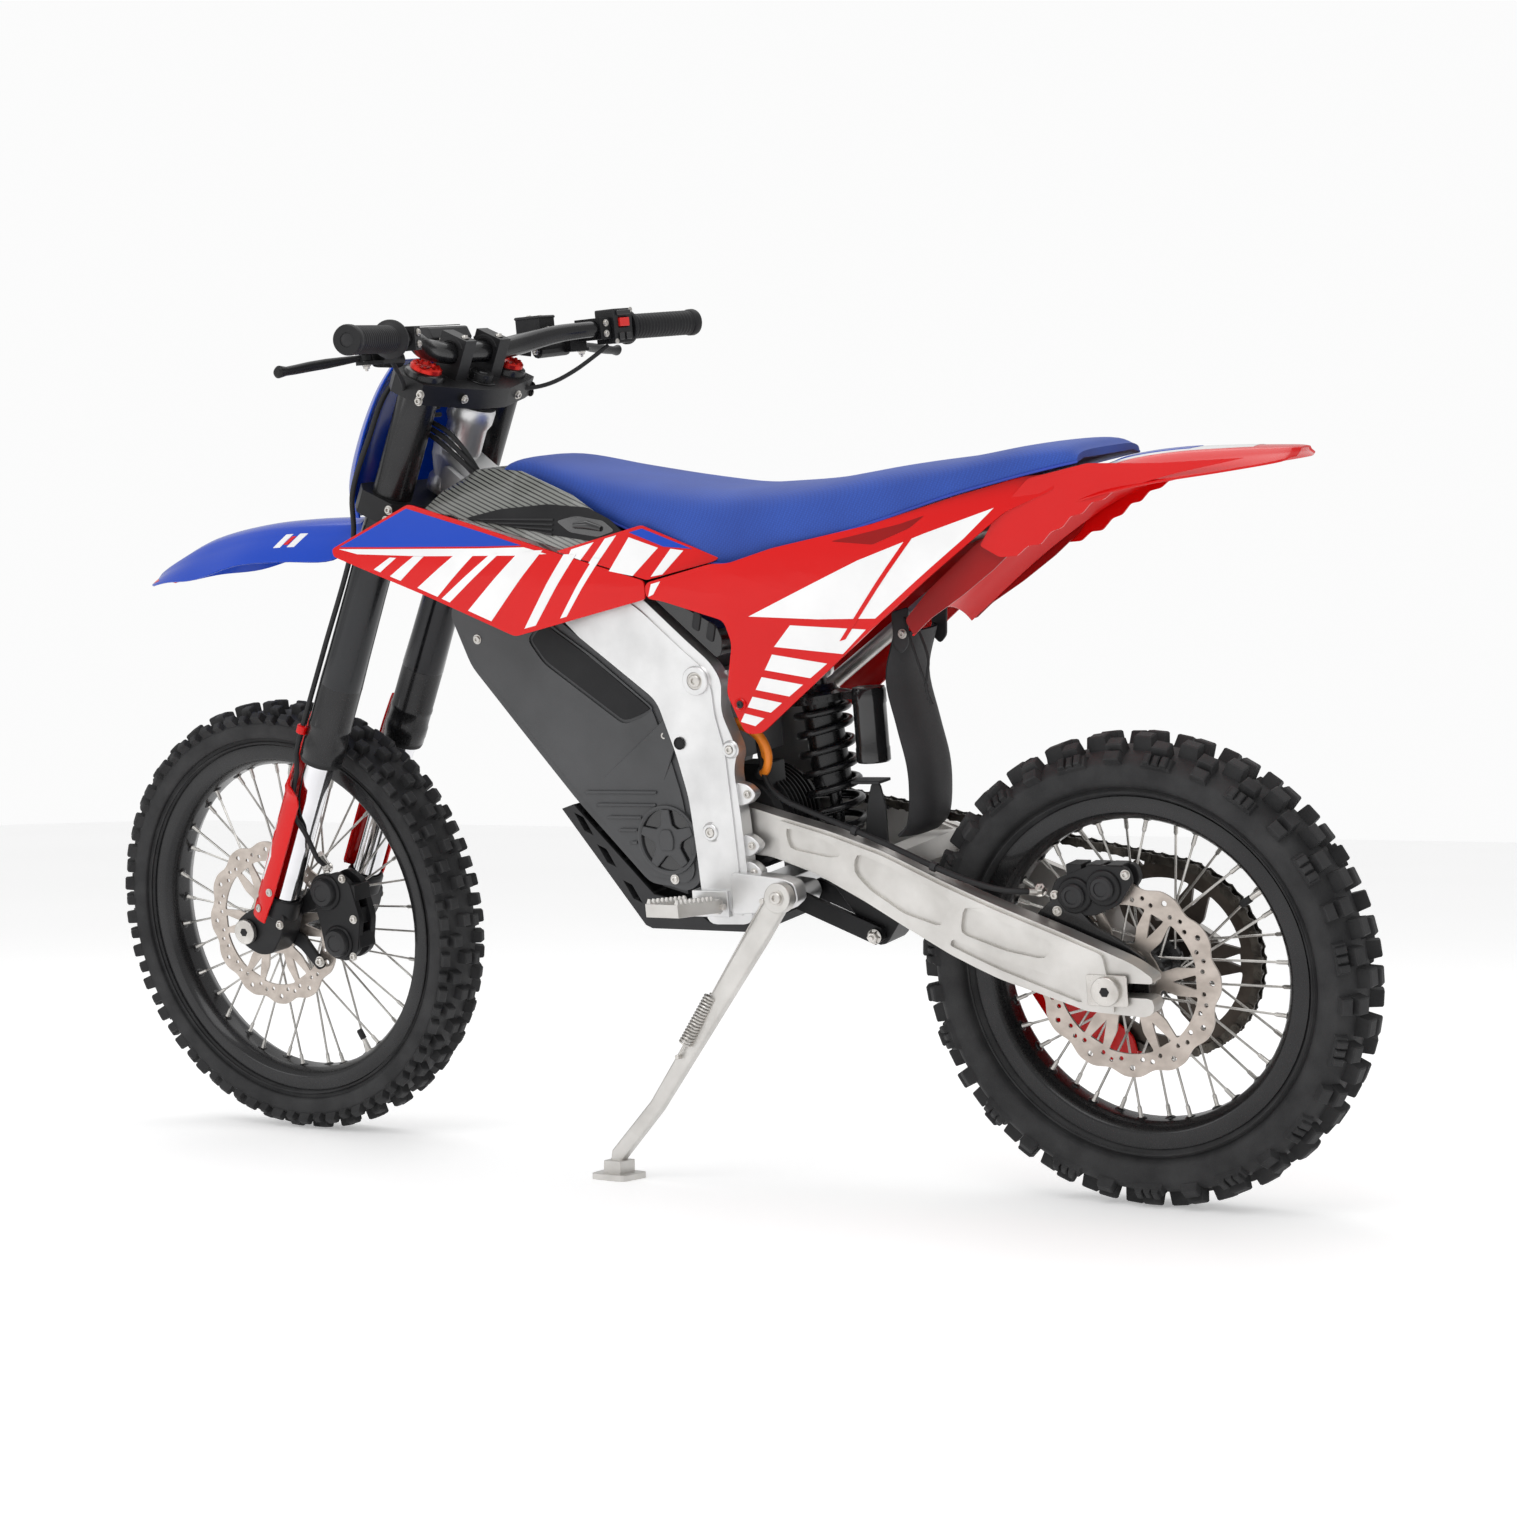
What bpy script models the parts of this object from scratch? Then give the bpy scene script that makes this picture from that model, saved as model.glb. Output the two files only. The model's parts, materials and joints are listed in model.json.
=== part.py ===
"""Electric off-road motorcycle, standing on its side stand.

Everything is modelled upright in the bike's own frame: forward is -Y, the rider's left is +X,
up is +Z, and the origin is on the ground midway between the axles.  At the end one empty,
bike_lean, leans the whole machine onto its stand and puts the origin under the box's middle.
Lengths are in metres and angles in radians.
"""
import math

import bmesh
import bpy
from mathutils import Matrix, Vector
from mathutils.geometry import tessellate_polygon

# ---------------------------------------------------------------- driving dimensions
LEAN = 0.161
WHEELBASE = 1.336
RAKE = 0.4485
GAP = 0.0003

FRONT_TYRE = {"radius": 0.3175, "half_width": 0.041, "bead": 0.246}
REAR_TYRE = {"radius": 0.2920, "half_width": 0.0465, "bead": 0.207}
RIM_HALF_WIDTH = 0.030
WHEEL_SEGMENTS = 32
SPOKES = 36
SPOKE_RADIUS = 0.0018
AXLE_RADIUS = 0.0095
DISC_RADIUS = 0.120
DISC_X = 0.057
DISC_HALF_THICKNESS = 0.0016

LEG_X = 0.0913
LEG_BACK = 0.030
STEER_BACK = 0.055
INNER_TUBE_RADIUS = 0.0205
OUTER_BORE_RADIUS = 0.0222
OUTER_TOP_RADIUS = 0.0270
OUTER_FOOT_RADIUS = 0.0305
OUTER_FOOT_S = 0.2866
OUTER_TOP_S = 0.868
LOWER_CLAMP_S = (0.655, 0.688)
HEAD_TUBE_S = (0.694, 0.8225)
UPPER_CLAMP_S = (0.829, 0.857)

SPAR_X = 0.118
SPAR_INNER_X = 0.095
SWING_PIVOT = Vector((0, 0.145, 0.478))
MOTOR_RADIUS = 0.062
CHAIN_X = -0.064
CHAIN_PITCH = 0.015875
REAR_TEETH = 48
MOTOR_TEETH = 13

SHOCK_TOP = Vector((0, 0.240, 0.665))
SHOCK_EYE = Vector((0, 0.262, 0.405))
ROCKER_PIVOT = Vector((0, 0.362, 0.388))
ROD_REAR = Vector((0, 0.318, 0.330))
ROD_FRONT = Vector((0, 0.198, 0.376))

BAR_CENTRE = Vector((0, -0.255, 1.106))
BAR_BEND_END = Vector((0.205, -0.196, 1.125))
BAR_END = Vector((0.386, -0.148, 1.126))
BAR_RADIUS = 0.0111
GRIP_INNER_X = 0.262
LEVER_PIVOT = Vector((0.240, -0.243, 1.106))

STAND_PIVOT = Vector((0.137, 0.243, 0.398))
STAND_FOOT_WORLD = Vector((0.185, -0.009, 0.0))
PEG_HINGE = Vector((0.137, 0.130, 0.384))

COLOURS = {
    "red_plastic": ((0.72, 0.03, 0.02), 0.25, 0.0),
    "blue_plastic": ((0.01, 0.06, 0.60), 0.28, 0.0),
    "seat_fabric": ((0.03, 0.08, 0.52), 0.70, 0.0),
    "carbon_panel": ((0.10, 0.10, 0.10), 0.30, 0.0),
    "black_plastic": ((0.035, 0.035, 0.038), 0.50, 0.0),
    "dark_case": ((0.060, 0.062, 0.066), 0.50, 0.0),
    "rubber": ((0.020, 0.020, 0.021), 0.80, 0.0),
    "tyre": ((0.022, 0.022, 0.023), 0.85, 0.0),
    "cast_aluminium": ((0.74, 0.74, 0.74), 0.42, 0.9),
    "blasted_aluminium": ((0.66, 0.64, 0.61), 0.50, 0.9),
    "black_metal": ((0.015, 0.015, 0.016), 0.35, 0.7),
    "chrome": ((0.80, 0.80, 0.82), 0.08, 1.0),
    "steel": ((0.55, 0.53, 0.50), 0.35, 1.0),
    "dark_steel": ((0.075, 0.065, 0.060), 0.45, 0.9),
    "orange_cable": ((0.90, 0.26, 0.02), 0.45, 0.0),
    "red_button": ((0.80, 0.02, 0.02), 0.40, 0.0),
}


# ---------------------------------------------------------------- scene and rig
def clear_scene():
    for obj in list(bpy.data.objects):
        bpy.data.objects.remove(obj, do_unlink=True)


def make_material(key):
    colour, roughness, metallic = COLOURS[key]
    material = bpy.data.materials.new(key)
    material.use_nodes = True
    shader = material.node_tree.nodes["Principled BSDF"]
    shader.inputs["Base Color"].default_value = (*colour, 1.0)
    shader.inputs["Roughness"].default_value = roughness
    shader.inputs["Metallic"].default_value = metallic
    return material


clear_scene()
MATERIALS = {key: make_material(key) for key in COLOURS}
RIG = bpy.data.objects.new("bike_lean", None)
bpy.context.collection.objects.link(RIG)
PIVOTS = {}


def pivot(name, location, axis, parent=None):
    """An empty on a joint's axis: its own Z runs along the axis."""
    empty = bpy.data.objects.new(name, None)
    bpy.context.collection.objects.link(empty)
    empty.empty_display_size = 0.05
    turn = Vector(axis).normalized().to_track_quat("Z", "Y").to_matrix().to_4x4()
    placement = Matrix.Translation(location) @ turn
    empty.matrix_basis = placement
    PIVOTS[name] = placement
    attach(empty, parent)
    return name


def attach(obj, parent):
    """Parents obj to a pivot, or to the rig, while its mesh stays in the bike's frame."""
    if parent is None:
        obj.parent = RIG
        return
    obj.parent = bpy.data.objects[parent]
    obj.matrix_parent_inverse = PIVOTS[parent].inverted()


# ---------------------------------------------------------------- solids: (vertices, faces)
def extrude(outline, along):
    """A flat outline of 3D points pushed along a vector."""
    count = len(outline)
    along = Vector(along)
    verts = [Vector(p) for p in outline] + [Vector(p) + along for p in outline]
    faces = [list(range(count)), [count + i for i in range(count)]]
    faces += [[i, (i + 1) % count, count + (i + 1) % count, count + i] for i in range(count)]
    return verts, faces


def prism(outline, x0, x1):
    """A side-view outline of (y, z) points pushed from x0 to x1."""
    return extrude([(x0, y, z) for y, z in outline], (x1 - x0, 0, 0))


def box(low, high):
    corners = [(low[1], low[2]), (high[1], low[2]), (high[1], high[2]), (low[1], high[2])]
    return prism(corners, low[0], high[0])


def slab(outline, outer_x, thickness, side=1):
    """A side-view outline bent to x = outer_x(y, z), with its own thickness inwards."""
    triangles = [list(t) for t in tessellate_polygon([[Vector((0, y, z)) for y, z in outline]])]
    count = len(outline)
    outer = [Vector((side * outer_x(y, z), y, z)) for y, z in outline]
    inner = [Vector((side * (outer_x(y, z) - thickness), y, z)) for y, z in outline]
    faces = triangles + [[i + count for i in reversed(t)] for t in triangles]
    for i in range(count):
        j = (i + 1) % count
        faces.append([i, j, count + j])
        faces.append([i, count + j, count + i])
    return outer + inner, faces


def lathe(profile, centre, axis, segments=24, ring=False, phase=0.0):
    """A profile of (radius, distance along the axis) points turned about the axis."""
    axis = Vector(axis).normalized()
    side = axis.cross(Vector((0, 0, 1)) if abs(axis.z) < 0.9 else Vector((0, 1, 0))).normalized()
    up = axis.cross(side)
    centre = Vector(centre)
    verts = []
    for i in range(segments):
        angle = 2 * math.pi * i / segments + phase
        outward = side * math.cos(angle) + up * math.sin(angle)
        verts += [centre + axis * h + outward * r for r, h in profile]
    size = len(profile)
    faces = []
    spans = size if ring else size - 1
    for i in range(segments):
        here = i * size
        there = (i + 1) % segments * size
        for k in range(spans):
            n = (k + 1) % size
            faces.append([here + k, here + n, there + n, there + k])
    if not ring:
        faces.append([i * size for i in range(segments)])
        faces.append([i * size + size - 1 for i in range(segments)])
    return verts, faces


def rod(start, end, radius, sides=16):
    start = Vector(start)
    axis = Vector(end) - start
    return lathe([(radius, 0), (radius, axis.length)], start, axis, sides)


def sweep(path, radii, sides=10, flatten=None):
    """A round bar along a path; radii is one radius or one for each point."""
    path = [Vector(p) for p in path]
    if isinstance(radii, float):
        radii = [radii] * len(path)
    verts = []
    side = None
    for i, point in enumerate(path):
        ahead = path[min(i + 1, len(path) - 1)] - path[max(i - 1, 0)]
        ahead.normalize()
        if side is None:
            side = ahead.orthogonal().normalized()
        side = (side - ahead * side.dot(ahead)).normalized()
        up = ahead.cross(side)
        for k in range(sides):
            angle = 2 * math.pi * k / sides
            verts.append(point + (side * math.cos(angle) + up * math.sin(angle)) * radii[i])
    faces = []
    for i in range(len(path) - 1):
        for k in range(sides):
            n = (k + 1) % sides
            faces.append([i * sides + k, i * sides + n, (i + 1) * sides + n, (i + 1) * sides + k])
    faces.append(list(range(sides)))
    faces.append([(len(path) - 1) * sides + k for k in range(sides)])
    return verts, faces


def skin(rows, closed_rows=False):
    """Faces between neighbouring rows of points; rows may close on themselves."""
    width = len(rows[0])
    faces = []
    for i in range(len(rows) - 1):
        for k in range(width if closed_rows else width - 1):
            n = (k + 1) % width
            faces.append([i * width + k, i * width + n, (i + 1) * width + n, (i + 1) * width + k])
    return faces


def loft(rows):
    """A closed solid through rows that are each a closed section."""
    width = len(rows[0])
    verts = [Vector(p) for row in rows for p in row]
    faces = skin(rows, closed_rows=True)
    faces.append(list(range(width)))
    faces.append([(len(rows) - 1) * width + k for k in range(width)])
    return verts, faces


def shell(rows, thickness):
    """An open sheet of rows of points given a thickness on the side away from its normals."""
    width = len(rows[0])
    height = len(rows)
    points = [[Vector(p) for p in row] for row in rows]
    outer = []
    inner = []
    for i in range(height):
        for k in range(width):
            down = points[min(i + 1, height - 1)][k] - points[max(i - 1, 0)][k]
            across = points[i][min(k + 1, width - 1)] - points[i][max(k - 1, 0)]
            normal = down.cross(across).normalized()
            outer.append(points[i][k])
            inner.append(points[i][k] - normal * thickness)
    count = width * height
    faces = skin(rows)
    faces += [[i + count for i in reversed(face)] for face in skin(rows)]
    border = [k for k in range(width)]
    border += [i * width + width - 1 for i in range(1, height)]
    border += [(height - 1) * width + k for k in range(width - 2, -1, -1)]
    border += [i * width for i in range(height - 2, 0, -1)]
    for a, b in zip(border, border[1:] + border[:1]):
        faces.append([a, b, b + count, a + count])
    return outer + inner, faces


def mirrored(solid):
    verts, faces = solid
    return [Vector((-v.x, v.y, v.z)) for v in verts], [list(reversed(face)) for face in faces]


def together(*solids):
    """Several separate solids in one mesh, for use as one cutter or one union operand."""
    verts = []
    faces = []
    for solid in solids:
        start = len(verts)
        verts += solid[0]
        faces += [[start + i for i in face] for face in solid[1]]
    return verts, faces


# ---------------------------------------------------------------- objects
def mesh_object(name, solid):
    mesh = bpy.data.meshes.new(name)
    mesh.from_pydata([tuple(v) for v in solid[0]], [], solid[1])
    work = bmesh.new()
    work.from_mesh(mesh)
    bmesh.ops.recalc_face_normals(work, faces=work.faces[:])
    work.to_mesh(mesh)
    work.free()
    obj = bpy.data.objects.new(name, mesh)
    bpy.context.collection.objects.link(obj)
    return obj


def part(name, material, solid, parent=None, join=(), cut=()):
    """One sub-part: a solid, then unions, then cuts, each a guide object left out of the part."""
    obj = mesh_object(name, solid)
    obj.data.materials.append(MATERIALS[material])
    attach(obj, parent)
    steps = [("UNION", s) for s in join] + [("DIFFERENCE", s) for s in cut]
    for number, (operation, operand) in enumerate(steps):
        guide = mesh_object(f"guide_{name}_{number}", operand)
        guide.hide_render = True
        guide.display_type = "WIRE"
        attach(guide, parent)
        modifier = obj.modifiers.new(f"{operation.lower()}_{number}", "BOOLEAN")
        modifier.operation = operation
        modifier.solver = "EXACT"
        modifier.object = guide
    obj.data.shade_smooth()
    obj.data.set_sharp_from_angle(angle=math.radians(35))
    return obj


def smooth_route(points, step):
    """Points about step apart on a smooth curve through the given ones."""
    points = [Vector(p) for p in points]
    padded = [2 * points[0] - points[1]] + points + [2 * points[-1] - points[-2]]
    route = [points[0]]
    for i in range(1, len(padded) - 2):
        a, b, c, d = padded[i - 1:i + 3]
        count = max(1, round((c - b).length / step))
        for k in range(1, count + 1):
            t = k / count
            route.append(0.5 * (2 * b + (c - a) * t + (2 * a - 5 * b + 4 * c - d) * t * t
                                + (3 * b - a - 3 * c + d) * t ** 3))
    return route


def hose(name, material, points, radius, parent=None):
    """A hose or cable as a round curve with filled ends."""
    route = smooth_route(points, radius * 6)
    curve = bpy.data.curves.new(name, "CURVE")
    curve.dimensions = "3D"
    curve.bevel_depth = radius
    curve.bevel_resolution = 2
    curve.use_fill_caps = True
    spline = curve.splines.new("POLY")
    spline.points.add(len(route) - 1)
    for point, place in zip(spline.points, route):
        point.co = (*place, 1.0)
    obj = bpy.data.objects.new(name, curve)
    bpy.context.collection.objects.link(obj)
    obj.data.materials.append(MATERIALS[material])
    attach(obj, parent)
    return obj


# ---------------------------------------------------------------- shared geometry
def tyre_profile(tyre):
    """The tyre's section, bead to bead round the outside and back inside, as (radius, x)."""
    crown, wide, bead = tyre["radius"], tyre["half_width"], tyre["bead"]
    depth = crown - bead
    half = [(bead, 0.0255), (bead + 0.0125, 0.0262), (bead + 0.38 * depth, wide * 0.96),
            (bead + 0.66 * depth, wide), (crown - 0.006, wide * 0.82), (crown, wide * 0.42)]
    inner = [(bead + 0.80 * depth, 0.024), (bead + 0.35 * depth, 0.024), (bead, 0.0175)]
    outside = half + [(r, -x) for r, x in reversed(half)]
    inside = [(r, -x) for r, x in reversed(inner)] + inner
    return outside + inside


def axle_height(tyre):
    """Height of the wheel's centre when the leaned tyre just touches the ground on a facet."""
    facet = math.cos(math.pi / WHEEL_SEGMENTS)
    drop = max(x * math.sin(LEAN) + r * facet * math.cos(LEAN) for r, x in tyre_profile(tyre))
    return drop / math.cos(LEAN)


FRONT_AXLE = Vector((0, -WHEELBASE / 2, axle_height(FRONT_TYRE)))
REAR_AXLE = Vector((0, WHEELBASE / 2, axle_height(REAR_TYRE)))
FORK_UP = Vector((0, math.sin(RAKE), math.cos(RAKE)))
FORK_BACK = Vector((0, math.cos(RAKE), -math.sin(RAKE)))


def fork(x, back, s):
    """A point by its side offset, its distance behind the front axle and up the fork."""
    return FRONT_AXLE + Vector((x, 0, 0)) + FORK_BACK * back + FORK_UP * s


def mix(a, b, t):
    return a + (b - a) * min(max(t, 0.0), 1.0)


def spar_x(y, z):
    """Outer face of the frame's spars, drawing in towards the head tube."""
    return mix(0.046, SPAR_X, (y + 0.29) / 0.25)


def arm_x(y, z):
    return mix(0.088, 0.110, (y - 0.20) / 0.30)


def shroud_x(y, z):
    """Side shroud: widest at the front, with its crease pushed out."""
    crease = 0.845 - 0.12 * (y + 0.39)
    return mix(0.168, 0.146, (y + 0.39) / 0.48) - 0.10 * abs(z - crease)


def side_panel_x(y, z):
    return mix(0.148, 0.104, (y - 0.20) / 0.42) - 0.10 * abs(z - 0.79)


def arc(centre, radius, start, end, steps):
    """Points of a circular arc in a side view, angles in degrees."""
    points = []
    for i in range(steps + 1):
        angle = math.radians(start + (end - start) * i / steps)
        points.append((centre[0] + radius * math.cos(angle), centre[1] + radius * math.sin(angle)))
    return points


def wheel_disc_outline(centre, radius, lobes, depth, steps):
    """A closed wavy circle in a side view."""
    points = []
    for i in range(lobes * steps):
        angle = 2 * math.pi * i / (lobes * steps)
        r = radius - depth * (0.5 - 0.5 * math.cos(lobes * angle))
        points.append((centre.y + r * math.cos(angle), centre.z + r * math.sin(angle)))
    return points


def windows(centre, r0, r1, count, share, x0, x1):
    """Cutters for the openings between the arms of a disc or sprocket."""
    solids = []
    for i in range(count):
        middle = 360 / count * (i + 0.5)
        half = 180 / count * share
        outline = arc((centre.y, centre.z), r1, middle - half, middle + half, 4)
        outline += arc((centre.y, centre.z), r0, middle + half * 0.6, middle - half * 0.6, 2)
        solids.append(prism(outline, x0, x1))
    return together(*solids)


def sprocket_outline(centre, teeth):
    radius = CHAIN_PITCH / (2 * math.sin(math.pi / teeth))
    points = []
    for i in range(teeth * 2):
        angle = math.pi * i / teeth
        r = radius + (0.003 if i % 2 == 0 else -0.004)
        points.append((centre.y + r * math.cos(angle), centre.z + r * math.sin(angle)))
    return points


# ---------------------------------------------------------------- wheels
def build_wheel(prefix, centre, tyre, body, disc_side, hub_half):
    """Tyre, rim, hub with its spokes, and brake disc of one wheel."""
    half_step = math.pi / WHEEL_SEGMENTS
    part(f"{prefix}_tyre", "tyre",
         lathe(tyre_profile(tyre), centre, (1, 0, 0), WHEEL_SEGMENTS, ring=True, phase=half_step), body)
    flange = tyre["bead"] + 0.010
    bed = tyre["bead"] - 0.008
    well = tyre["bead"] - 0.020
    wide = RIM_HALF_WIDTH
    section = [(flange, wide), (flange, wide - 0.0030), (bed + 0.007, wide - 0.0040), (bed, 0.010),
               (bed, -0.010), (bed + 0.007, 0.004 - wide), (flange, 0.003 - wide), (flange, -wide),
               (well + 0.010, -wide), (well, -0.010), (well, 0.010), (well + 0.010, wide)]
    part(f"{prefix}_rim", "black_metal",
         lathe(section, centre, (1, 0, 0), WHEEL_SEGMENTS, ring=True, phase=half_step), body)
    part(f"{prefix}_hub", "steel", hub_solid(centre, hub_half), body,
         join=[spokes(centre, well * math.cos(half_step) - 0.001)],
         cut=[rod(centre - Vector((0.1, 0, 0)), centre + Vector((0.1, 0, 0)), AXLE_RADIUS + GAP)])
    x = DISC_X * disc_side
    part(f"{prefix}_disc", "steel",
         prism(wheel_disc_outline(centre, DISC_RADIUS, 12, 0.006, 4),
               x - DISC_HALF_THICKNESS, x + DISC_HALF_THICKNESS), body,
         cut=[windows(centre, 0.042, 0.090, 6, 0.72, x - 0.01, x + 0.01),
              rod((x - 0.01, centre.y, centre.z), (x + 0.01, centre.y, centre.z), 0.0235, 24)])


def hub_solid(centre, half):
    profile = [(0.016, -half), (0.023, -half + 0.004), (0.023, -0.040), (0.033, -0.037), (0.033, -0.030),
               (0.022, -0.026), (0.022, 0.026), (0.033, 0.030), (0.033, 0.037), (0.023, 0.040),
               (0.023, half - 0.004), (0.016, half)]
    return lathe(profile, centre, (1, 0, 0), 16)


def spokes(centre, reach):
    """Crossed wire spokes from both hub flanges to just inside the rim."""
    lean = math.radians(48)
    solids = []
    for k in range(SPOKES):
        side = 1 if k % 2 == 0 else -1
        lead = 1 if (k // 2) % 2 == 0 else -1
        rim_angle = 2 * math.pi * (k + 0.5) / SPOKES
        hub_angle = rim_angle + lead * lean
        hub_x = side * (0.0355 if lead > 0 else 0.0315)
        inner = centre + Vector((hub_x, 0.029 * math.cos(hub_angle), 0.029 * math.sin(hub_angle)))
        outer = centre + Vector((side * 0.006, reach * math.cos(rim_angle), reach * math.sin(rim_angle)))
        solids.append(rod(inner, outer, SPOKE_RADIUS, 4))
    return together(*solids)


# ---------------------------------------------------------------- chassis
def build_frame():
    """Cast spars, head tube, cross-members, brackets and swingarm pins as one welded piece."""
    spar = [(-0.312, 0.925), (-0.264, 0.996), (-0.238, 0.926), (-0.150, 0.893), (0.000, 0.820),
            (0.060, 0.778), (0.122, 0.722), (0.152, 0.697), (0.170, 0.670), (0.170, 0.630),
            (0.178, 0.580), (0.183, 0.490), (0.187, 0.375), (0.187, 0.358), (0.120, 0.356),
            (0.114, 0.400), (0.110, 0.451), (0.094, 0.567), (0.071, 0.645), (-0.069, 0.751),
            (-0.200, 0.848)]
    left = slab(spar, spar_x, SPAR_X - SPAR_INNER_X)
    head_low, head_high = HEAD_TUBE_S
    head = lathe([(0.030, head_low), (0.030, head_high)], fork(0, STEER_BACK, 0), FORK_UP, 18)
    pins = rod(SWING_PIVOT - Vector((SPAR_INNER_X + 0.004, 0, 0)),
               SWING_PIVOT - Vector((0.078, 0, 0)), 0.012)
    stand_bracket = prism([(0.164, 0.3715), (0.245, 0.3785), (0.262, 0.392), (0.258, 0.414),
                           (0.240, 0.4205), (0.166, 0.4265)], 0.1035, 0.1275)
    peg_bracket = box((0.105, 0.1036, 0.3672), (0.1255, 0.1572, 0.4017))
    cross_low = box((-0.100, 0.130, 0.358), (0.100, 0.180, 0.398))
    cross_high = box((-0.100, 0.141, 0.640), (0.100, 0.168, 0.680))
    neck = box((-0.050, -0.296, 0.920), (0.050, -0.225, 0.955))
    rod_lug = prism([(0.170, 0.362), (0.205, 0.362), (0.212, 0.376), (0.205, 0.390), (0.170, 0.394)],
                    -0.020, 0.020)
    shock_lug = prism([(0.160, 0.645), (0.236, 0.650), (0.252, 0.658), (0.252, 0.674), (0.238, 0.682),
                       (0.160, 0.678)], -0.026, 0.026)
    reach = Vector((0.2, 0, 0))
    part("frame", "cast_aluminium", left,
         join=[mirrored(left), head, neck, cross_low, cross_high, pins, mirrored(pins), peg_bracket,
               mirrored(peg_bracket), rod_lug, shock_lug, stand_bracket],
         cut=[rod(fork(0, STEER_BACK, head_low - 0.05), fork(0, STEER_BACK, head_high + 0.05), 0.0180, 18),
              rod(ROD_FRONT - reach, ROD_FRONT + reach, 0.0095),
              box((-0.0165, 0.2, 0.64), (0.0165, 0.3, 0.70))])


def build_subframe():
    """Tubes that carry the seat and the rear fender."""
    upper = [(0.098, 0.176, 0.745), (0.098, 0.240, 0.770), (0.090, 0.460, 0.830), (0.074, 0.600, 0.868)]
    lower = [(0.098, 0.186, 0.600), (0.098, 0.430, 0.745), (0.090, 0.560, 0.838), (0.078, 0.585, 0.862)]
    brace = [(0.098, 0.196, 0.606), (0.098, 0.196, 0.752)]
    cross_front = rod((-0.098, 0.196, 0.752), (0.098, 0.196, 0.752), 0.008, 8)
    cross_rear = rod((-0.092, 0.500, 0.840), (0.092, 0.500, 0.840), 0.008, 8)
    upper_tube = sweep(upper, 0.009, 8)
    lower_tube = sweep(lower, 0.010, 8)
    brace_tube = rod(brace[0], brace[1], 0.008, 8)
    part("subframe", "blasted_aluminium", upper_tube,
         join=[lower_tube, brace_tube, cross_front, cross_rear, mirrored(upper_tube),
               mirrored(lower_tube), mirrored(brace_tube)])


CASE_FRONT = [(-0.262, 0.770), (-0.233, 0.694), (-0.161, 0.606), (-0.083, 0.512), (0.030, 0.396)]
CASE_UNDER_SPAR = [(0.086, 0.567), (0.062, 0.640), (-0.074, 0.744), (-0.200, 0.838)]


def build_battery():
    core = CASE_FRONT + [(0.068, 0.386), (0.072, 0.500), (0.088, 0.552), (0.134, 0.556), (0.134, 0.690),
                         (0.136, 0.715), (0.130, 0.745), (0.060, 0.784), (0.005, 0.798),
                         (-0.048, 0.722), (-0.200, 0.836)]
    right_cover = CASE_FRONT + [(0.072, 0.386), (0.074, 0.470)] + CASE_UNDER_SPAR[1:]
    part("battery_case", "dark_case", prism(core, -0.080, 0.080),
         join=[prism(right_cover, -0.103, -0.072)])
    cover = [(-0.258, 0.764), (-0.230, 0.692), (-0.158, 0.606), (-0.080, 0.514), (0.026, 0.404)]
    cover += arc((0.078, 0.425), 0.030, 235, 360, 5)
    cover += [(0.103, 0.470), (0.096, 0.520)] + CASE_UNDER_SPAR
    recess = [(-0.123, 0.722), (-0.103, 0.693), (0.014, 0.613), (0.064, 0.628), (-0.020, 0.706),
              (-0.105, 0.752)]
    port = (0.068, 0.470)
    part("battery_cover", "dark_case", prism(cover, 0.0804, 0.104),
         cut=[prism(recess, 0.098, 0.12), prism(arc(port, 0.052, 95, 265, 8), 0.099, 0.12)])
    skid = [(-0.107, 0.500), (0.010, 0.347), (0.020, 0.343), (0.182, 0.343), (0.182, 0.353),
            (0.110, 0.353), (0.070, 0.380), (0.027, 0.388), (-0.088, 0.506)]
    hollow = [(-0.096, 0.512), (0.016, 0.355), (0.110, 0.350), (0.110, 0.40), (0.02, 0.44)]
    slots = []
    for y, z in ((-0.080, 0.483), (-0.048, 0.441), (-0.012, 0.394)):
        slots.append(prism([(y - 0.008, z + 0.012), (y + 0.006, z - 0.012), (y + 0.020, z - 0.018),
                            (y + 0.006, z + 0.006)], -0.2, 0.2))
    part("skid_plate", "black_plastic", prism(skid, -0.098, 0.098),
         cut=[prism(hollow, -0.094, 0.094), together(*slots)])


def build_motor(sprocket_body):
    motor = lathe([(0.040, -0.051), (0.058, -0.048), (MOTOR_RADIUS, -0.040), (MOTOR_RADIUS, 0.048),
                   (0.056, 0.056), (0.030, 0.060)], SWING_PIVOT, (1, 0, 0), 20)
    terminal = box((0.010, 0.140, 0.520), (0.054, 0.188, 0.553))
    shaft = rod(SWING_PIVOT - Vector((0.071, 0, 0)), SWING_PIVOT - Vector((0.04, 0, 0)), 0.010)
    part("motor", "black_metal", motor, join=[terminal, shaft])
    hose("phase_cable", "orange_cable",
         [(0.074, 0.1368, 0.606), (0.075, 0.160, 0.611), (0.077, 0.192, 0.596), (0.077, 0.205, 0.572),
          (0.072, 0.198, 0.549), (0.0585, 0.180, 0.541)], 0.0055)
    x0, x1 = CHAIN_X - 0.003, CHAIN_X + 0.003
    part("motor_sprocket", "dark_steel", prism(sprocket_outline(SWING_PIVOT, MOTOR_TEETH), x0, x1),
         sprocket_body,
         cut=[rod(SWING_PIVOT - Vector((0.08, 0, 0)), SWING_PIVOT - Vector((0.04, 0, 0)), 0.0103)])


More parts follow.
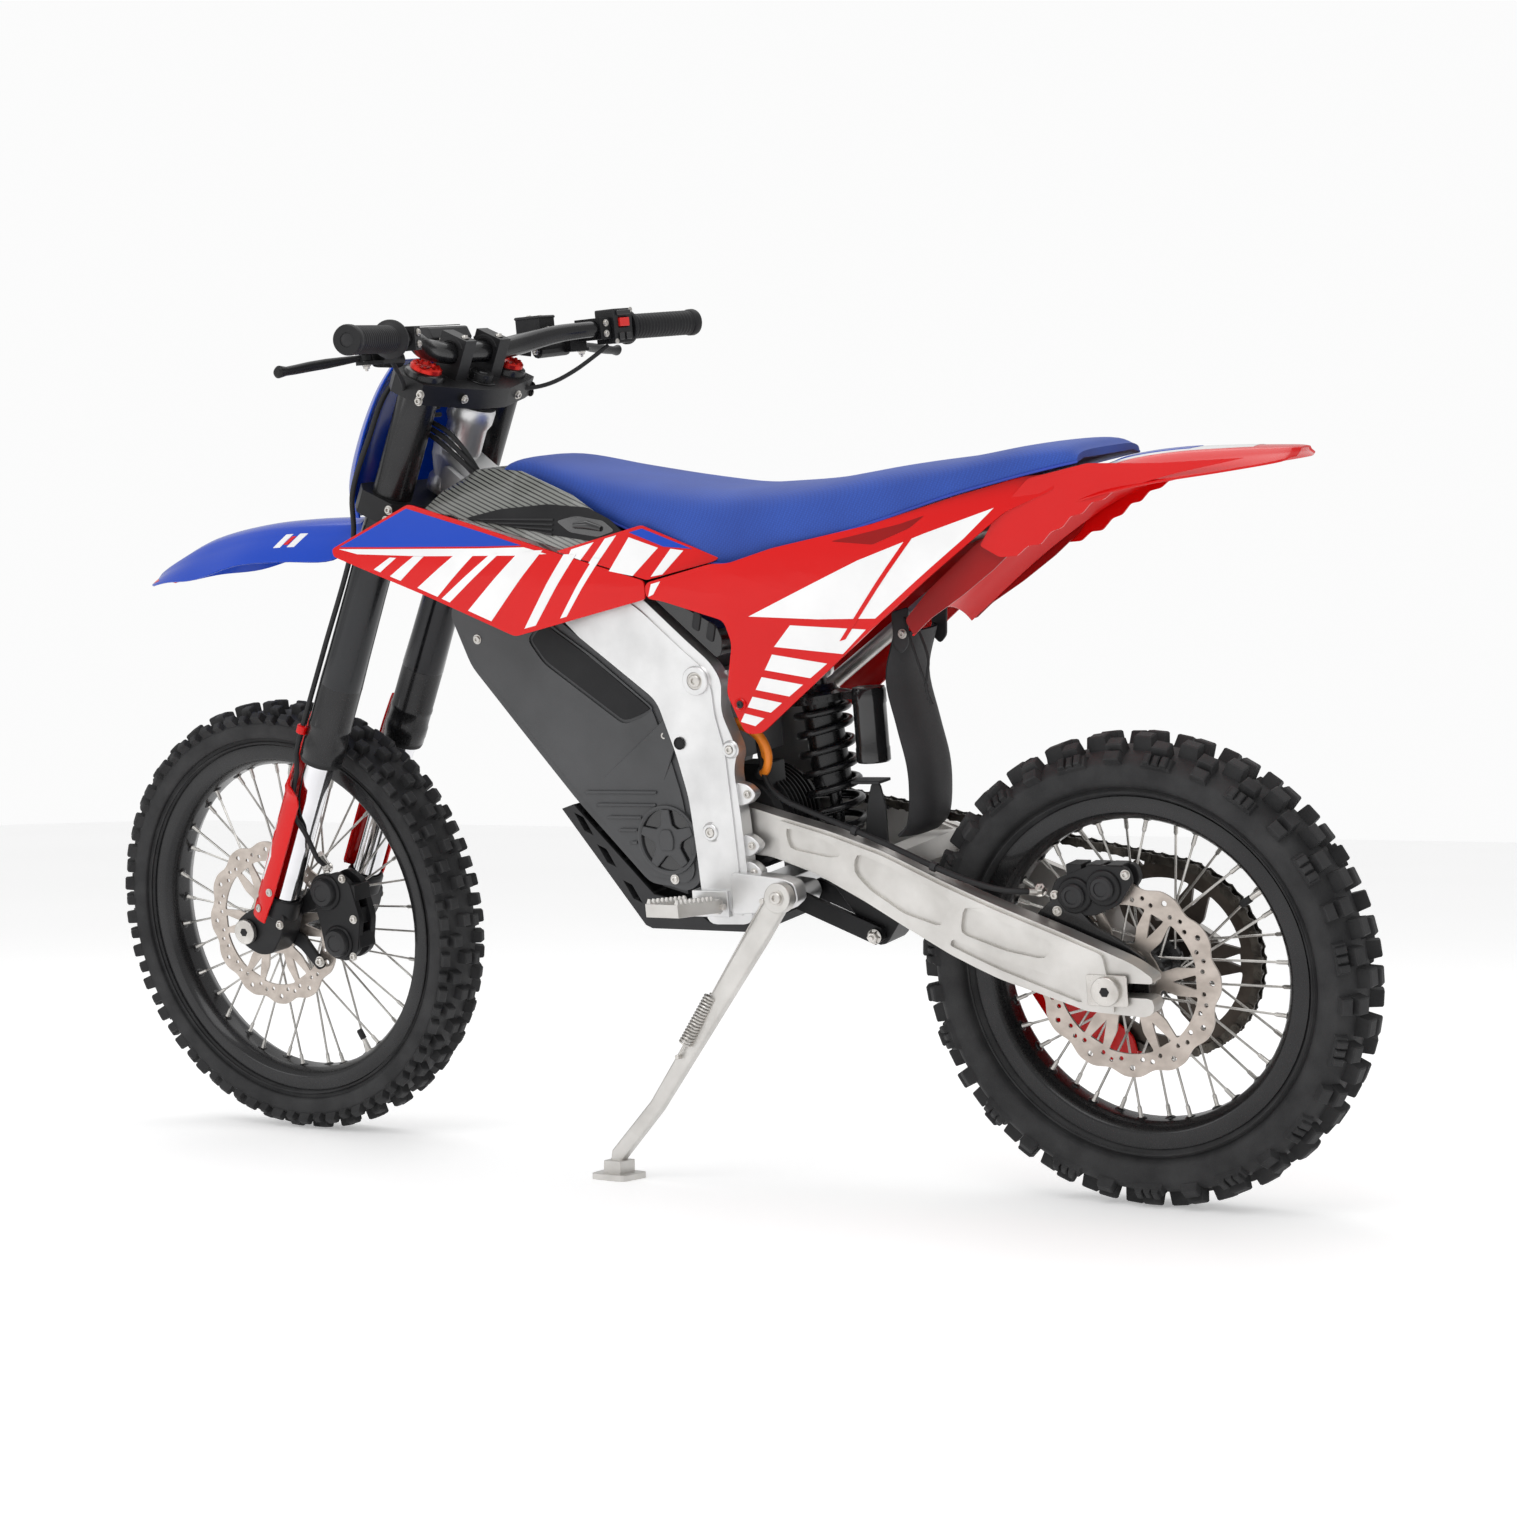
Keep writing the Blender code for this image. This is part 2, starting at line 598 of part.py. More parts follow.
SEAT_STATIONS = [  # y, top, edge height, half width
    (-0.193, 0.938, 0.928, 0.040), (-0.176, 0.957, 0.926, 0.062), (-0.120, 0.960, 0.922, 0.078),
    (-0.030, 0.940, 0.893, 0.100), (0.060, 0.922, 0.858, 0.118), (0.150, 0.908, 0.824, 0.126),
    (0.210, 0.906, 0.813, 0.129), (0.300, 0.908, 0.831, 0.126), (0.410, 0.919, 0.857, 0.119),
    (0.500, 0.925, 0.881, 0.112), (0.580, 0.934, 0.898, 0.105), (0.640, 0.935, 0.909, 0.098),
    (0.664, 0.926, 0.913, 0.090)]
SEAT_SECTION = [(1.0, 0.0), (1.0, 0.30), (0.93, 0.66), (0.78, 0.90), (0.45, 0.985), (0.0, 1.0)]


def build_seat():
    rows = []
    for y, top, edge, half in SEAT_STATIONS:
        right = [(-half * a, y, edge + (top - edge) * b) for a, b in SEAT_SECTION]
        left = [(half * a, y, edge + (top - edge) * b) for a, b in reversed(SEAT_SECTION[:-1])]
        under = [(half * 0.8, y, edge + 0.004), (-half * 0.8, y, edge + 0.004)]
        rows.append(right + left + under)
    part("seat", "seat_fabric", loft(rows))


SHROUD = [(-0.394, 0.861), (-0.268, 0.914), (-0.155, 0.878), (-0.043, 0.841), (0.086, 0.800),
          (0.086, 0.777), (-0.119, 0.735), (-0.250, 0.793), (-0.392, 0.853)]
SIDE_PANEL = [(0.090, 0.793), (0.150, 0.794), (0.210, 0.796), (0.300, 0.818), (0.400, 0.842),
              (0.514, 0.868), (0.590, 0.889), (0.628, 0.879), (0.571, 0.862), (0.400, 0.736),
              (0.229, 0.605), (0.207, 0.606), (0.190, 0.655), (0.207, 0.718), (0.200, 0.747),
              (0.112, 0.774)]
TANK_STATIONS = [  # y, base half width and height, shoulder, lip under the seat's edge, middle height
    (-0.224, (0.140, 0.900), (0.074, 0.944), (0.054, 0.947), 0.949),
    (-0.209, (0.143, 0.897), (0.078, 0.950), (0.058, 0.951), 0.951),
    (-0.200, (0.143, 0.893), (0.080, 0.951), (0.066, 0.920), 0.914),
    (-0.176, (0.143, 0.886), (0.084, 0.951), (0.069, 0.919), 0.912),
    (-0.120, (0.142, 0.869), (0.098, 0.946), (0.085, 0.915), 0.909),
    (-0.030, (0.140, 0.841), (0.117, 0.912), (0.107, 0.885), 0.880),
    (0.060, (0.138, 0.812), (0.130, 0.856), (0.1245, 0.850), 0.847),
    (0.088, (0.137, 0.803), (0.132, 0.834), (0.1265, 0.837), 0.836)]


def build_bodywork():
    for side, name in ((1, "left"), (-1, "right")):
        part(f"shroud_{name}", "red_plastic", slab(SHROUD, shroud_x, 0.003, side))
        part(f"side_panel_{name}", "red_plastic", slab(SIDE_PANEL, side_panel_x, 0.003, side))
    rows = []
    for number, (y, base, shoulder, lip, middle) in enumerate(TANK_STATIONS):
        between = (base[0] * 0.55 + shoulder[0] * 0.45, base[1] * 0.45 + shoulder[1] * 0.55)
        half = [base, between, shoulder, lip, (lip[0] * 0.5, middle)]
        ahead = 0.038 if number == 0 else 0.0
        places = [y - ahead, y - ahead * 0.6, y, y, y]
        right = [(x, place, z) for (x, z), place in zip(half, places)]
        rows.append(right + [(-x, place, z) for x, place, z in reversed(right)])
    part("top_panel", "carbon_panel", shell(rows, 0.003))
    tail = [(0.907, 0.912, 0.030, 0.006), (0.890, 0.914, 0.055, 0.012), (0.827, 0.917, 0.068, 0.022),
            (0.753, 0.918, 0.080, 0.030), (0.690, 0.912, 0.090, 0.034), (0.640, 0.894, 0.088, 0.030),
            (0.580, 0.862, 0.086, 0.030), (0.520, 0.822, 0.084, 0.030), (0.460, 0.776, 0.082, 0.030),
            (0.425, 0.742, 0.080, 0.026)]
    rows = []
    for y, crown, half, drop in reversed(tail):
        rows.append([(half * t, y, crown - drop * abs(t) ** 2.5) for t in (1, 0.8, 0.45, 0, -0.45, -0.8, -1)])
    part("rear_fender", "red_plastic", shell(rows, 0.003))
    flap = [(0.402, 0.716), (0.386, 0.660), (0.396, 0.600), (0.406, 0.550), (0.406, 0.510),
            (0.400, 0.478), (0.386, 0.463)]
    rows = []
    for y, z in flap:
        rows.append([(0.051 * t, y - 0.018 * abs(t) ** 3, z) for t in (1, 0.75, 0.3, -0.3, -0.75, -1)])
    part("mud_flap", "rubber", shell(rows, -0.004))


def build_peg(side, name, body):
    """A folding footrest: a hinge barrel and a wide toothed platform with its middle open."""
    y, z = PEG_HINGE.y, PEG_HINGE.z
    low, high = PEG_HINGE.x, 0.236
    plank = [(low, y - 0.024, z - 0.008), (high, y - 0.024, z + 0.006), (high, y - 0.024, z + 0.023),
             (low, y - 0.024, z + 0.008)]
    solid = extrude(plank, (0, 0.048, 0))
    barrel = rod((low, y - 0.022, z), (low, y + 0.022, z), 0.010, 12)
    opening = box((low + 0.022, y - 0.014, z - 0.05), (high - 0.010, y + 0.014, z + 0.05))
    solids = [solid, barrel, opening]
    if side < 0:
        solids = [mirrored(s) for s in solids]
    part(f"footpeg_{name}", "steel", solids[0], body, join=[solids[1]], cut=[solids[2]])


def stand_foot():
    """The side stand's foot in the bike's own frame."""
    return Matrix.Rotation(-LEAN, 3, "Y") @ STAND_FOOT_WORLD


STAND_DOWN = (stand_foot() - STAND_PIVOT).normalized()
STAND_FOLDED = Vector((0.0, 0.985, 0.17)).normalized()
STAND_AXIS = STAND_DOWN.cross(STAND_FOLDED).normalized()


def build_stand(body):
    ground_up = Matrix.Rotation(-LEAN, 3, "Y") @ Vector((0, 0, 1))
    ankle = stand_foot() + ground_up * 0.005
    knee = STAND_PIVOT + STAND_DOWN * 0.055
    leg = sweep([STAND_PIVOT + STAND_DOWN * 0.004 + STAND_AXIS * 0.002, knee, ankle + ground_up * 0.036,
                 ankle], [0.012, 0.0125, 0.0105, 0.011], 10)
    head = lathe([(0.019, -0.005), (0.019, 0.010)], STAND_PIVOT, STAND_AXIS, 16)
    turn = Matrix.Rotation(-LEAN, 3, "Y")
    sole = [turn @ (STAND_FOOT_WORLD + Vector(p)) for p in
            ((-0.022, -0.030, 0), (0.030, -0.026, 0), (0.030, 0.026, 0), (-0.022, 0.030, 0))]
    foot = extrude(sole, ground_up * 0.009)
    part("kickstand", "blasted_aluminium", foot, body, join=[leg, head])


# ---------------------------------------------------------------- steering and fork
def clamp_plate(s0, s1, front, back, half_width):
    outline = [(-half_width, front + 0.018), (-half_width + 0.018, front), (-0.052, front),
               (-0.034, front + 0.010), (0.034, front + 0.010), (0.052, front),
               (half_width - 0.018, front), (half_width, front + 0.018), (half_width, back - 0.030),
               (half_width - 0.020, back - 0.022), (0.030, back), (-0.030, back),
               (-half_width + 0.020, back - 0.022), (-half_width, back - 0.030)]
    return extrude([fork(x, b, s0) for x, b in outline], FORK_UP * (s1 - s0))


def build_steering(body):
    lower = clamp_plate(*LOWER_CLAMP_S, -0.012, 0.088, 0.126)
    upper = clamp_plate(*UPPER_CLAMP_S, -0.010, 0.086, 0.124)
    stem = rod(fork(0, STEER_BACK, LOWER_CLAMP_S[0] + 0.004), fork(0, STEER_BACK, UPPER_CLAMP_S[1] + 0.012),
               0.0160, 18)
    risers = []
    for x in (-0.038, 0.038):
        base = [fork(x - 0.012, b, UPPER_CLAMP_S[1] - 0.004) for b in (0.010, 0.052)]
        base += [fork(x + 0.012, b, UPPER_CLAMP_S[1] - 0.004) for b in (0.052, 0.010)]
        risers.append(extrude(base, FORK_UP * 0.060))
    tubes = []
    for x in (-LEG_X, LEG_X):
        tubes.append(rod(fork(x, LEG_BACK, 0.5), fork(x, LEG_BACK, 1.0), OUTER_TOP_RADIUS + GAP * 2, 18))
    bar_bore = rod(BAR_CENTRE - Vector((0.08, 0, 0)), BAR_CENTRE + Vector((0.08, 0, 0)), 0.0149, 16)
    part("triple_clamp", "black_metal", lower, body, join=[stem, upper, together(*risers)],
         cut=[together(*tubes), bar_bore])
    for side, name in ((1, "left"), (-1, "right")):
        profile = [(0.001, OUTER_TOP_S), (0.020, OUTER_TOP_S), (0.0225, OUTER_TOP_S - 0.008),
                   (OUTER_TOP_RADIUS, OUTER_TOP_S - 0.010), (OUTER_TOP_RADIUS, 0.60), (0.0285, 0.45),
                   (OUTER_FOOT_RADIUS, 0.345), (OUTER_FOOT_RADIUS, OUTER_FOOT_S),
                   (OUTER_BORE_RADIUS, OUTER_FOOT_S), (OUTER_BORE_RADIUS, 0.640), (0.001, 0.640)]
        part(f"fork_outer_{name}", "black_metal",
             lathe(profile, fork(side * LEG_X, LEG_BACK, 0), FORK_UP, 18), body)


def build_handlebar(body, throttle_body, kill_body, lever_bodies):
    bend = [BAR_CENTRE + Vector((0.056, 0, 0)), Vector((0.108, -0.249, 1.113)), Vector((0.156, -0.225, 1.122)),
            on_bar(-0.010)]
    half = [BAR_CENTRE] + smooth_route(bend, 0.025) + [on_bar(0.0), on_bar(0.182)]
    radii = [mix(0.0143, BAR_RADIUS, (p.x - 0.10) / 0.09) for p in half]
    path = [Vector((-p.x, p.y, p.z)) for p in reversed(half[1:])] + half
    part("handlebar", "black_metal", sweep(path, list(reversed(radii[1:])) + radii, 12), body)
    bar_end = smooth_bar_direction()
    for side, name, owner in ((1, "left_grip", body), (-1, "throttle_grip", throttle_body)):
        profile = [(0.0117, 0), (0.024, 0), (0.024, 0.006), (0.0175, 0.010), (0.0165, 0.060),
                   (0.0170, 0.120), (0.0185, 0.126), (0.0185, 0.133), (0.0117, 0.133)]
        solid = lathe(profile, BAR_BEND_END + bar_end * 0.059, bar_end, 16, ring=True)
        part(name, "rubber", solid if side > 0 else mirrored(solid), owner)
    display = [(-0.362, 1.126), (-0.352, 1.146), (-0.292, 1.143), (-0.2845, 1.1265), (-0.300, 1.118)]
    part("display", "black_plastic", prism(display, -0.045, 0.045), body)
    build_controls(body, kill_body, lever_bodies, bar_end)


def smooth_bar_direction():
    return (BAR_END - BAR_BEND_END).normalized()


def on_bar(along, forward=0.0, up=0.0):
    """A point by its distance out along the left bar end, ahead of it and above it."""
    direction = smooth_bar_direction()
    ahead = Vector((0, 0, 1)).cross(direction).normalized() * -1
    return BAR_BEND_END + direction * along + ahead * forward + Vector((0, 0, up))


def bar_block(a0, a1, f0, f1, u0, u1):
    corners = [on_bar(a0, f0, u0), on_bar(a0, f1, u0), on_bar(a0, f1, u1), on_bar(a0, f0, u1)]
    return extrude(corners, on_bar(a1) - on_bar(a0))


def build_controls(body, kill_body, lever_bodies, bar_end):
    """Switch housing, kill button, lever perches and brake levers."""
    bore = rod(on_bar(-0.05), on_bar(0.2), BAR_RADIUS + GAP)
    housing = bar_block(0.022, 0.056, -0.021, 0.020, -0.022, 0.026)
    button_hole = bar_block(0.030, 0.048, -0.03, -0.013, 0.0005, 0.0135)
    part("switch_housing", "black_plastic", mirrored(housing), body,
         cut=[mirrored(bore), mirrored(button_hole)])
    part("kill_button", "red_button", mirrored(bar_block(0.0305, 0.0475, -0.0245, -0.0160, 0.001, 0.013)),
         kill_body)
    perch = bar_block(0.001, 0.020, -0.015, 0.040, -0.015, 0.015)
    nose = extrude([LEVER_PIVOT + Vector(p) for p in
                    ((-0.046, 0.014, -0.009), (-0.040, -0.014, -0.009), (0.006, -0.012, -0.009),
                     (0.010, 0.010, -0.009), (-0.010, 0.020, -0.009))], (0, 0, 0.018))
    cylinder = rod(LEVER_PIVOT + Vector((-0.030, -0.006, -0.002)), LEVER_PIVOT + Vector((-0.085, -0.016, -0.004)),
                   0.011, 12)
    slot = extrude([LEVER_PIVOT + Vector(p) for p in
                    ((-0.014, -0.03, -0.0045), (0.04, -0.03, -0.0045), (0.04, 0.04, -0.0045),
                     (-0.014, 0.030, -0.0045))], (0, 0, 0.009))
    reservoir = box((0.151, -0.289, 1.1065), (0.187, -0.248, 1.146))
    clamp_cut = rod(on_bar(-0.05), on_bar(0.2), BAR_RADIUS + GAP)
    part("left_perch", "black_metal", perch, body, join=[nose, cylinder], cut=[clamp_cut, slot])
    part("right_perch", "black_metal", mirrored(perch), body,
         join=[mirrored(nose), mirrored(cylinder), mirrored(reservoir)],
         cut=[mirrored(clamp_cut), mirrored(slot)])
    blade = [LEVER_PIVOT + Vector(p) for p in
             ((-0.004, 0.000, 0), (0.020, -0.010, -0.001), (0.055, -0.021, -0.004),
              (0.100, -0.028, -0.008), (0.128, -0.029, -0.010), (0.136, -0.030, -0.010))]
    lever = sweep(blade, [0.0040, 0.0040, 0.0052, 0.0050, 0.0060, 0.0070], 10)
    for side, name in ((1, "left_lever"), (-1, "right_lever")):
        part(name, "black_metal", lever if side > 0 else mirrored(lever), lever_bodies[side])


PLATE_ROWS = [  # height, edge y, half width, how far the middle stands ahead
    (1.103, -0.322, 0.074, 0.040), (1.060, -0.345, 0.094, 0.050), (1.000, -0.374, 0.102, 0.056),
    (0.940, -0.400, 0.098, 0.056), (0.896, -0.412, 0.078, 0.048)]
FENDER_STATIONS = [  # y, crown, half width, drop at the edge
    (-0.862, 0.817, 0.022, 0.004), (-0.840, 0.832, 0.046, 0.014), (-0.800, 0.851, 0.060, 0.028),
    (-0.733, 0.876, 0.074, 0.050), (-0.644, 0.890, 0.082, 0.046), (-0.560, 0.894, 0.082, 0.048),
    (-0.470, 0.893, 0.078, 0.048), (-0.430, 0.890, 0.056, 0.014), (-0.372, 0.876, 0.050, 0.004)]


def build_front_bodywork(body):
    rows = []
    for z, edge_y, half, bulge in PLATE_ROWS:
        rows.append([(half * t, edge_y - bulge * (1 - abs(t) ** 2.2), z)
                     for t in (1, 0.8, 0.5, 0.2, -0.2, -0.5, -0.8, -1)])
    part("number_plate", "blue_plastic", shell(rows, -0.003), body)
    rows = []
    for y, crown, half, drop in FENDER_STATIONS:
        rows.append([(half * t, y, crown - drop * abs(t) ** 2.2) for t in (-1, -0.7, -0.35, 0, 0.35, 0.7, 1)])
    part("front_fender", "blue_plastic", shell(rows, -0.003), body)


def build_fork_lower(body):
    """Chrome legs with their axle lugs, guards, axle and brake caliper."""
    for side, name in ((1, "left"), (-1, "right")):
        x = side * LEG_X
        tube = lathe([(0.001, 0.026), (INNER_TUBE_RADIUS, 0.026), (INNER_TUBE_RADIUS, 0.430), (0.001, 0.430)],
                     fork(x, LEG_BACK, 0), FORK_UP, 18)
        lug_outline = [(-0.022, 0.010), (-0.010, 0.024), (0.006, 0.050), (0.054, 0.050), (0.058, 0.020),
                       (0.050, -0.014), (0.020, -0.026), (-0.010, -0.024), (-0.022, -0.010)]
        lug = extrude([fork(x - 0.021, b, s) for b, s in lug_outline], (0.042, 0, 0))
        bore = rod(fork(-0.2, 0, 0), fork(0.2, 0, 0), AXLE_RADIUS + GAP)
        part(f"fork_inner_{name}", "chrome", lug, body, join=[tube], cut=[bore])
        build_guard(side, name, body)
    axle = lathe([(0.017, -0.124), (0.017, -0.116), (AXLE_RADIUS, -0.1155), (AXLE_RADIUS, 0.1135),
                  (0.018, 0.114), (0.018, 0.122)], FRONT_AXLE, (1, 0, 0), 16)
    part("front_axle", "steel", axle, body)
    outline = [(-0.590, 0.350), (-0.558, 0.396), (-0.505, 0.408), (-0.484, 0.350), (-0.500, 0.258),
               (-0.562, 0.240), (-0.584, 0.290)]
    ear = prism([(-0.580, 0.296), (-0.580, 0.346), (-0.618, 0.336), (-0.618, 0.302)], 0.0625, 0.0699)
    slot = prism(arc((FRONT_AXLE.y, FRONT_AXLE.z), 0.127, -60, 60, 8) + [(-0.66, 0.36), (-0.66, 0.28)],
                 DISC_X - 0.0045, DISC_X + 0.0045)
    part("front_caliper", "black_metal", prism(outline, 0.041, 0.084), body, join=[ear], cut=[slot])


def build_guard(side, name, body):
    """A plastic guard wrapped round the front and outside of a fork leg."""
    def arc_plate(low, high, start, end, steps):
        rows = []
        for s in (low, high):
            row = []
            for r, order in ((0.0375, range(steps + 1)), (0.0345, range(steps, -1, -1))):
                for i in order:
                    angle = math.radians(start + (end - start) * i / steps)
                    row.append(fork(side * (LEG_X + r * math.sin(angle)), LEG_BACK - r * math.cos(angle), s))
            rows.append(row)
        return loft(rows)

    part(f"fork_guard_{name}", "red_plastic", arc_plate(0.061, 0.250, -24, 100, 7), body,
         join=[arc_plate(0.034, 0.070, 46, 97, 3), arc_plate(0.240, 0.345, -19, 3, 2)])


# ---------------------------------------------------------------- swingarm and rear wheel
def arm_outline():
    pivot_end = arc((SWING_PIVOT.y, SWING_PIVOT.z), 0.034, 250, 90, 8)
    top = [(0.213, 0.494), (0.300, 0.474), (0.374, 0.452), (0.454, 0.419), (0.533, 0.389), (0.610, 0.361),
           (0.700, 0.326)]
    axle_end = [(0.722, 0.308), (0.722, 0.276), (0.700, 0.254)]
    bottom = [(0.640, 0.262), (0.526, 0.300), (0.460, 0.327), (0.394, 0.360), (0.341, 0.388),
              (0.272, 0.420), (0.205, 0.440)]
    return pivot_end + top + axle_end + bottom


def build_swingarm(body):
    """Two arms, a cross-member behind the shock, and lugs for the rocker."""
    left = slab(arm_outline(), arm_x, 0.027)
    right = slab(arm_outline(), arm_x, 0.013, -1)
    right_rear = prism([(0.340, 0.390), (0.360, 0.455), (0.454, 0.418), (0.460, 0.330)], -0.100, -0.078)
    cross = prism([(0.347, 0.414), (0.388, 0.414), (0.392, 0.424), (0.386, 0.448), (0.347, 0.446)],
                  -0.090, 0.090)
    lug = prism([(0.349, 0.420), (0.350, 0.384), (0.358, 0.376), (0.368, 0.376), (0.376, 0.384),
                 (0.380, 0.420)], 0.029, 0.040)
    pin = rod(ROCKER_PIVOT - Vector((0.036, 0, 0)), ROCKER_PIVOT + Vector((0.036, 0, 0)), 0.007)
    reach = Vector((0.2, 0, 0))
    part("swingarm", "blasted_aluminium", left, body,
         join=[right, right_rear, cross, lug, mirrored(lug), pin],
         cut=[rod(SWING_PIVOT - reach, SWING_PIVOT + reach, 0.0123),
              rod(REAR_AXLE - reach, REAR_AXLE + reach, AXLE_RADIUS + GAP)])
    axle = lathe([(0.017, -0.124), (0.017, -0.112), (AXLE_RADIUS, -0.1115), (AXLE_RADIUS, 0.1115),
                  (0.018, 0.112), (0.018, 0.124)], REAR_AXLE, (1, 0, 0), 16)
    part("rear_axle", "steel", axle, body)
    caliper = [(0.566, 0.392), (0.585, 0.420), (0.640, 0.438), (0.690, 0.436), (0.696, 0.418),
               (0.672, 0.372), (0.640, 0.352), (0.602, 0.372)]
    slot = prism(arc((REAR_AXLE.y, REAR_AXLE.z), 0.127, 40, 150, 10)
                 + arc((REAR_AXLE.y, REAR_AXLE.z), 0.03, 150, 40, 2), DISC_X - 0.0045, DISC_X + 0.0045)
    part("rear_caliper", "black_metal", prism(caliper, 0.041, 0.0795), body, cut=[slot])


def chain_line():
    """Stations of the chain's pitch line round both sprockets: (point, outward direction)."""
    big = CHAIN_PITCH / (2 * math.sin(math.pi / REAR_TEETH))
    small = CHAIN_PITCH / (2 * math.sin(math.pi / MOTOR_TEETH))
    across = REAR_AXLE - SWING_PIVOT
    slope = math.atan2(across.z, across.y)
    tilt = math.asin((big - small) / across.length)
    stations = []
    for centre, radius, start, end, steps in (
            (REAR_AXLE, big, slope - math.pi / 2 - tilt, slope + math.pi / 2 + tilt, 16),
            (SWING_PIVOT, small, slope + math.pi / 2 + tilt, slope + 3 * math.pi / 2 - tilt, 10)):
        for i in range(steps + 1):
            angle = start + (end - start) * i / steps
            outward = Vector((0, math.cos(angle), math.sin(angle)))
            stations.append((Vector((CHAIN_X, centre.y, centre.z)) + outward * radius, outward))
    return stations


def build_chain(body):
    """The chain as a channel of side plates and outer band that the teeth turn inside."""
    section = [(-0.0085, -0.006), (-0.0085, 0.0085), (0.0085, 0.0085), (0.0085, -0.006), (0.0045, -0.006),
               (0.0045, 0.0045), (-0.0045, 0.0045), (-0.0045, -0.006)]
    stations = chain_line()
    verts = []
    for centre, outward in stations:
        verts += [centre + Vector((x, 0, 0)) + outward * h for x, h in section]
    size = len(section)
    faces = []
    for i in range(len(stations)):
        here = i * size
        there = (i + 1) % len(stations) * size
        for k in range(size):
            n = (k + 1) % size
            faces.append([here + k, here + n, there + n, there + k])
    part("chain", "dark_steel", (verts, faces), body)


def build_rear_sprocket(body):
    x0, x1 = CHAIN_X - 0.003, CHAIN_X + 0.003
    part("rear_sprocket", "dark_steel", prism(sprocket_outline(REAR_AXLE, REAR_TEETH), x0, x1), body,
         cut=[windows(REAR_AXLE, 0.046, 0.100, 6, 0.80, x0 - 0.01, x1 + 0.01),
              rod(REAR_AXLE - Vector((0.1, 0, 0)), REAR_AXLE - Vector((0.04, 0, 0)), 0.0235, 24)])


# ---------------------------------------------------------------- rear suspension
def build_suspension(upper_body, lower_body, rocker_body, rod_body):
    """Shock absorber, its spring, the rocker and the link rod."""
    down = (SHOCK_EYE - SHOCK_TOP).normalized()
    body = lathe([(0.001, 0.018), (0.020, 0.018), (0.025, 0.026), (0.040, 0.030), (0.040, 0.040),
                  (0.025, 0.0402), (0.025, 0.146), (0.0110, 0.146), (0.0110, 0.050), (0.001, 0.050)],
                 SHOCK_TOP, down, 20)
    eye = rod(SHOCK_TOP - Vector((0.015, 0, 0)), SHOCK_TOP + Vector((0.015, 0, 0)), 0.013)
    neck = rod(SHOCK_TOP + down * 0.004, SHOCK_TOP + down * 0.026, 0.012)
    bridge = box((-0.0115, 0.2635, 0.6287), (0.0115, 0.3145, 0.6383))
    reservoir = rod((0, 0.314, 0.548), (0, 0.314, 0.643), 0.021)
    part("shock_body", "black_metal", body, upper_body, join=[bridge, reservoir, eye, neck])
    spring = lathe([(0.0290, 0.0405), (0.0385, 0.0405), (0.0385, 0.2125), (0.0290, 0.2125)], SHOCK_TOP, down,
                   20, ring=True)
    part("shock_spring", "black_metal", spring, upper_body)
    length = (SHOCK_EYE - SHOCK_TOP).length
    shaft = lathe([(0.001, 0.117), (0.0080, 0.117), (0.0080, 0.213), (0.038, 0.213), (0.038, 0.219),
                   (0.014, 0.226), (0.012, length - 0.010), (0.001, length - 0.010)], SHOCK_TOP, down, 16)
    lower_eye = rod(SHOCK_EYE - Vector((0.011, 0, 0)), SHOCK_EYE + Vector((0.011, 0, 0)), 0.0145)
    pin_reach = Vector((0.03, 0, 0))
    part("shock_shaft", "black_metal", shaft, lower_body, join=[lower_eye],
         cut=[rod(SHOCK_EYE - pin_reach, SHOCK_EYE + pin_reach, 0.0070)])
    outline = arc((ROCKER_PIVOT.y, ROCKER_PIVOT.z), 0.0135, -60, 100, 4)
    outline += arc((SHOCK_EYE.y, SHOCK_EYE.z), 0.0135, 80, 240, 4)
    outline += arc((ROD_REAR.y, ROD_REAR.z), 0.0145, 200, 330, 4)
    slot = prism([(0.20, 0.44), (0.286, 0.44), (0.286, 0.30), (0.20, 0.30)], -0.0135, 0.0135)
    part("rocker", "black_metal", prism(outline, -0.026, 0.026), rocker_body,
         join=[rod(SHOCK_EYE - Vector((0.020, 0, 0)), SHOCK_EYE + Vector((0.020, 0, 0)), 0.0050)],
         cut=[rod(ROCKER_PIVOT - pin_reach, ROCKER_PIVOT + pin_reach, 0.0075),
              rod(ROD_REAR - pin_reach, ROD_REAR + pin_reach, 0.0085)])


def rocker_slot_fix():
    """The shock's eye sits in a slot, so the slot is cut before its pin is joined across."""
    rocker = bpy.data.objects["rocker"]
    slot = mesh_object("guide_rocker_slot", prism([(0.20, 0.44), (0.284, 0.44), (0.284, 0.30), (0.20, 0.30)],
                                                  -0.0125, 0.0125))
    slot.hide_render = True
    slot.display_type = "WIRE"
    attach(slot, "rocker_swing")
    modifier = rocker.modifiers.new("slot", "BOOLEAN")
    modifier.operation = "DIFFERENCE"
    modifier.solver = "EXACT"
    modifier.object = slot
    rocker.modifiers.move(len(rocker.modifiers) - 1, 0)


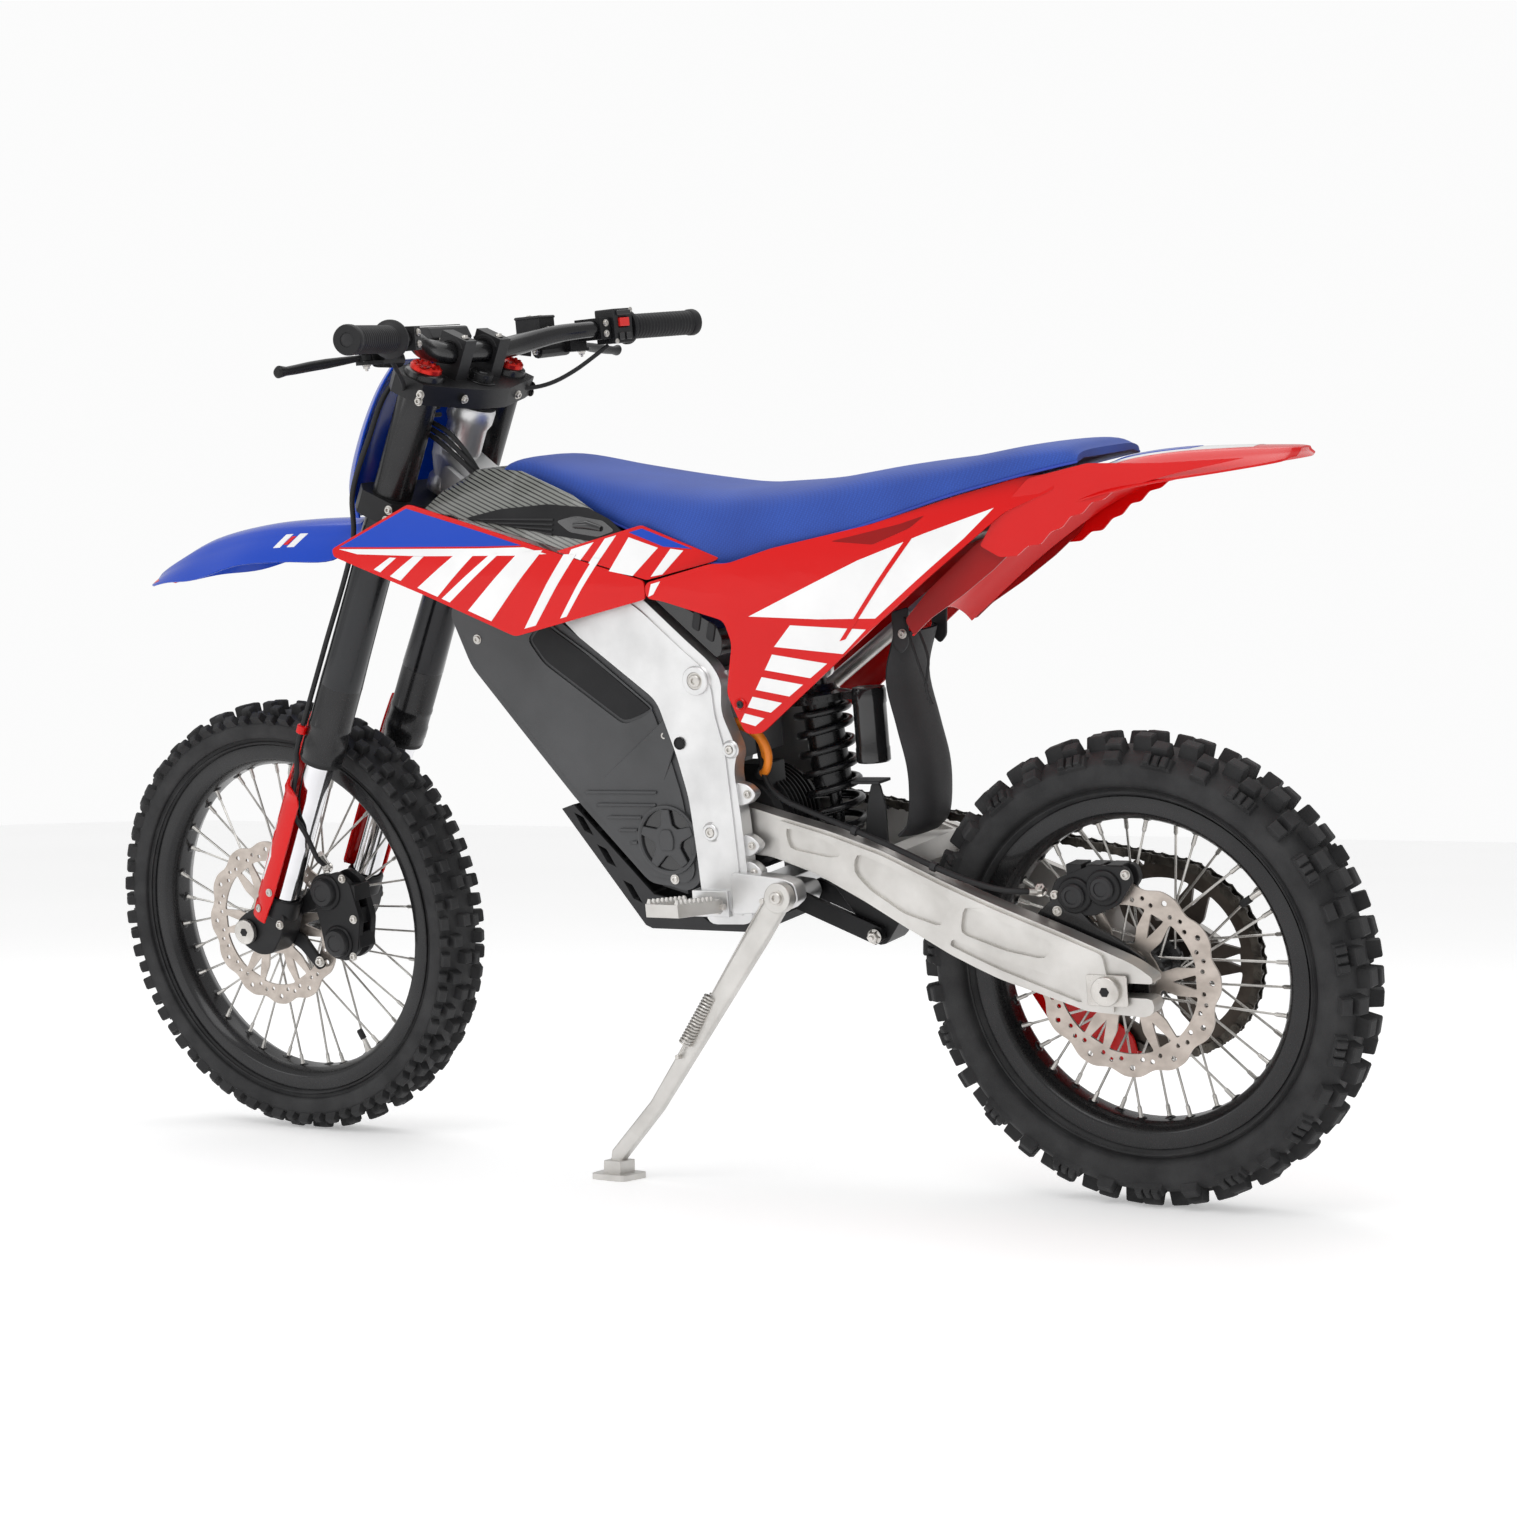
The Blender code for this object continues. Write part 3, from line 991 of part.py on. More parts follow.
def build_link_rod(body):
    bar = prism([(ROD_FRONT.y - 0.009, ROD_FRONT.z - 0.009), (ROD_REAR.y - 0.002, ROD_REAR.z - 0.012),
                 (ROD_REAR.y + 0.011, ROD_REAR.z - 0.004), (ROD_REAR.y + 0.008, ROD_REAR.z + 0.010),
                 (ROD_FRONT.y + 0.002, ROD_FRONT.z + 0.012), (ROD_FRONT.y - 0.009, ROD_FRONT.z + 0.007)],
                0.0285, 0.0365)
    part("link_rod", "black_metal", bar, body,
         join=[mirrored(bar), rod(ROD_FRONT - Vector((0.034, 0, 0)), ROD_FRONT + Vector((0.034, 0, 0)), 0.0090),
               rod(ROD_REAR - Vector((0.042, 0, 0)), ROD_REAR + Vector((0.042, 0, 0)), 0.0060)])


def build_hoses(fork_body, swing_body):
    route = [(-0.150, -0.266, 1.098), fork(-0.120, -0.014, 0.868), fork(-0.060, -0.020, 0.864),
             fork(0.000, -0.022, 0.860), fork(0.060, -0.022, 0.848), fork(0.098, -0.019, 0.810),
             fork(0.116, -0.012, 0.760), fork(0.127, -0.008, 0.680)]
    beside_leg = [(0.600, 0.0335, 38), (0.450, 0.0348, 38), (0.345, 0.0362, 38), (0.302, 0.0362, 38),
                  (0.286, 0.0350, 38), (0.272, 0.0312, 38), (0.258, 0.0278, 38), (0.235, 0.0272, 50),
                  (0.205, 0.0275, 88), (0.185, 0.0300, 135)]
    for s, distance, degrees in beside_leg:
        angle = math.radians(degrees)
        route.append(fork(LEG_X + distance * math.sin(angle), LEG_BACK - distance * math.cos(angle), s))
    route += [fork(0.097, 0.074, 0.150), (0.075, -0.540, 0.4105)]
    hose("front_hose", "rubber", route, 0.0035, fork_body)
    hose("rear_hose", "rubber",
         [(0.082, 0.226, 0.5125), (0.084, 0.255, 0.501), (0.088, 0.300, 0.486), (0.094, 0.380, 0.458),
          (0.097, 0.460, 0.426), (0.094, 0.520, 0.408), (0.082, 0.552, 0.403), (0.066, 0.5665, 0.400)],
         0.0035, swing_body)


# ---------------------------------------------------------------- whole machine
def make_pivots():
    """One empty on each joint's axis, in the order that the bodies hang from each other."""
    pivot("steering_turn", fork(0, STEER_BACK, 0.75), FORK_UP)
    pivot("fork_slide", fork(0, LEG_BACK, OUTER_FOOT_S), FORK_UP, "steering_turn")
    pivot("front_wheel_spin", FRONT_AXLE, (1, 0, 0), "fork_slide")
    pivot("throttle_twist", on_bar(0.059) * Vector((-1, 1, 1)),
          smooth_bar_direction() * Vector((-1, 1, 1)), "steering_turn")
    pivot("kill_button_press", on_bar(0.039) * Vector((-1, 1, 1)),
          (on_bar(0.039, 1.0) - on_bar(0.039)) * Vector((-1, 1, 1)), "steering_turn")
    pivot("left_lever_pull", LEVER_PIVOT, (0, 0, 1), "steering_turn")
    pivot("right_lever_pull", LEVER_PIVOT * Vector((-1, 1, 1)), (0, 0, -1), "steering_turn")
    pivot("swingarm_swing", SWING_PIVOT, (1, 0, 0))
    pivot("rear_wheel_spin", REAR_AXLE, (1, 0, 0), "swingarm_swing")
    pivot("motor_sprocket_spin", SWING_PIVOT, (1, 0, 0), "swingarm_swing")
    pivot("rocker_swing", ROCKER_PIVOT, (1, 0, 0), "swingarm_swing")
    pivot("link_rod_swing", ROD_FRONT, (1, 0, 0))
    pivot("shock_swing", SHOCK_TOP, (1, 0, 0))
    pivot("shock_slide", SHOCK_EYE, SHOCK_TOP - SHOCK_EYE, "shock_swing")
    pivot("kickstand_fold", STAND_PIVOT, STAND_AXIS)
    pivot("footpeg_left_fold", PEG_HINGE, (0, -1, 0))
    pivot("footpeg_right_fold", PEG_HINGE * Vector((-1, 1, 1)), (0, 1, 0))


def stand_on_ground():
    """Leans the machine and puts the origin under the middle of its box."""
    RIG.rotation_euler = (0, LEAN, 0)
    bpy.context.view_layer.update()
    graph = bpy.context.evaluated_depsgraph_get()
    low = Vector((1e9, 1e9, 1e9))
    high = -low
    for obj in bpy.data.objects:
        if obj.hide_render or obj.type == "EMPTY":
            continue
        evaluated = obj.evaluated_get(graph)
        mesh = evaluated.to_mesh()
        for vertex in mesh.vertices:
            place = obj.matrix_world @ vertex.co
            low = Vector(map(min, low, place))
            high = Vector(map(max, high, place))
        evaluated.to_mesh_clear()
    RIG.location = (-(low.x + high.x) / 2, -(low.y + high.y) / 2, 0)
    bpy.context.view_layer.update()


make_pivots()
build_frame()
build_subframe()
build_battery()
build_motor("motor_sprocket_spin")
build_seat()
build_bodywork()
build_peg(1, "left", "footpeg_left_fold")
build_peg(-1, "right", "footpeg_right_fold")
build_stand("kickstand_fold")
build_steering("steering_turn")
build_handlebar("steering_turn", "throttle_twist", "kill_button_press",
                {1: "left_lever_pull", -1: "right_lever_pull"})
build_front_bodywork("steering_turn")
build_fork_lower("fork_slide")
build_wheel("front", FRONT_AXLE, FRONT_TYRE, "front_wheel_spin", 1, 0.066)
build_swingarm("swingarm_swing")
build_chain("swingarm_swing")
build_wheel("rear", REAR_AXLE, REAR_TYRE, "rear_wheel_spin", 1, 0.076)
build_rear_sprocket("rear_wheel_spin")
build_suspension("shock_swing", "shock_slide", "rocker_swing", "link_rod_swing")
rocker_slot_fix()
build_link_rod("link_rod_swing")
build_hoses("fork_slide", "swingarm_swing")
stand_on_ground()
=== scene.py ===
"""Looks of the electric off-road motorcycle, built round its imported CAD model.

Everything is modelled upright in the bike's own frame: forward is -Y, the rider's left is +X,
up is +Z, and the origin is on the ground midway between the axles.  WORLD leans it onto its
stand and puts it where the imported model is.  Lengths are in metres, angles in radians unless
a name says degrees.
"""

import json
import math

import bmesh
import bpy
from mathutils import Matrix, Vector
from mathutils.geometry import tessellate_polygon
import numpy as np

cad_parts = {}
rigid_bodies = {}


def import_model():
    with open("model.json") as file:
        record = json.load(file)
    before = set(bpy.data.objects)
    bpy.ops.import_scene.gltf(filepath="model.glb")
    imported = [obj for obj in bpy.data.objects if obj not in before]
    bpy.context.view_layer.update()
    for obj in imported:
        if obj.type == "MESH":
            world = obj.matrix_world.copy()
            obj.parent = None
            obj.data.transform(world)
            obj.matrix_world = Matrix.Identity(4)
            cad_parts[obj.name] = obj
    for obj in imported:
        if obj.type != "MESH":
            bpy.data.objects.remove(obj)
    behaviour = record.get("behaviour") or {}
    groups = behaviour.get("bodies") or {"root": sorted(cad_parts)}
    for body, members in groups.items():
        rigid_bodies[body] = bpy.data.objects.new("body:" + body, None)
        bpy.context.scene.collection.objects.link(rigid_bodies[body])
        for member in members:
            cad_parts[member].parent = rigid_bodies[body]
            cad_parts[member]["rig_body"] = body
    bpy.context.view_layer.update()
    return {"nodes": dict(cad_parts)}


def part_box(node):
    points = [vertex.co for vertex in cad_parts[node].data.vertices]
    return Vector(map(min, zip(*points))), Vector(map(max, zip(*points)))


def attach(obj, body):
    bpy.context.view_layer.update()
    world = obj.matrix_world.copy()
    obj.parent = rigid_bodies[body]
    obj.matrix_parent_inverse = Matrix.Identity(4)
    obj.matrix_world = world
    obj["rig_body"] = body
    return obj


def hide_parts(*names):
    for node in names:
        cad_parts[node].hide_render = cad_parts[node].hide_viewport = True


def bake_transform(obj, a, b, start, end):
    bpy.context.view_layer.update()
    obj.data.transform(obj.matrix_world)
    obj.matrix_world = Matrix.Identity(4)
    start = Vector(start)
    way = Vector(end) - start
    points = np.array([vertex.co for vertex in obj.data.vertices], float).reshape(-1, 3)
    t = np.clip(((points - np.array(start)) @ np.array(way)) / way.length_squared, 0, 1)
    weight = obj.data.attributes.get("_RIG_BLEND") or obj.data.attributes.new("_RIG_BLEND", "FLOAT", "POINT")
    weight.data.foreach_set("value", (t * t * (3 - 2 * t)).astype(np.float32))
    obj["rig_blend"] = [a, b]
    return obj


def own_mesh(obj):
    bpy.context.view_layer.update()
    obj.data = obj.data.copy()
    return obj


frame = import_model()

# ---------------------------------------------------------------- driving dimensions
LEAN = 0.161
WHEELBASE = 1.336
RAKE = 0.4485
FRONT_TYRE = {"radius": 0.3175, "half_width": 0.041, "bead": 0.246, "tread": 0.014}
REAR_TYRE = {"radius": 0.292, "half_width": 0.0465, "bead": 0.207, "tread": 0.0165}
RIM_HALF_WIDTH = 0.03
SPOKES = 36
ROUND = 96
DISC_RADIUS = 0.12
DISC_X = 0.057
CHAIN_X = -0.064
CHAIN_PITCH = 0.015875
REAR_TEETH = 48
MOTOR_TEETH = 13
LEG_X = 0.0913
LEG_BACK = 0.03
STEER_BACK = 0.055
TUBE_RADIUS = 0.0205
OUTER_TOP_RADIUS = 0.027
OUTER_FOOT_S = 0.2866
OUTER_TOP_S = 0.868
SPAR_X = 0.118
SWING_PIVOT = Vector((0, 0.145, 0.478))
SHOCK_TOP = Vector((0, 0.24, 0.665))
SHOCK_EYE = Vector((0, 0.262, 0.405))
ROCKER_PIVOT = Vector((0, 0.362, 0.388))
ROD_REAR = Vector((0, 0.318, 0.33))
ROD_FRONT = Vector((0, 0.198, 0.376))
BAR_CENTRE = Vector((0, -0.255, 1.106))
BAR_BEND_END = Vector((0.205, -0.196, 1.125))
BAR_END = Vector((0.386, -0.148, 1.126))
LEVER_PIVOT = Vector((0.24, -0.243, 1.106))
STAND_PIVOT = Vector((0.137, 0.243, 0.398))
STAND_FOOT_WORLD = Vector((0.185, -0.009, 0.0))
PEG_HINGE = Vector((0.137, 0.13, 0.384))
PAINT_LIFT = 0.0005
FILM_DEPTH = 0.0012

ALONG_X = Vector((1, 0, 0))
TURN = Matrix.Rotation(LEAN, 4, "Y")


def axle_centre(y, node):
    """The wheel's centre in the bike's frame, as high up the lean as its packed rim's centre."""
    low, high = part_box(node)
    across = (low + high) / 2
    return Vector((0, y, across.z / math.cos(LEAN)))


FRONT_AXLE = axle_centre(-WHEELBASE / 2, "front_rim")
REAR_AXLE = axle_centre(WHEELBASE / 2, "rear_rim")
rim_low, rim_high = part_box("rear_rim")
WORLD = Matrix.Translation((rim_low + rim_high) / 2 - TURN @ REAR_AXLE) @ TURN
FORK_UP = Vector((0, math.sin(RAKE), math.cos(RAKE)))
FORK_BACK = Vector((0, math.cos(RAKE), -math.sin(RAKE)))


# ---------------------------------------------------------------- solids: (vertices, faces)
def extrude(outline, along):
    """A flat outline of 3D points pushed along a vector."""
    count = len(outline)
    along = Vector(along)
    verts = [Vector(p) for p in outline] + [Vector(p) + along for p in outline]
    faces = [list(range(count)), [count + i for i in range(count)]]
    faces += [[i, (i + 1) % count, count + (i + 1) % count, count + i] for i in range(count)]
    return verts, faces


def prism(outline, x0, x1):
    """A side-view outline of (y, z) points pushed from x0 to x1."""
    return extrude([(x0, y, z) for y, z in outline], (x1 - x0, 0, 0))


def box(low, high):
    corners = [(low[1], low[2]), (high[1], low[2]), (high[1], high[2]), (low[1], high[2])]
    return prism(corners, low[0], high[0])


def plate(outline, holes, x0, x1):
    """A side-view outline with openings, from x0 to x1."""
    loops = [list(outline)] + [list(hole) for hole in holes]
    flat = [p for loop in loops for p in loop]
    triangles = tessellate_polygon([[Vector((0, y, z)) for y, z in loop] for loop in loops])
    count = len(flat)
    verts = [Vector((x, y, z)) for x in (x0, x1) for y, z in flat]
    faces = [list(t) for t in triangles] + [[i + count for i in t] for t in triangles]
    start = 0
    for loop in loops:
        for k in range(len(loop)):
            a, b = start + k, start + (k + 1) % len(loop)
            faces.append([a, b, b + count, a + count])
        start += len(loop)
    return verts, faces


def lathe(profile, centre, axis, segments=32, ring=False, phase=0.0):
    """A profile of (radius, distance along the axis) points turned about the axis."""
    axis = Vector(axis).normalized()
    side = axis.cross(Vector((0, 0, 1)) if abs(axis.z) < 0.9 else Vector((0, 1, 0))).normalized()
    up = axis.cross(side)
    centre = Vector(centre)
    verts = []
    for i in range(segments):
        angle = 2 * math.pi * i / segments + phase
        outward = side * math.cos(angle) + up * math.sin(angle)
        verts += [centre + axis * h + outward * r for r, h in profile]
    size = len(profile)
    faces = []
    for i in range(segments):
        here = i * size
        there = (i + 1) % segments * size
        for k in range(size if ring else size - 1):
            n = (k + 1) % size
            faces.append([here + k, here + n, there + n, there + k])
    if not ring:
        faces.append([i * size for i in range(segments)])
        faces.append([i * size + size - 1 for i in range(segments)])
    return verts, faces


def rod(start, end, radius, sides=24):
    """A round bar with its end edges broken."""
    start = Vector(start)
    axis = Vector(end) - start
    edge = min(radius * 0.15, axis.length * 0.2)
    profile = [(radius - edge, 0), (radius, edge), (radius, axis.length - edge),
               (radius - edge, axis.length)]
    return lathe(profile, start, axis, sides)


def sweep(path, radii, sides=12, flatten=1.0):
    """A round or oval bar along a path; radii is one radius or one for each point."""
    path = [Vector(p) for p in path]
    if isinstance(radii, float):
        radii = [radii] * len(path)
    verts = []
    side = None
    for i, point in enumerate(path):
        ahead = (path[min(i + 1, len(path) - 1)] - path[max(i - 1, 0)]).normalized()
        if side is None:
            side = ahead.orthogonal().normalized()
        side = (side - ahead * side.dot(ahead)).normalized()
        up = ahead.cross(side)
        for k in range(sides):
            angle = 2 * math.pi * k / sides
            verts.append(point + (side * math.cos(angle) + up * math.sin(angle) * flatten) * radii[i])
    faces = []
    for i in range(len(path) - 1):
        for k in range(sides):
            n = (k + 1) % sides
            faces.append([i * sides + k, i * sides + n, (i + 1) * sides + n, (i + 1) * sides + k])
    faces.append(list(range(sides)))
    faces.append([(len(path) - 1) * sides + k for k in range(sides)])
    return verts, faces


def skin(rows, closed_rows=False):
    """Faces between neighbouring rows of points; rows may close on themselves."""
    width = len(rows[0])
    faces = []
    for i in range(len(rows) - 1):
        for k in range(width if closed_rows else width - 1):
            n = (k + 1) % width
            faces.append([i * width + k, i * width + n, (i + 1) * width + n, (i + 1) * width + k])
    return faces


def loft(rows):
    """A closed solid through rows that are each a closed section."""
    width = len(rows[0])
    verts = [Vector(p) for row in rows for p in row]
    faces = skin(rows, closed_rows=True)
    faces.append(list(range(width)))
    faces.append([(len(rows) - 1) * width + k for k in range(width)])
    return verts, faces


def shell(rows, thickness):
    """An open sheet of rows of points given a thickness on the side away from its normals."""
    width = len(rows[0])
    height = len(rows)
    outer = []
    inner = []
    for i in range(height):
        for k in range(width):
            down = rows[min(i + 1, height - 1)][k] - rows[max(i - 1, 0)][k]
            across = rows[i][min(k + 1, width - 1)] - rows[i][max(k - 1, 0)]
            outer.append(rows[i][k])
            inner.append(rows[i][k] - down.cross(across).normalized() * thickness)
    count = width * height
    faces = skin(rows)
    faces += [[i + count for i in reversed(face)] for face in skin(rows)]
    border = [k for k in range(width)]
    border += [i * width + width - 1 for i in range(1, height)]
    border += [(height - 1) * width + k for k in range(width - 2, -1, -1)]
    border += [i * width for i in range(height - 2, 0, -1)]
    for a, b in zip(border, border[1:] + border[:1]):
        faces.append([a, b, b + count, a + count])
    return outer + inner, faces


def draped(outline, place, step=0.02, lift=0.0, thickness=0.003, holes=()):
    """A flat outline, cut into a grid and laid on the surface place(u, v, height)."""
    loops = [[Vector((u, v, 0)) for u, v in loop] for loop in (outline, *holes)]
    work = bmesh.new()
    corners = [work.verts.new(p) for loop in loops for p in loop]
    for triangle in tessellate_polygon(loops):
        work.faces.new([corners[i] for i in triangle])
    for axis in (0, 1):
        low = min(p[axis] for p in loops[0])
        high = max(p[axis] for p in loops[0])
        normal = Vector((1, 0, 0)) if axis == 0 else Vector((0, 1, 0))
        size = step if isinstance(step, float) else step[axis]
        cuts = int((high - low) / size)
        for k in range(1, cuts + 1):
            everything = work.verts[:] + work.edges[:] + work.faces[:]
            at = normal * (low + (high - low) * k / (cuts + 1))
            bmesh.ops.bisect_plane(work, geom=everything, dist=1e-7, plane_co=at, plane_no=normal)
    work.verts.index_update()
    flat = [(v.co.x, v.co.y) for v in work.verts]
    faces = [[v.index for v in face.verts] for face in work.faces]
    rim = [[v.index for v in edge.verts] for edge in work.edges if edge.is_boundary]
    work.free()
    count = len(flat)
    verts = [place(u, v, lift) for u, v in flat] + [place(u, v, lift - thickness) for u, v in flat]
    faces += [[i + count for i in reversed(face)] for face in faces]
    faces += [[a, b, b + count, a + count] for a, b in rim]
    return verts, faces


def mirrored(solid):
    verts, faces = solid
    return [Vector((-v.x, v.y, v.z)) for v in verts], [list(reversed(face)) for face in faces]


def together(*solids):
    verts = []
    faces = []
    for solid in solids:
        start = len(verts)
        verts += solid[0]
        faces += [[start + i for i in face] for face in solid[1]]
    return verts, faces


def both(solid):
    return together(solid, mirrored(solid))


def on_side(side, solid):
    return solid if side > 0 else mirrored(solid)


def mix(a, b, t):
    return a + (b - a) * min(max(t, 0.0), 1.0)


def soft_step(t):
    t = min(max(t, 0.0), 1.0)
    return t * t * (3 - 2 * t)


def spline(values, t):
    """A smooth value through the given ones; t runs from 0 to the last index."""
    last = len(values) - 1
    i = max(0, min(int(t), last - 1))
    f = t - i
    b, c = values[i], values[i + 1]
    a = values[i - 1] if i > 0 else b + (b - c)
    d = values[i + 2] if i + 2 <= last else c + (c - b)
    return 0.5 * (2 * b + (c - a) * f + (2 * a - 5 * b + 4 * c - d) * f * f
                  + (3 * b - a - 3 * c + d) * f ** 3)


def smooth(points, per=4):
    """More points on a smooth curve through the given ones."""
    points = [Vector(p) for p in points]
    count = (len(points) - 1) * per
    return [spline(points, k / per) for k in range(count + 1)]


def route(points, step):
    """Points about step apart on a smooth curve through the given ones."""
    points = [Vector(p) for p in points]
    made = [points[0]]
    for i in range(len(points) - 1):
        count = max(1, round((points[i + 1] - points[i]).length / step))
        made += [spline(points, i + k / count) for k in range(1, count + 1)]
    return made


def arc(centre, radius, start, end, steps):
    """Points of a circular arc in a side view, angles in degrees."""
    points = []
    for i in range(steps + 1):
        angle = math.radians(start + (end - start) * i / steps)
        points.append((centre[0] + radius * math.cos(angle), centre[1] + radius * math.sin(angle)))
    return points


def circle(centre, radius, steps=16):
    return arc(centre, radius, 0, 360 * (steps - 1) / steps, steps - 1)


def inset(outline, distance):
    """The outline with every edge moved inwards."""
    area = sum(a[0] * b[1] - b[0] * a[1] for a, b in zip(outline, outline[1:] + outline[:1]))
    sign = 1 if area > 0 else -1
    made = []
    for i, here in enumerate(outline):
        before = Vector(outline[i - 1])
        after = Vector(outline[(i + 1) % len(outline)])
        here = Vector(here)
        first = (here - before).normalized()
        second = (after - here).normalized()
        normal = Vector((-first.y - second.y, first.x + second.x)) * sign
        if normal.length < 1e-6:
            normal = Vector((-first.y, first.x)) * sign
        normal.normalize()
        reach = distance / max(0.35, normal.dot(Vector((-first.y, first.x)) * sign))
        made.append(tuple(here + normal * reach))
    return made


def rounded(outline, radius, steps=4):
    """The outline with its corners rounded off."""
    made = []
    for i, here in enumerate(outline):
        here = Vector(here)
        to_last = Vector(outline[i - 1]) - here
        to_next = Vector(outline[(i + 1) % len(outline)]) - here
        reach = min(radius, to_last.length * 0.45, to_next.length * 0.45)
        start = here + to_last.normalized() * reach
        end = here + to_next.normalized() * reach
        for k in range(steps + 1):
            t = k / steps
            made.append(tuple(start * (1 - t) ** 2 + here * 2 * t * (1 - t) + end * t * t))
    return made


def fork(x, back, s):
    """A point by its side offset, its distance behind the front axle and up the fork."""
    return FRONT_AXLE + Vector((x, 0, 0)) + FORK_BACK * back + FORK_UP * s


# ---------------------------------------------------------------- materials
def texture_node(tree, kind, coords, **values):
    node = tree.nodes.new(kind)
    tree.links.new(coords, node.inputs["Vector"])
    for key, value in values.items():
        node.inputs[key].default_value = value
    return node


def placed(tree, stretch=(1, 1, 1), turn=(0, 0, 0)):
    coords = tree.nodes.new("ShaderNodeTexCoord")
    mapping = tree.nodes.new("ShaderNodeMapping")
    mapping.inputs["Scale"].default_value = stretch
    mapping.inputs["Rotation"].default_value = turn
    tree.links.new(coords.outputs["Object"], mapping.inputs["Vector"])
    return mapping.outputs["Vector"]


def ramp(tree, value, stops):
    node = tree.nodes.new("ShaderNodeValToRGB")
    tree.links.new(value, node.inputs["Fac"])
    elements = node.color_ramp.elements
    while len(elements) < len(stops):
        elements.new(0.5)
    for element, (position, colour) in zip(elements, stops):
        element.position = position
        element.color = (*colour, 1.0)
    return node.outputs["Color"]


def ranged(tree, value, low, high):
    node = tree.nodes.new("ShaderNodeMapRange")
    tree.links.new(value, node.inputs["Value"])
    node.inputs["From Min"].default_value = 0.25
    node.inputs["From Max"].default_value = 0.75
    node.inputs["To Min"].default_value = low
    node.inputs["To Max"].default_value = high
    return node.outputs["Result"]


def blended(tree, share, first, second, kind="MIX"):
    node = tree.nodes.new("ShaderNodeMix")
    node.data_type = "RGBA"
    node.blend_type = kind
    if isinstance(share, float):
        node.inputs["Factor"].default_value = share
    else:
        tree.links.new(share, node.inputs["Factor"])
    tree.links.new(first, node.inputs[6])
    tree.links.new(second, node.inputs[7])
    return node.outputs[2]


def raised(tree, shader, height, strength, depth, under=None):
    node = tree.nodes.new("ShaderNodeBump")
    node.inputs["Strength"].default_value = strength
    node.inputs["Distance"].default_value = depth
    tree.links.new(height, node.inputs["Height"])
    if under is not None:
        tree.links.new(under, node.inputs["Normal"])
    tree.links.new(node.outputs["Normal"], shader.inputs["Normal"])
    return node.outputs["Normal"]


def material(name, dark, light, rough, metal=0.0, mottle=9.0, grain=600.0, bump=0.15, depth=0.0004,
             spread=0.07, coat=0.0, stretch=(1, 1, 1), specular=0.5):
    """Cloudy colour between two shades, with roughness and relief from a fine grain."""
    made = bpy.data.materials.new(name)
    made.use_nodes = True
    tree = made.node_tree
    shader = tree.nodes["Principled BSDF"]
    shader.inputs["Metallic"].default_value = metal
    shader.inputs["Coat Weight"].default_value = coat
    shader.inputs["Coat Roughness"].default_value = 0.06
    shader.inputs["Specular IOR Level"].default_value = specular
    coords = placed(tree, stretch)
    clouds = texture_node(tree, "ShaderNodeTexNoise", coords, Scale=mottle, Detail=5.0)
    tree.links.new(ramp(tree, clouds.outputs["Fac"], ((0.34, dark), (0.66, light))),
                   shader.inputs["Base Color"])
    fine = texture_node(tree, "ShaderNodeTexNoise", coords, Scale=grain, Detail=3.0)
    tree.links.new(ranged(tree, fine.outputs["Fac"], rough - spread, rough + spread),
                   shader.inputs["Roughness"])
    raised(tree, shader, fine.outputs["Fac"], bump, depth)
    return made


def shade(colour, factor):
    return tuple(min(1.0, c * factor) for c in colour)


def seat_cover():
    """Blue cover with a fine raised dot grid and slow variation of its shade."""
    made = material("seat_cover", (0.01, 0.058, 0.36), (0.016, 0.078, 0.44), 0.66, grain=900.0, bump=0.1)
    tree = made.node_tree
    shader = tree.nodes["Principled BSDF"]
    shader.inputs["Sheen Weight"].default_value = 0.08
    shader.inputs["Sheen Roughness"].default_value = 0.45
    dots = texture_node(tree, "ShaderNodeTexVoronoi", placed(tree, turn=(0.35, 0.2, 0.6)), Scale=380.0,
                        Randomness=0.12)
    colour = shader.inputs["Base Color"].links[0].from_socket
    darker = ramp(tree, dots.outputs["Distance"], ((0.15, (1, 1, 1)), (0.75, (0.62, 0.62, 0.66))))
    tree.links.new(blended(tree, 1.0, colour, darker, "MULTIPLY"), shader.inputs["Base Color"])
    raised(tree, shader, dots.outputs["Distance"], -0.6, 0.0009)
    return made


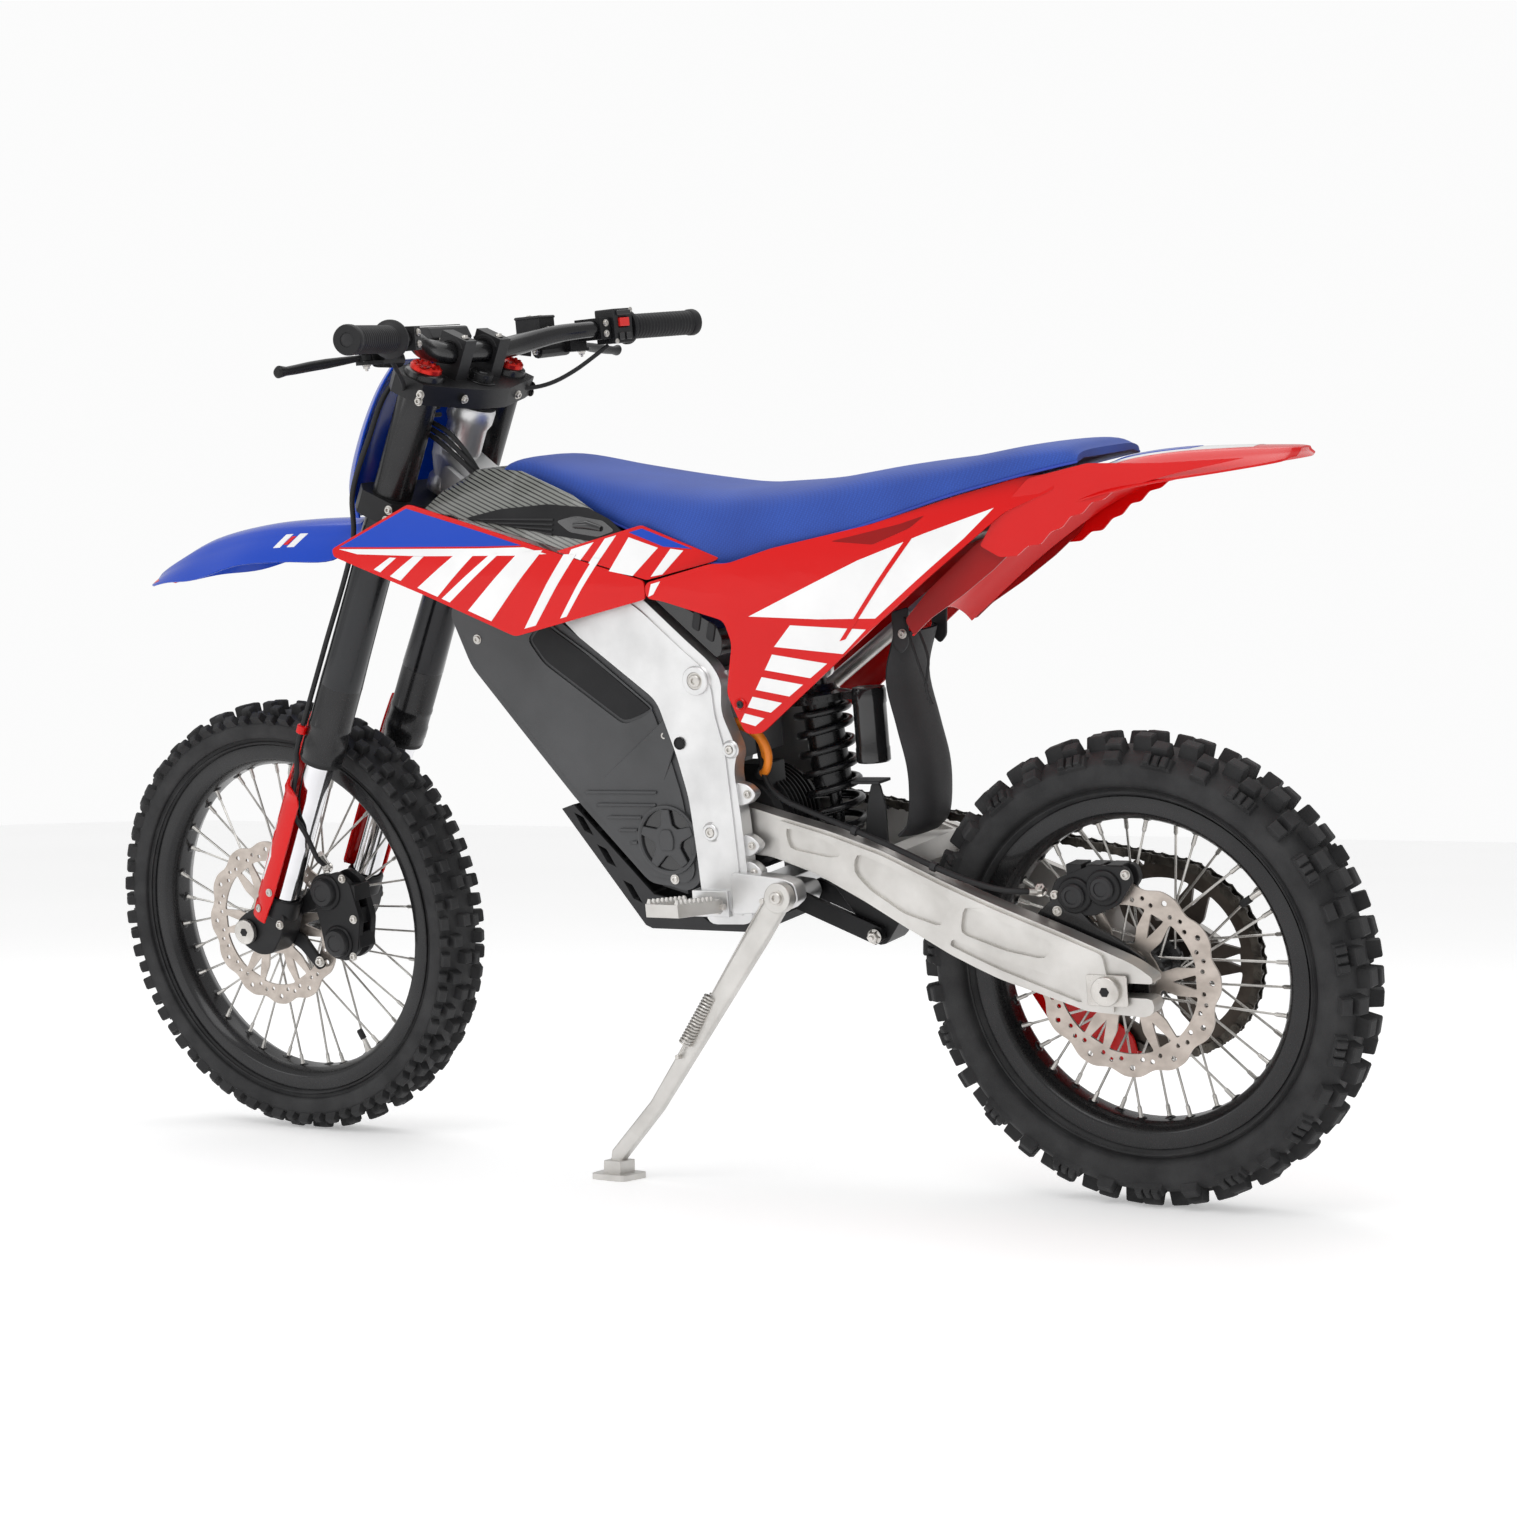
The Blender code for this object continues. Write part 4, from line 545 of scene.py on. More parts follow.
def striped_panel():
    """Fine dark lines over a shade that runs from pale at the front edge to dark at the rear."""
    made = material("striped_panel", (0.9, 0.9, 0.9), (1, 1, 1), 0.22, coat=0.6, bump=0.03)
    tree = made.node_tree
    shader = tree.nodes["Principled BSDF"]
    lines = tree.nodes.new("ShaderNodeTexWave")
    lines.wave_type = "BANDS"
    lines.bands_direction = "Z"
    lines.inputs["Scale"].default_value = 62.0
    lines.inputs["Distortion"].default_value = 0.35
    lines.inputs["Detail Scale"].default_value = 0.6
    tree.links.new(placed(tree, turn=(0.42, 0.1, 0.0)), lines.inputs["Vector"])
    stripes = ramp(tree, lines.outputs["Fac"], ((0.1, (0.1, 0.1, 0.105)), (0.42, (1, 1, 1))))
    slope = tree.nodes.new("ShaderNodeTexGradient")
    mapping = tree.nodes.new("ShaderNodeMapping")
    coords = tree.nodes.new("ShaderNodeTexCoord")
    tree.links.new(coords.outputs["Object"], mapping.inputs["Vector"])
    mapping.inputs["Rotation"].default_value = (0, -1.05, 0)
    mapping.inputs["Location"].default_value = (-0.62, 0, 0)
    mapping.inputs["Scale"].default_value = (4.2, 1, 4.2)
    tree.links.new(mapping.outputs["Vector"], slope.inputs["Vector"])
    base = ramp(tree, slope.outputs["Fac"], ((0.05, (0.2, 0.205, 0.19)), (0.5, (0.6, 0.6, 0.58)),
            (0.9, (0.9, 0.9, 0.9))))
    tree.links.new(blended(tree, 1.0, stripes, base, "MULTIPLY"), shader.inputs["Base Color"])
    return made


RED = (0.66, 0.002, 0.002)
BLUE = (0.001, 0.052, 0.47)
RECIPES = {  # key: slot, material name, dark and light shade, roughness, other settings
    "red": ("red_plastic", "red_gloss", shade(RED, 0.93), RED, 0.2,
            {"coat": 0.1, "bump": 0.03, "mottle": 4.0, "specular": 0.28}),
    # darker copy of the red plastic: painted shade on the walls inside the tail and under the seat's edge
    "painted_shade_red": ("red_plastic", "red_painted_shade", (0.24, 0.001, 0.001), (0.32, 0.002, 0.002), 0.34,
                 {"bump": 0.03, "specular": 0.25}),
    "blue": ("blue_plastic", "blue_gloss", shade(BLUE, 0.92), BLUE, 0.2,
             {"coat": 0.1, "bump": 0.03, "mottle": 4.0, "specular": 0.3}),
    "white": ("red_plastic", "white_film", (0.8, 0.8, 0.8), (0.88, 0.88, 0.88), 0.2,
              {"coat": 0.5, "bump": 0.02}),
    "piping": ("seat_fabric", "seat_seam", (0.01, 0.035, 0.3), (0.015, 0.05, 0.4), 0.6, {"bump": 0.3}),
    "plastic": ("black_plastic", "black_moulding", (0.014, 0.014, 0.015), (0.028, 0.028, 0.03), 0.46,
                {"bump": 0.3, "specular": 0.35}),
    "gloss_black": ("black_plastic", "gloss_moulding", (0.012, 0.012, 0.013), (0.02, 0.02, 0.021), 0.16,
                    {"coat": 0.4, "bump": 0.04}),
    "case": ("dark_case", "case_coating", (0.04, 0.041, 0.043), (0.058, 0.059, 0.062), 0.44,
             {"bump": 0.45, "grain": 1100.0}),
    "case_dark": ("dark_case", "case_inset", (0.008, 0.008, 0.009), (0.016, 0.016, 0.017), 0.55,
                  {"bump": 0.5, "grain": 1100.0, "specular": 0.25}),
    "rubber": ("rubber", "hose_rubber", (0.01, 0.01, 0.011), (0.02, 0.02, 0.021), 0.55,
               {"bump": 0.25, "specular": 0.3}),
    "flap": ("rubber", "flap_rubber", (0.018, 0.018, 0.019), (0.03, 0.03, 0.032), 0.6,
             {"bump": 0.3, "mottle": 14.0, "specular": 0.35}),
    "tyre": ("tyre", "tyre_rubber", (0.016, 0.016, 0.017), (0.033, 0.033, 0.034), 0.7,
             {"mottle": 24.0, "grain": 900.0, "bump": 0.35, "depth": 0.0006, "spread": 0.12,
              "specular": 0.35}),
    "cast": ("cast_aluminium", "cast_silver", (0.62, 0.62, 0.62), (0.76, 0.76, 0.76), 0.38,
             {"metal": 0.9, "bump": 0.25, "grain": 900.0, "mottle": 14.0}),
    "blasted": ("blasted_aluminium", "blasted_silver", (0.56, 0.545, 0.52), (0.7, 0.685, 0.66), 0.42,
                {"metal": 0.92, "bump": 0.45, "grain": 1100.0, "mottle": 16.0}),
    "anodised": ("black_metal", "black_anodised", (0.01, 0.01, 0.011), (0.019, 0.019, 0.02), 0.3,
                 {"metal": 0.5, "coat": 0.25, "bump": 0.05}),
    "satin_grey": ("black_metal", "grey_anodised", (0.014, 0.014, 0.016), (0.024, 0.025, 0.027), 0.22,
                   {"metal": 0.7, "coat": 0.3, "bump": 0.05, "stretch": (1, 1, 0.1)}),
    "cast_black": ("black_metal", "black_casting", (0.009, 0.009, 0.01), (0.02, 0.02, 0.021), 0.42,
                   {"metal": 0.3, "bump": 0.4, "grain": 900.0, "specular": 0.35}),
    "chrome": ("chrome", "bright_chrome", (0.72, 0.72, 0.74), (0.86, 0.86, 0.88), 0.1,
               {"metal": 1.0, "bump": 0.02, "spread": 0.04}),
    "steel": ("steel", "bare_steel", (0.5, 0.48, 0.45), (0.66, 0.64, 0.61), 0.32,
              {"metal": 0.95, "bump": 0.15, "mottle": 30.0}),
    "spoke": ("steel", "spoke_wire", (0.42, 0.41, 0.39), (0.6, 0.58, 0.55), 0.3,
              {"metal": 0.9, "bump": 0.1, "mottle": 50.0}),
    "disc": ("steel", "brushed_disc", (0.42, 0.37, 0.33), (0.56, 0.5, 0.45), 0.34,
             {"metal": 0.85, "mottle": 40.0, "grain": 420.0, "bump": 0.12, "stretch": (8, 1, 1)}),
    "sprocket": ("dark_steel", "sprocket_steel", (0.055, 0.045, 0.038), (0.095, 0.08, 0.068), 0.42,
                 {"metal": 0.8, "bump": 0.25, "mottle": 30.0}),
    "link": ("dark_steel", "chain_steel", (0.04, 0.036, 0.032), (0.115, 0.105, 0.09), 0.36,
             {"metal": 0.85, "bump": 0.2, "mottle": 60.0}),
    "orange": ("orange_cable", "orange_sheath", (0.8, 0.2, 0.012), (0.92, 0.27, 0.02), 0.4, {"bump": 0.15}),
    "red_metal": ("red_button", "red_anodised", (0.52, 0.01, 0.006), (0.72, 0.02, 0.01), 0.25,
                  {"metal": 0.6, "bump": 0.1}),
    "button": ("red_button", "button_red", (0.72, 0.02, 0.016), (0.84, 0.03, 0.02), 0.36, {"bump": 0.1}),
    "screen": ("black_plastic", "screen_glass", (0.008, 0.009, 0.01), (0.014, 0.015, 0.017), 0.12,
               {"coat": 0.1, "bump": 0.01}),
}
SPECIAL = {"seat": ("seat_fabric", seat_cover), "striped": ("carbon_panel", striped_panel)}
READY = {}


def finish_of(key):
    """The slot and the material of a finish, made once."""
    if key not in READY:
        if key in SPECIAL:
            slot, make = SPECIAL[key]
            READY[key] = slot, make()
        else:
            slot, name, dark, light, rough, settings = RECIPES[key]
            READY[key] = slot, material(name, dark, light, rough, **settings)
    return READY[key]


# ---------------------------------------------------------------- pieces
def dress(obj, key, body, stands_for=(), bevel=0.0, sharp=35, segments=2):
    """Gives a new piece its finish, its rounded edges and its body, and hides the nodes it stands for."""
    slot, finish = finish_of(key)
    obj.data.materials.clear()
    obj.data.materials.append(finish)
    obj.data.shade_smooth()
    obj.data.set_sharp_from_angle(angle=math.radians(sharp))
    if bevel:
        rounding = obj.modifiers.new("edges", "BEVEL")
        rounding.width = bevel
        rounding.segments = segments
        rounding.limit_method = "ANGLE"
        rounding.angle_limit = math.radians(30)
        rounding.harden_normals = False
        weighting = obj.modifiers.new("normals", "WEIGHTED_NORMAL")
        weighting.keep_sharp = True
    if body:
        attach(obj, body)
    if stands_for:
        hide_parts(*([stands_for] if isinstance(stands_for, str) else stands_for))
    return obj


def piece(name, solid, key, body, stands_for=(), bevel=0.0, sharp=35, segments=2):
    mesh = bpy.data.meshes.new(name)
    mesh.from_pydata([tuple(WORLD @ Vector(v)) for v in solid[0]], [], solid[1])
    work = bmesh.new()
    work.from_mesh(mesh)
    bmesh.ops.remove_doubles(work, verts=work.verts[:], dist=1e-6)
    bmesh.ops.recalc_face_normals(work, faces=work.faces[:])
    work.to_mesh(mesh)
    work.free()
    obj = bpy.data.objects.new(name, mesh)
    bpy.context.scene.collection.objects.link(obj)
    return dress(obj, key, body, stands_for, bevel, sharp, segments)


def finer(node, key, bevel=0.0012, segments=2):
    """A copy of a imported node's shape with its edges rounded, riding on the same body."""
    source = frame["nodes"][node]
    mesh = source.data.copy()
    for layer in [a for a in mesh.attributes if a.name == "custom_normal"]:
        mesh.attributes.remove(layer)
    work = bmesh.new()
    work.from_mesh(mesh)
    bmesh.ops.remove_doubles(work, verts=work.verts[:], dist=1e-5)
    bmesh.ops.dissolve_limit(work, angle_limit=math.radians(1.0), verts=work.verts[:], edges=work.edges[:])
    work.to_mesh(mesh)
    work.free()
    obj = bpy.data.objects.new(f"{node}_shaped", mesh)
    bpy.context.scene.collection.objects.link(obj)
    return dress(obj, key, source["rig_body"], node, bevel, segments=segments)


def bolt(at, axis, radius=0.006, height=0.004):
    """A socket-head bolt on a washer."""
    at = Vector(at)
    washer = lathe([(radius * 0.5, 0), (radius * 1.35, 0), (radius * 1.35, 0.0008), (radius * 0.5, 0.0008)],
                   at, axis, 20, ring=True)
    head = lathe([(radius * 0.001, height * 0.45), (radius * 0.5, height * 0.45), (radius * 0.5, height),
                  (radius * 0.86, height), (radius, height * 0.8), (radius, 0), (radius * 0.001, 0)], at,
                 axis, 18)
    return together(washer, head)


def nut(at, axis, radius=0.009, height=0.007):
    """A hexagon nut on a round flange with a stud end."""
    at = Vector(at)
    flange = lathe([(0.0004, 0), (radius * 1.3, 0), (radius * 1.3, 0.001), (radius, 0.002),
                    (0.0004, 0.002)], at, axis, 24)
    body = lathe([(0.0004, 0.002), (radius, 0.002), (radius, height - 0.001), (radius * 0.85, height),
                  (0.0004, height)], at, axis, 6)
    stud = lathe([(0.0004, height), (radius * 0.45, height), (radius * 0.45, height + 0.002),
                  (radius * 0.35, height + 0.003), (0.0004, height + 0.003)], at, axis, 14)
    return together(flange, body, stud)


# ---------------------------------------------------------------- wheels
def crown_radius(tyre, x):
    """Radius of the tyre's carcass under its knobs, at a distance from the middle."""
    wide = tyre["half_width"]
    side = 1 - min(1.0, abs(x) / (1.04 * wide)) ** 2
    return tyre["radius"] - tyre["tread"] - 0.55 * wide * (1 - math.sqrt(side))


def carcass(tyre):
    wide, bead = tyre["half_width"], tyre["bead"]
    depth = tyre["radius"] - bead
    side = [(bead, 0.0255), (bead + 0.0095, 0.0262), (bead + 0.015, 0.03), (bead + 0.017, 0.0316),
            (bead + 0.021, 0.0322), (bead + 0.32 * depth, wide * 0.94), (bead + 0.55 * depth, wide)]
    top = [(crown_radius(tyre, wide * t), wide * t) for t in (0.95, 0.82, 0.62, 0.36, 0.12)]
    half = side + top
    outside = [(p.x, p.y)
               for p in smooth([(r, x, 0) for r, x in half + [(r, -x) for r, x in reversed(half)]], 3)]
    inside = [(bead + 0.7 * depth, 0.022), (bead + 0.35 * depth, 0.024), (bead, 0.0175)]
    return outside + [(r, -x) for r, x in reversed(inside)] + inside


def knob(tyre, centre, angle, x, along, across, height, lean=0.0):
    """A chamfered block standing on the carcass, sunk a little into it."""
    wide = 0.0015
    slope = (crown_radius(tyre, abs(x) + wide) - crown_radius(tyre, abs(x) - wide)) / (2 * wide)
    outward = Vector((0, math.cos(angle), math.sin(angle)))
    side = 1 if x > 0 else -1
    normal = (outward - ALONG_X * side * (slope - lean)).normalized()
    forward = Vector((0, -math.sin(angle), math.cos(angle)))
    sideways = normal.cross(forward)
    base = centre + ALONG_X * x + outward * crown_radius(tyre, x)
    rows = []
    for share, cut, level in ((1.14, 0, -0.004), (1.0, 0, height - 0.0016), (1.0, 0.0016, height)):
        a, b = along / 2 * share - cut, across / 2 * share - cut
        rows.append([base + normal * level + forward * p + sideways * q
                     for p, q in ((-a, -b), (a, -b), (a, b), (-a, b))])
    return loft(rows)


def front_knobs(centre):
    solids = []
    for i in range(36):
        for side in (-1, 1):
            for phase, x, along, across, height, lean in ((0.0, 0.0086, 0.016, 0.013, 0.014, 0.0),
                    (0.5, 0.0236, 0.016, 0.013, 0.0137, 0.0), (0.5, 0.037, 0.012, 0.0105, 0.0105, 0.25),
                    (0.0, 0.0355, 0.017, 0.0115, 0.0125, 0.15)):
                angle = math.radians(10 * (i + phase + (0.08 if side > 0 else 0.0)))
                solids.append(knob(FRONT_TYRE, centre, angle, side * x, along, across, height, lean))
    return together(*solids)


def rear_knobs(centre):
    solids = []
    for i in range(30):
        for side in (-1, 1):
            turn = 12 * i + (1.0 if side > 0 else 0.0)
            first, second = math.radians(turn), math.radians(turn + 6)
            solids.append(knob(REAR_TYRE, centre, first, side * 0.012, 0.0215, 0.018, 0.0165))
            solids.append(knob(REAR_TYRE, centre, second, side * 0.0285, 0.02, 0.0165, 0.016))
            if i % 2 == 0:
                solids.append(knob(REAR_TYRE, centre, second, side * 0.042, 0.036, 0.015, 0.006, 0.25))
                for shift in (-0.0105, 0.0, 0.0105):
                    tall = 0.0125 if shift else 0.011
                    solids.append(knob(REAR_TYRE, centre, second + shift / 0.262, side * 0.042, 0.008,
                            0.013, tall, 0.25))
            else:
                solids.append(knob(REAR_TYRE, centre, second, side * 0.0415, 0.019, 0.013, 0.012, 0.25))
    return together(*solids)


def rim_solid(centre, bead):
    flange, bed, well, wide = bead + 0.01, bead - 0.008, bead - 0.02, RIM_HALF_WIDTH
    section = [(flange, wide - 0.0006), (flange + 0.0004, wide - 0.0016), (flange, wide - 0.0028),
               (bed + 0.007, wide - 0.004), (bed, 0.01), (bed, -0.01), (bed + 0.007, 0.004 - wide),
               (flange, 0.0028 - wide), (flange + 0.0004, 0.0016 - wide), (flange, 0.0006 - wide),
               (flange - 0.006, -wide), (well + 0.012, -wide), (well + 0.009, 0.0012 - wide),
               (well + 0.0005, -0.013), (well, -0.01), (well, 0.01), (well + 0.0005, 0.013),
               (well + 0.009, wide - 0.0012), (well + 0.012, wide), (flange - 0.006, wide)]
    return lathe(section, centre, ALONG_X, ROUND, ring=True)


def spoke_line(k, centre, reach):
    """Hub end and rim end of one crossed spoke."""
    side = 1 if k % 2 == 0 else -1
    lead = 1 if (k // 2) % 2 == 0 else -1
    rim_angle = 2 * math.pi * (k + 0.5) / SPOKES
    hub_angle = rim_angle + lead * math.radians(48)
    hub_x = side * (0.0355 if lead > 0 else 0.0315)
    inner = centre + Vector((hub_x, 0.029 * math.cos(hub_angle), 0.029 * math.sin(hub_angle)))
    outer = centre + Vector((side * 0.006, reach * math.cos(rim_angle), reach * math.sin(rim_angle)))
    return inner, outer


def wires(centre, bead):
    reach = bead - 0.0195
    spokes = []
    sockets = []
    for k in range(SPOKES):
        inner, outer = spoke_line(k, centre, reach)
        along = (outer - inner).normalized()
        spokes.append(lathe([(0.0032, -0.002), (0.0032, 0.0), (0.0016, 0.001),
                             (0.0016, (outer - inner).length)], inner, along, 8))
        spokes.append(lathe([(0.0018, -0.017), (0.0027, -0.015), (0.0027, -0.004), (0.0034, -0.003),
                             (0.0034, 0.001)], outer, along, 10))
        sockets.append(lathe([(0.0085, 0.0025), (0.0075, -0.0005), (0.005, -0.0022), (0.0038, -0.0024)],
                             outer, along, 14))
    return together(*spokes), together(*sockets)


def hub_shell(centre, half):
    profile = [(0.0098, -half), (0.0155, -half), (0.016, -half + 0.001), (0.022, -half + 0.004),
               (0.023, -half + 0.006), (0.023, -0.041), (0.0325, -0.0385), (0.0335, -0.0375),
               (0.0335, -0.0295), (0.0325, -0.0288), (0.024, -0.026), (0.0215, -0.02), (0.0195, 0.0),
               (0.0215, 0.02), (0.024, 0.026), (0.0325, 0.0288), (0.0335, 0.0295), (0.0335, 0.0375),
               (0.0325, 0.0385), (0.023, 0.041), (0.023, half - 0.006), (0.022, half - 0.004),
               (0.016, half - 0.001), (0.0155, half), (0.0098, half)]
    return lathe(profile, centre, ALONG_X, 48, ring=True)


def polar(centre, radius, degrees):
    angle = math.radians(degrees)
    return (centre.y + radius * math.cos(angle), centre.z + radius * math.sin(angle))


def disc_solid(centre, x):
    """A wavy brake disc: drilled ring, slots, and six split arms to the hub."""
    outline = []
    for i in range(240):
        angle = 2 * math.pi * i / 240
        wave = 0.5 - 0.5 * math.cos(12 * angle)
        outline.append(polar(centre, DISC_RADIUS - 0.0065 * wave ** 1.6, math.degrees(angle)))
    holes = [circle((centre.y, centre.z), 0.0238, 48)]
    for i in range(6):
        middle = 60 * (i + 0.5)
        gap = arc((centre.y, centre.z), 0.0915, middle - 19, middle + 19, 8)
        gap += [polar(centre, 0.066, middle + 15), polar(centre, 0.0465, middle + 17)]
        gap += arc((centre.y, centre.z), 0.0445, middle + 12, middle - 12, 4)
        gap += [polar(centre, 0.0465, middle - 17), polar(centre, 0.066, middle - 15)]
        holes.append(rounded(gap, 0.003, 2))
        arm = 60 * i
        holes.append(rounded([polar(centre, 0.0895, arm - 6.0), polar(centre, 0.0895, arm + 6.0),
                              polar(centre, 0.058, arm)], 0.002, 2))
    for i in range(12):
        holes.append(circle(polar(centre, 0.1085, 30 * i), 0.0036, 10))
        holes.append(circle(polar(centre, 0.0985, 30 * i + 8), 0.003, 10))
        holes.append(circle(polar(centre, 0.103, 30 * i + 15), 0.003, 10))
        holes.append(circle(polar(centre, 0.0985, 30 * i + 22), 0.003, 10))
    return plate(outline, holes, x - 0.0016, x + 0.0016)


def build_wheel(prefix, centre, tyre, body, hub_half):
    knobs = front_knobs(centre) if prefix == "front" else rear_knobs(centre)
    piece(f"{prefix}_tyre_carcass", lathe(carcass(tyre), centre, ALONG_X, ROUND, ring=True), "tyre", body,
          f"{prefix}_tyre", sharp=50)
    piece(f"{prefix}_tyre_knobs", knobs, "tyre", body, sharp=20)
    line = tyre["bead"] + 0.19 * (tyre["radius"] - tyre["bead"])
    ring = [(line + 0.0012, 0.0), (line, 0.0009), (line - 0.0012, 0.0), (line, -0.004)]
    wall = 0.0352 if prefix == "front" else 0.0372
    rings = [lathe([(r, side * (wall + h)) for r, h in ring], centre, ALONG_X, ROUND, ring=True)
             for side in (1, -1)]
    piece(f"{prefix}_tyre_lines", together(*rings), "tyre", body)
    piece(f"{prefix}_rim_hoop", rim_solid(centre, tyre["bead"]), "anodised", body, f"{prefix}_rim",
          sharp=50)
    spokes, sockets = wires(centre, tyre["bead"])
    piece(f"{prefix}_spokes", spokes, "spoke", body)
    piece(f"{prefix}_spoke_sockets", sockets, "anodised", body)
    piece(f"{prefix}_hub_shell", hub_shell(centre, hub_half), "anodised", body, f"{prefix}_hub", sharp=40)
    piece(f"{prefix}_brake_disc", disc_solid(centre, DISC_X), "disc", body, f"{prefix}_disc", bevel=0.0004,
          segments=1)
    bolts = [bolt((DISC_X + 0.0016, *polar(centre, 0.0335, 60 * i)), ALONG_X, 0.0046, 0.0035)
             for i in range(6)]
    piece(f"{prefix}_disc_bolts", together(*bolts), "steel", body)
    spacer = lathe([(0.0235, 0.04), (0.043, 0.04), (0.043, DISC_X - 0.0018), (0.0235, DISC_X - 0.0018)],
                   centre, ALONG_X, 48, ring=True)
    piece(f"{prefix}_disc_carrier", spacer, "anodised", body, bevel=0.0008)
    build_valve(prefix, centre, tyre, body)


def build_valve(prefix, centre, tyre, body):
    angle = math.radians(-62 if prefix == "front" else 33)
    outward = Vector((0, math.cos(angle), math.sin(angle)))
    foot = centre + outward * (tyre["bead"] - 0.0195)
    profile = [(0.0062, 0), (0.0062, -0.003), (0.0036, -0.0034), (0.0036, -0.02), (0.0046, -0.021),
               (0.0046, -0.034), (0.0036, -0.036)]
    piece(f"{prefix}_valve_cap", lathe(profile[4:], foot, outward, 14), "rubber", body)
    piece(f"{prefix}_valve_stem", lathe(profile[:4], foot, outward, 14), "steel", body)


# ---------------------------------------------------------------- final drive
def toothed(centre, teeth, root=0.0048, tip=0.0042):
    """Outline of a sprocket whose tooth gaps hold the chain's rollers."""
    radius = CHAIN_PITCH / (2 * math.sin(math.pi / teeth))
    points = []
    for i in range(teeth):
        for share, height in ((-0.5, -root), (-0.36, -root * 0.7), (-0.16, tip * 0.75), (-0.06, tip),
                              (0.06, tip), (0.16, tip * 0.75), (0.36, -root * 0.7)):
            angle = 2 * math.pi * (i + share) / teeth
            points.append((centre.y + (radius + height) * math.cos(angle),
                           centre.z + (radius + height) * math.sin(angle)))
    return points


def build_sprockets():
    """Toothed plates of the rear wheel and the motor, with their openings and nuts."""
    holes = [circle((REAR_AXLE.y, REAR_AXLE.z), 0.0238, 40)]
    for i in range(6):
        middle = 60 * (i + 0.5)
        gap = arc((REAR_AXLE.y, REAR_AXLE.z), 0.1005, middle - 22, middle + 22, 8)
        gap += [polar(REAR_AXLE, 0.07, middle + 12), polar(REAR_AXLE, 0.047, middle + 14),
                polar(REAR_AXLE, 0.047, middle - 14), polar(REAR_AXLE, 0.07, middle - 12)]
        holes.append(rounded(gap, 0.004, 2))
        arm = 60 * i
        holes.append(rounded([polar(REAR_AXLE, 0.098, arm - 5), polar(REAR_AXLE, 0.098, arm + 5),
                              polar(REAR_AXLE, 0.074, arm)], 0.002, 2))
    solid = plate(toothed(REAR_AXLE, REAR_TEETH), holes, CHAIN_X - 0.003, CHAIN_X + 0.003)
    piece("rear_sprocket_plate", solid, "sprocket", "rear_wheel", "rear_sprocket", bevel=0.0004, segments=1)
    bolts = [nut((CHAIN_X - 0.003, *polar(REAR_AXLE, 0.036, 60 * i)), -ALONG_X, 0.0055, 0.006)
             for i in range(6)]
    piece("rear_sprocket_nuts", together(*bolts), "steel", "rear_wheel")
    holes = [circle((SWING_PIVOT.y, SWING_PIVOT.z), 0.0104, 24)]
    holes += [circle(polar(SWING_PIVOT, 0.019, 60 * i), 0.0032, 10) for i in range(6)]
    solid = plate(toothed(SWING_PIVOT, MOTOR_TEETH), holes, CHAIN_X - 0.003, CHAIN_X + 0.003)
    piece("motor_sprocket_plate", solid, "sprocket", "motor_sprocket", "motor_sprocket", bevel=0.0004,
          segments=1)


def chain_path():
    """The pitch line as (length, point at a share of it) pieces: two arcs and two straights."""
    big = CHAIN_PITCH / (2 * math.sin(math.pi / REAR_TEETH))
    small = CHAIN_PITCH / (2 * math.sin(math.pi / MOTOR_TEETH))
    across = REAR_AXLE - SWING_PIVOT
    slope = math.atan2(across.z, across.y)
    tilt = math.asin((big - small) / across.length)

    def on_arc(centre, radius, start, end):
        def at(t):
            angle = start + (end - start) * t
            return Vector((CHAIN_X, centre.y + radius * math.cos(angle),
                           centre.z + radius * math.sin(angle)))
        return abs(end - start) * radius, at

    rear = on_arc(REAR_AXLE, big, slope - math.pi / 2 - tilt, slope + math.pi / 2 + tilt)
    front = on_arc(SWING_PIVOT, small, slope + math.pi / 2 + tilt, slope + 3 * math.pi / 2 - tilt)
    stretches = []
    for here, there in ((rear, front), (front, rear)):
        stretches.append(here)
        start, end = here[1](1.0), there[1](0.0)
        stretches.append(((end - start).length, lambda t, a=start, b=end: a.lerp(b, t)))
    return stretches


def chain_pins():
    stretches = chain_path()
    total = sum(length for length, _ in stretches)
    count = 2 * round(total / CHAIN_PITCH / 2)
    pins = []
    for i in range(count):
        along = total * i / count
        for length, at in stretches:
            if along <= length:
                pins.append(at(along / length))
                break
            along -= length
    return pins


def build_chain():
    """Rollers, pins and pairs of plates along the pitch line."""
    pins = chain_pins()
    solids = []
    for i, here in enumerate(pins):
        there = pins[(i + 1) % len(pins)]
        ahead = (there - here).normalized()
        up = ALONG_X.cross(ahead)
        middle = (here + there) / 2
        outline = []
        for end, way in ((there, 1), (here, -1)):
            for degrees in (-70, -35, 0, 35, 70):
                angle = math.radians(degrees)
                outline.append(end + (ahead * math.cos(angle) + up * math.sin(angle)) * 0.0066 * way)
            outline.append(middle + up * 0.0046 * way)
        offset = 0.0052 if i % 2 == 0 else 0.007
        for side in (-1, 1):
            start = offset * side
            flat = [p + ALONG_X * start for p in outline]
            solids.append(extrude(flat, ALONG_X * 0.0013 * side))
        solids.append(lathe([(0.0024, -0.0088), (0.0028, -0.0084), (0.0028, 0.0084), (0.0024, 0.0088)],
                            here, ALONG_X, 8))
        solids.append(lathe([(0.0046, -0.005), (0.0046, 0.005)], here, ALONG_X, 10))
    piece("chain_links", together(*solids), "link", "swingarm", "chain", sharp=30)


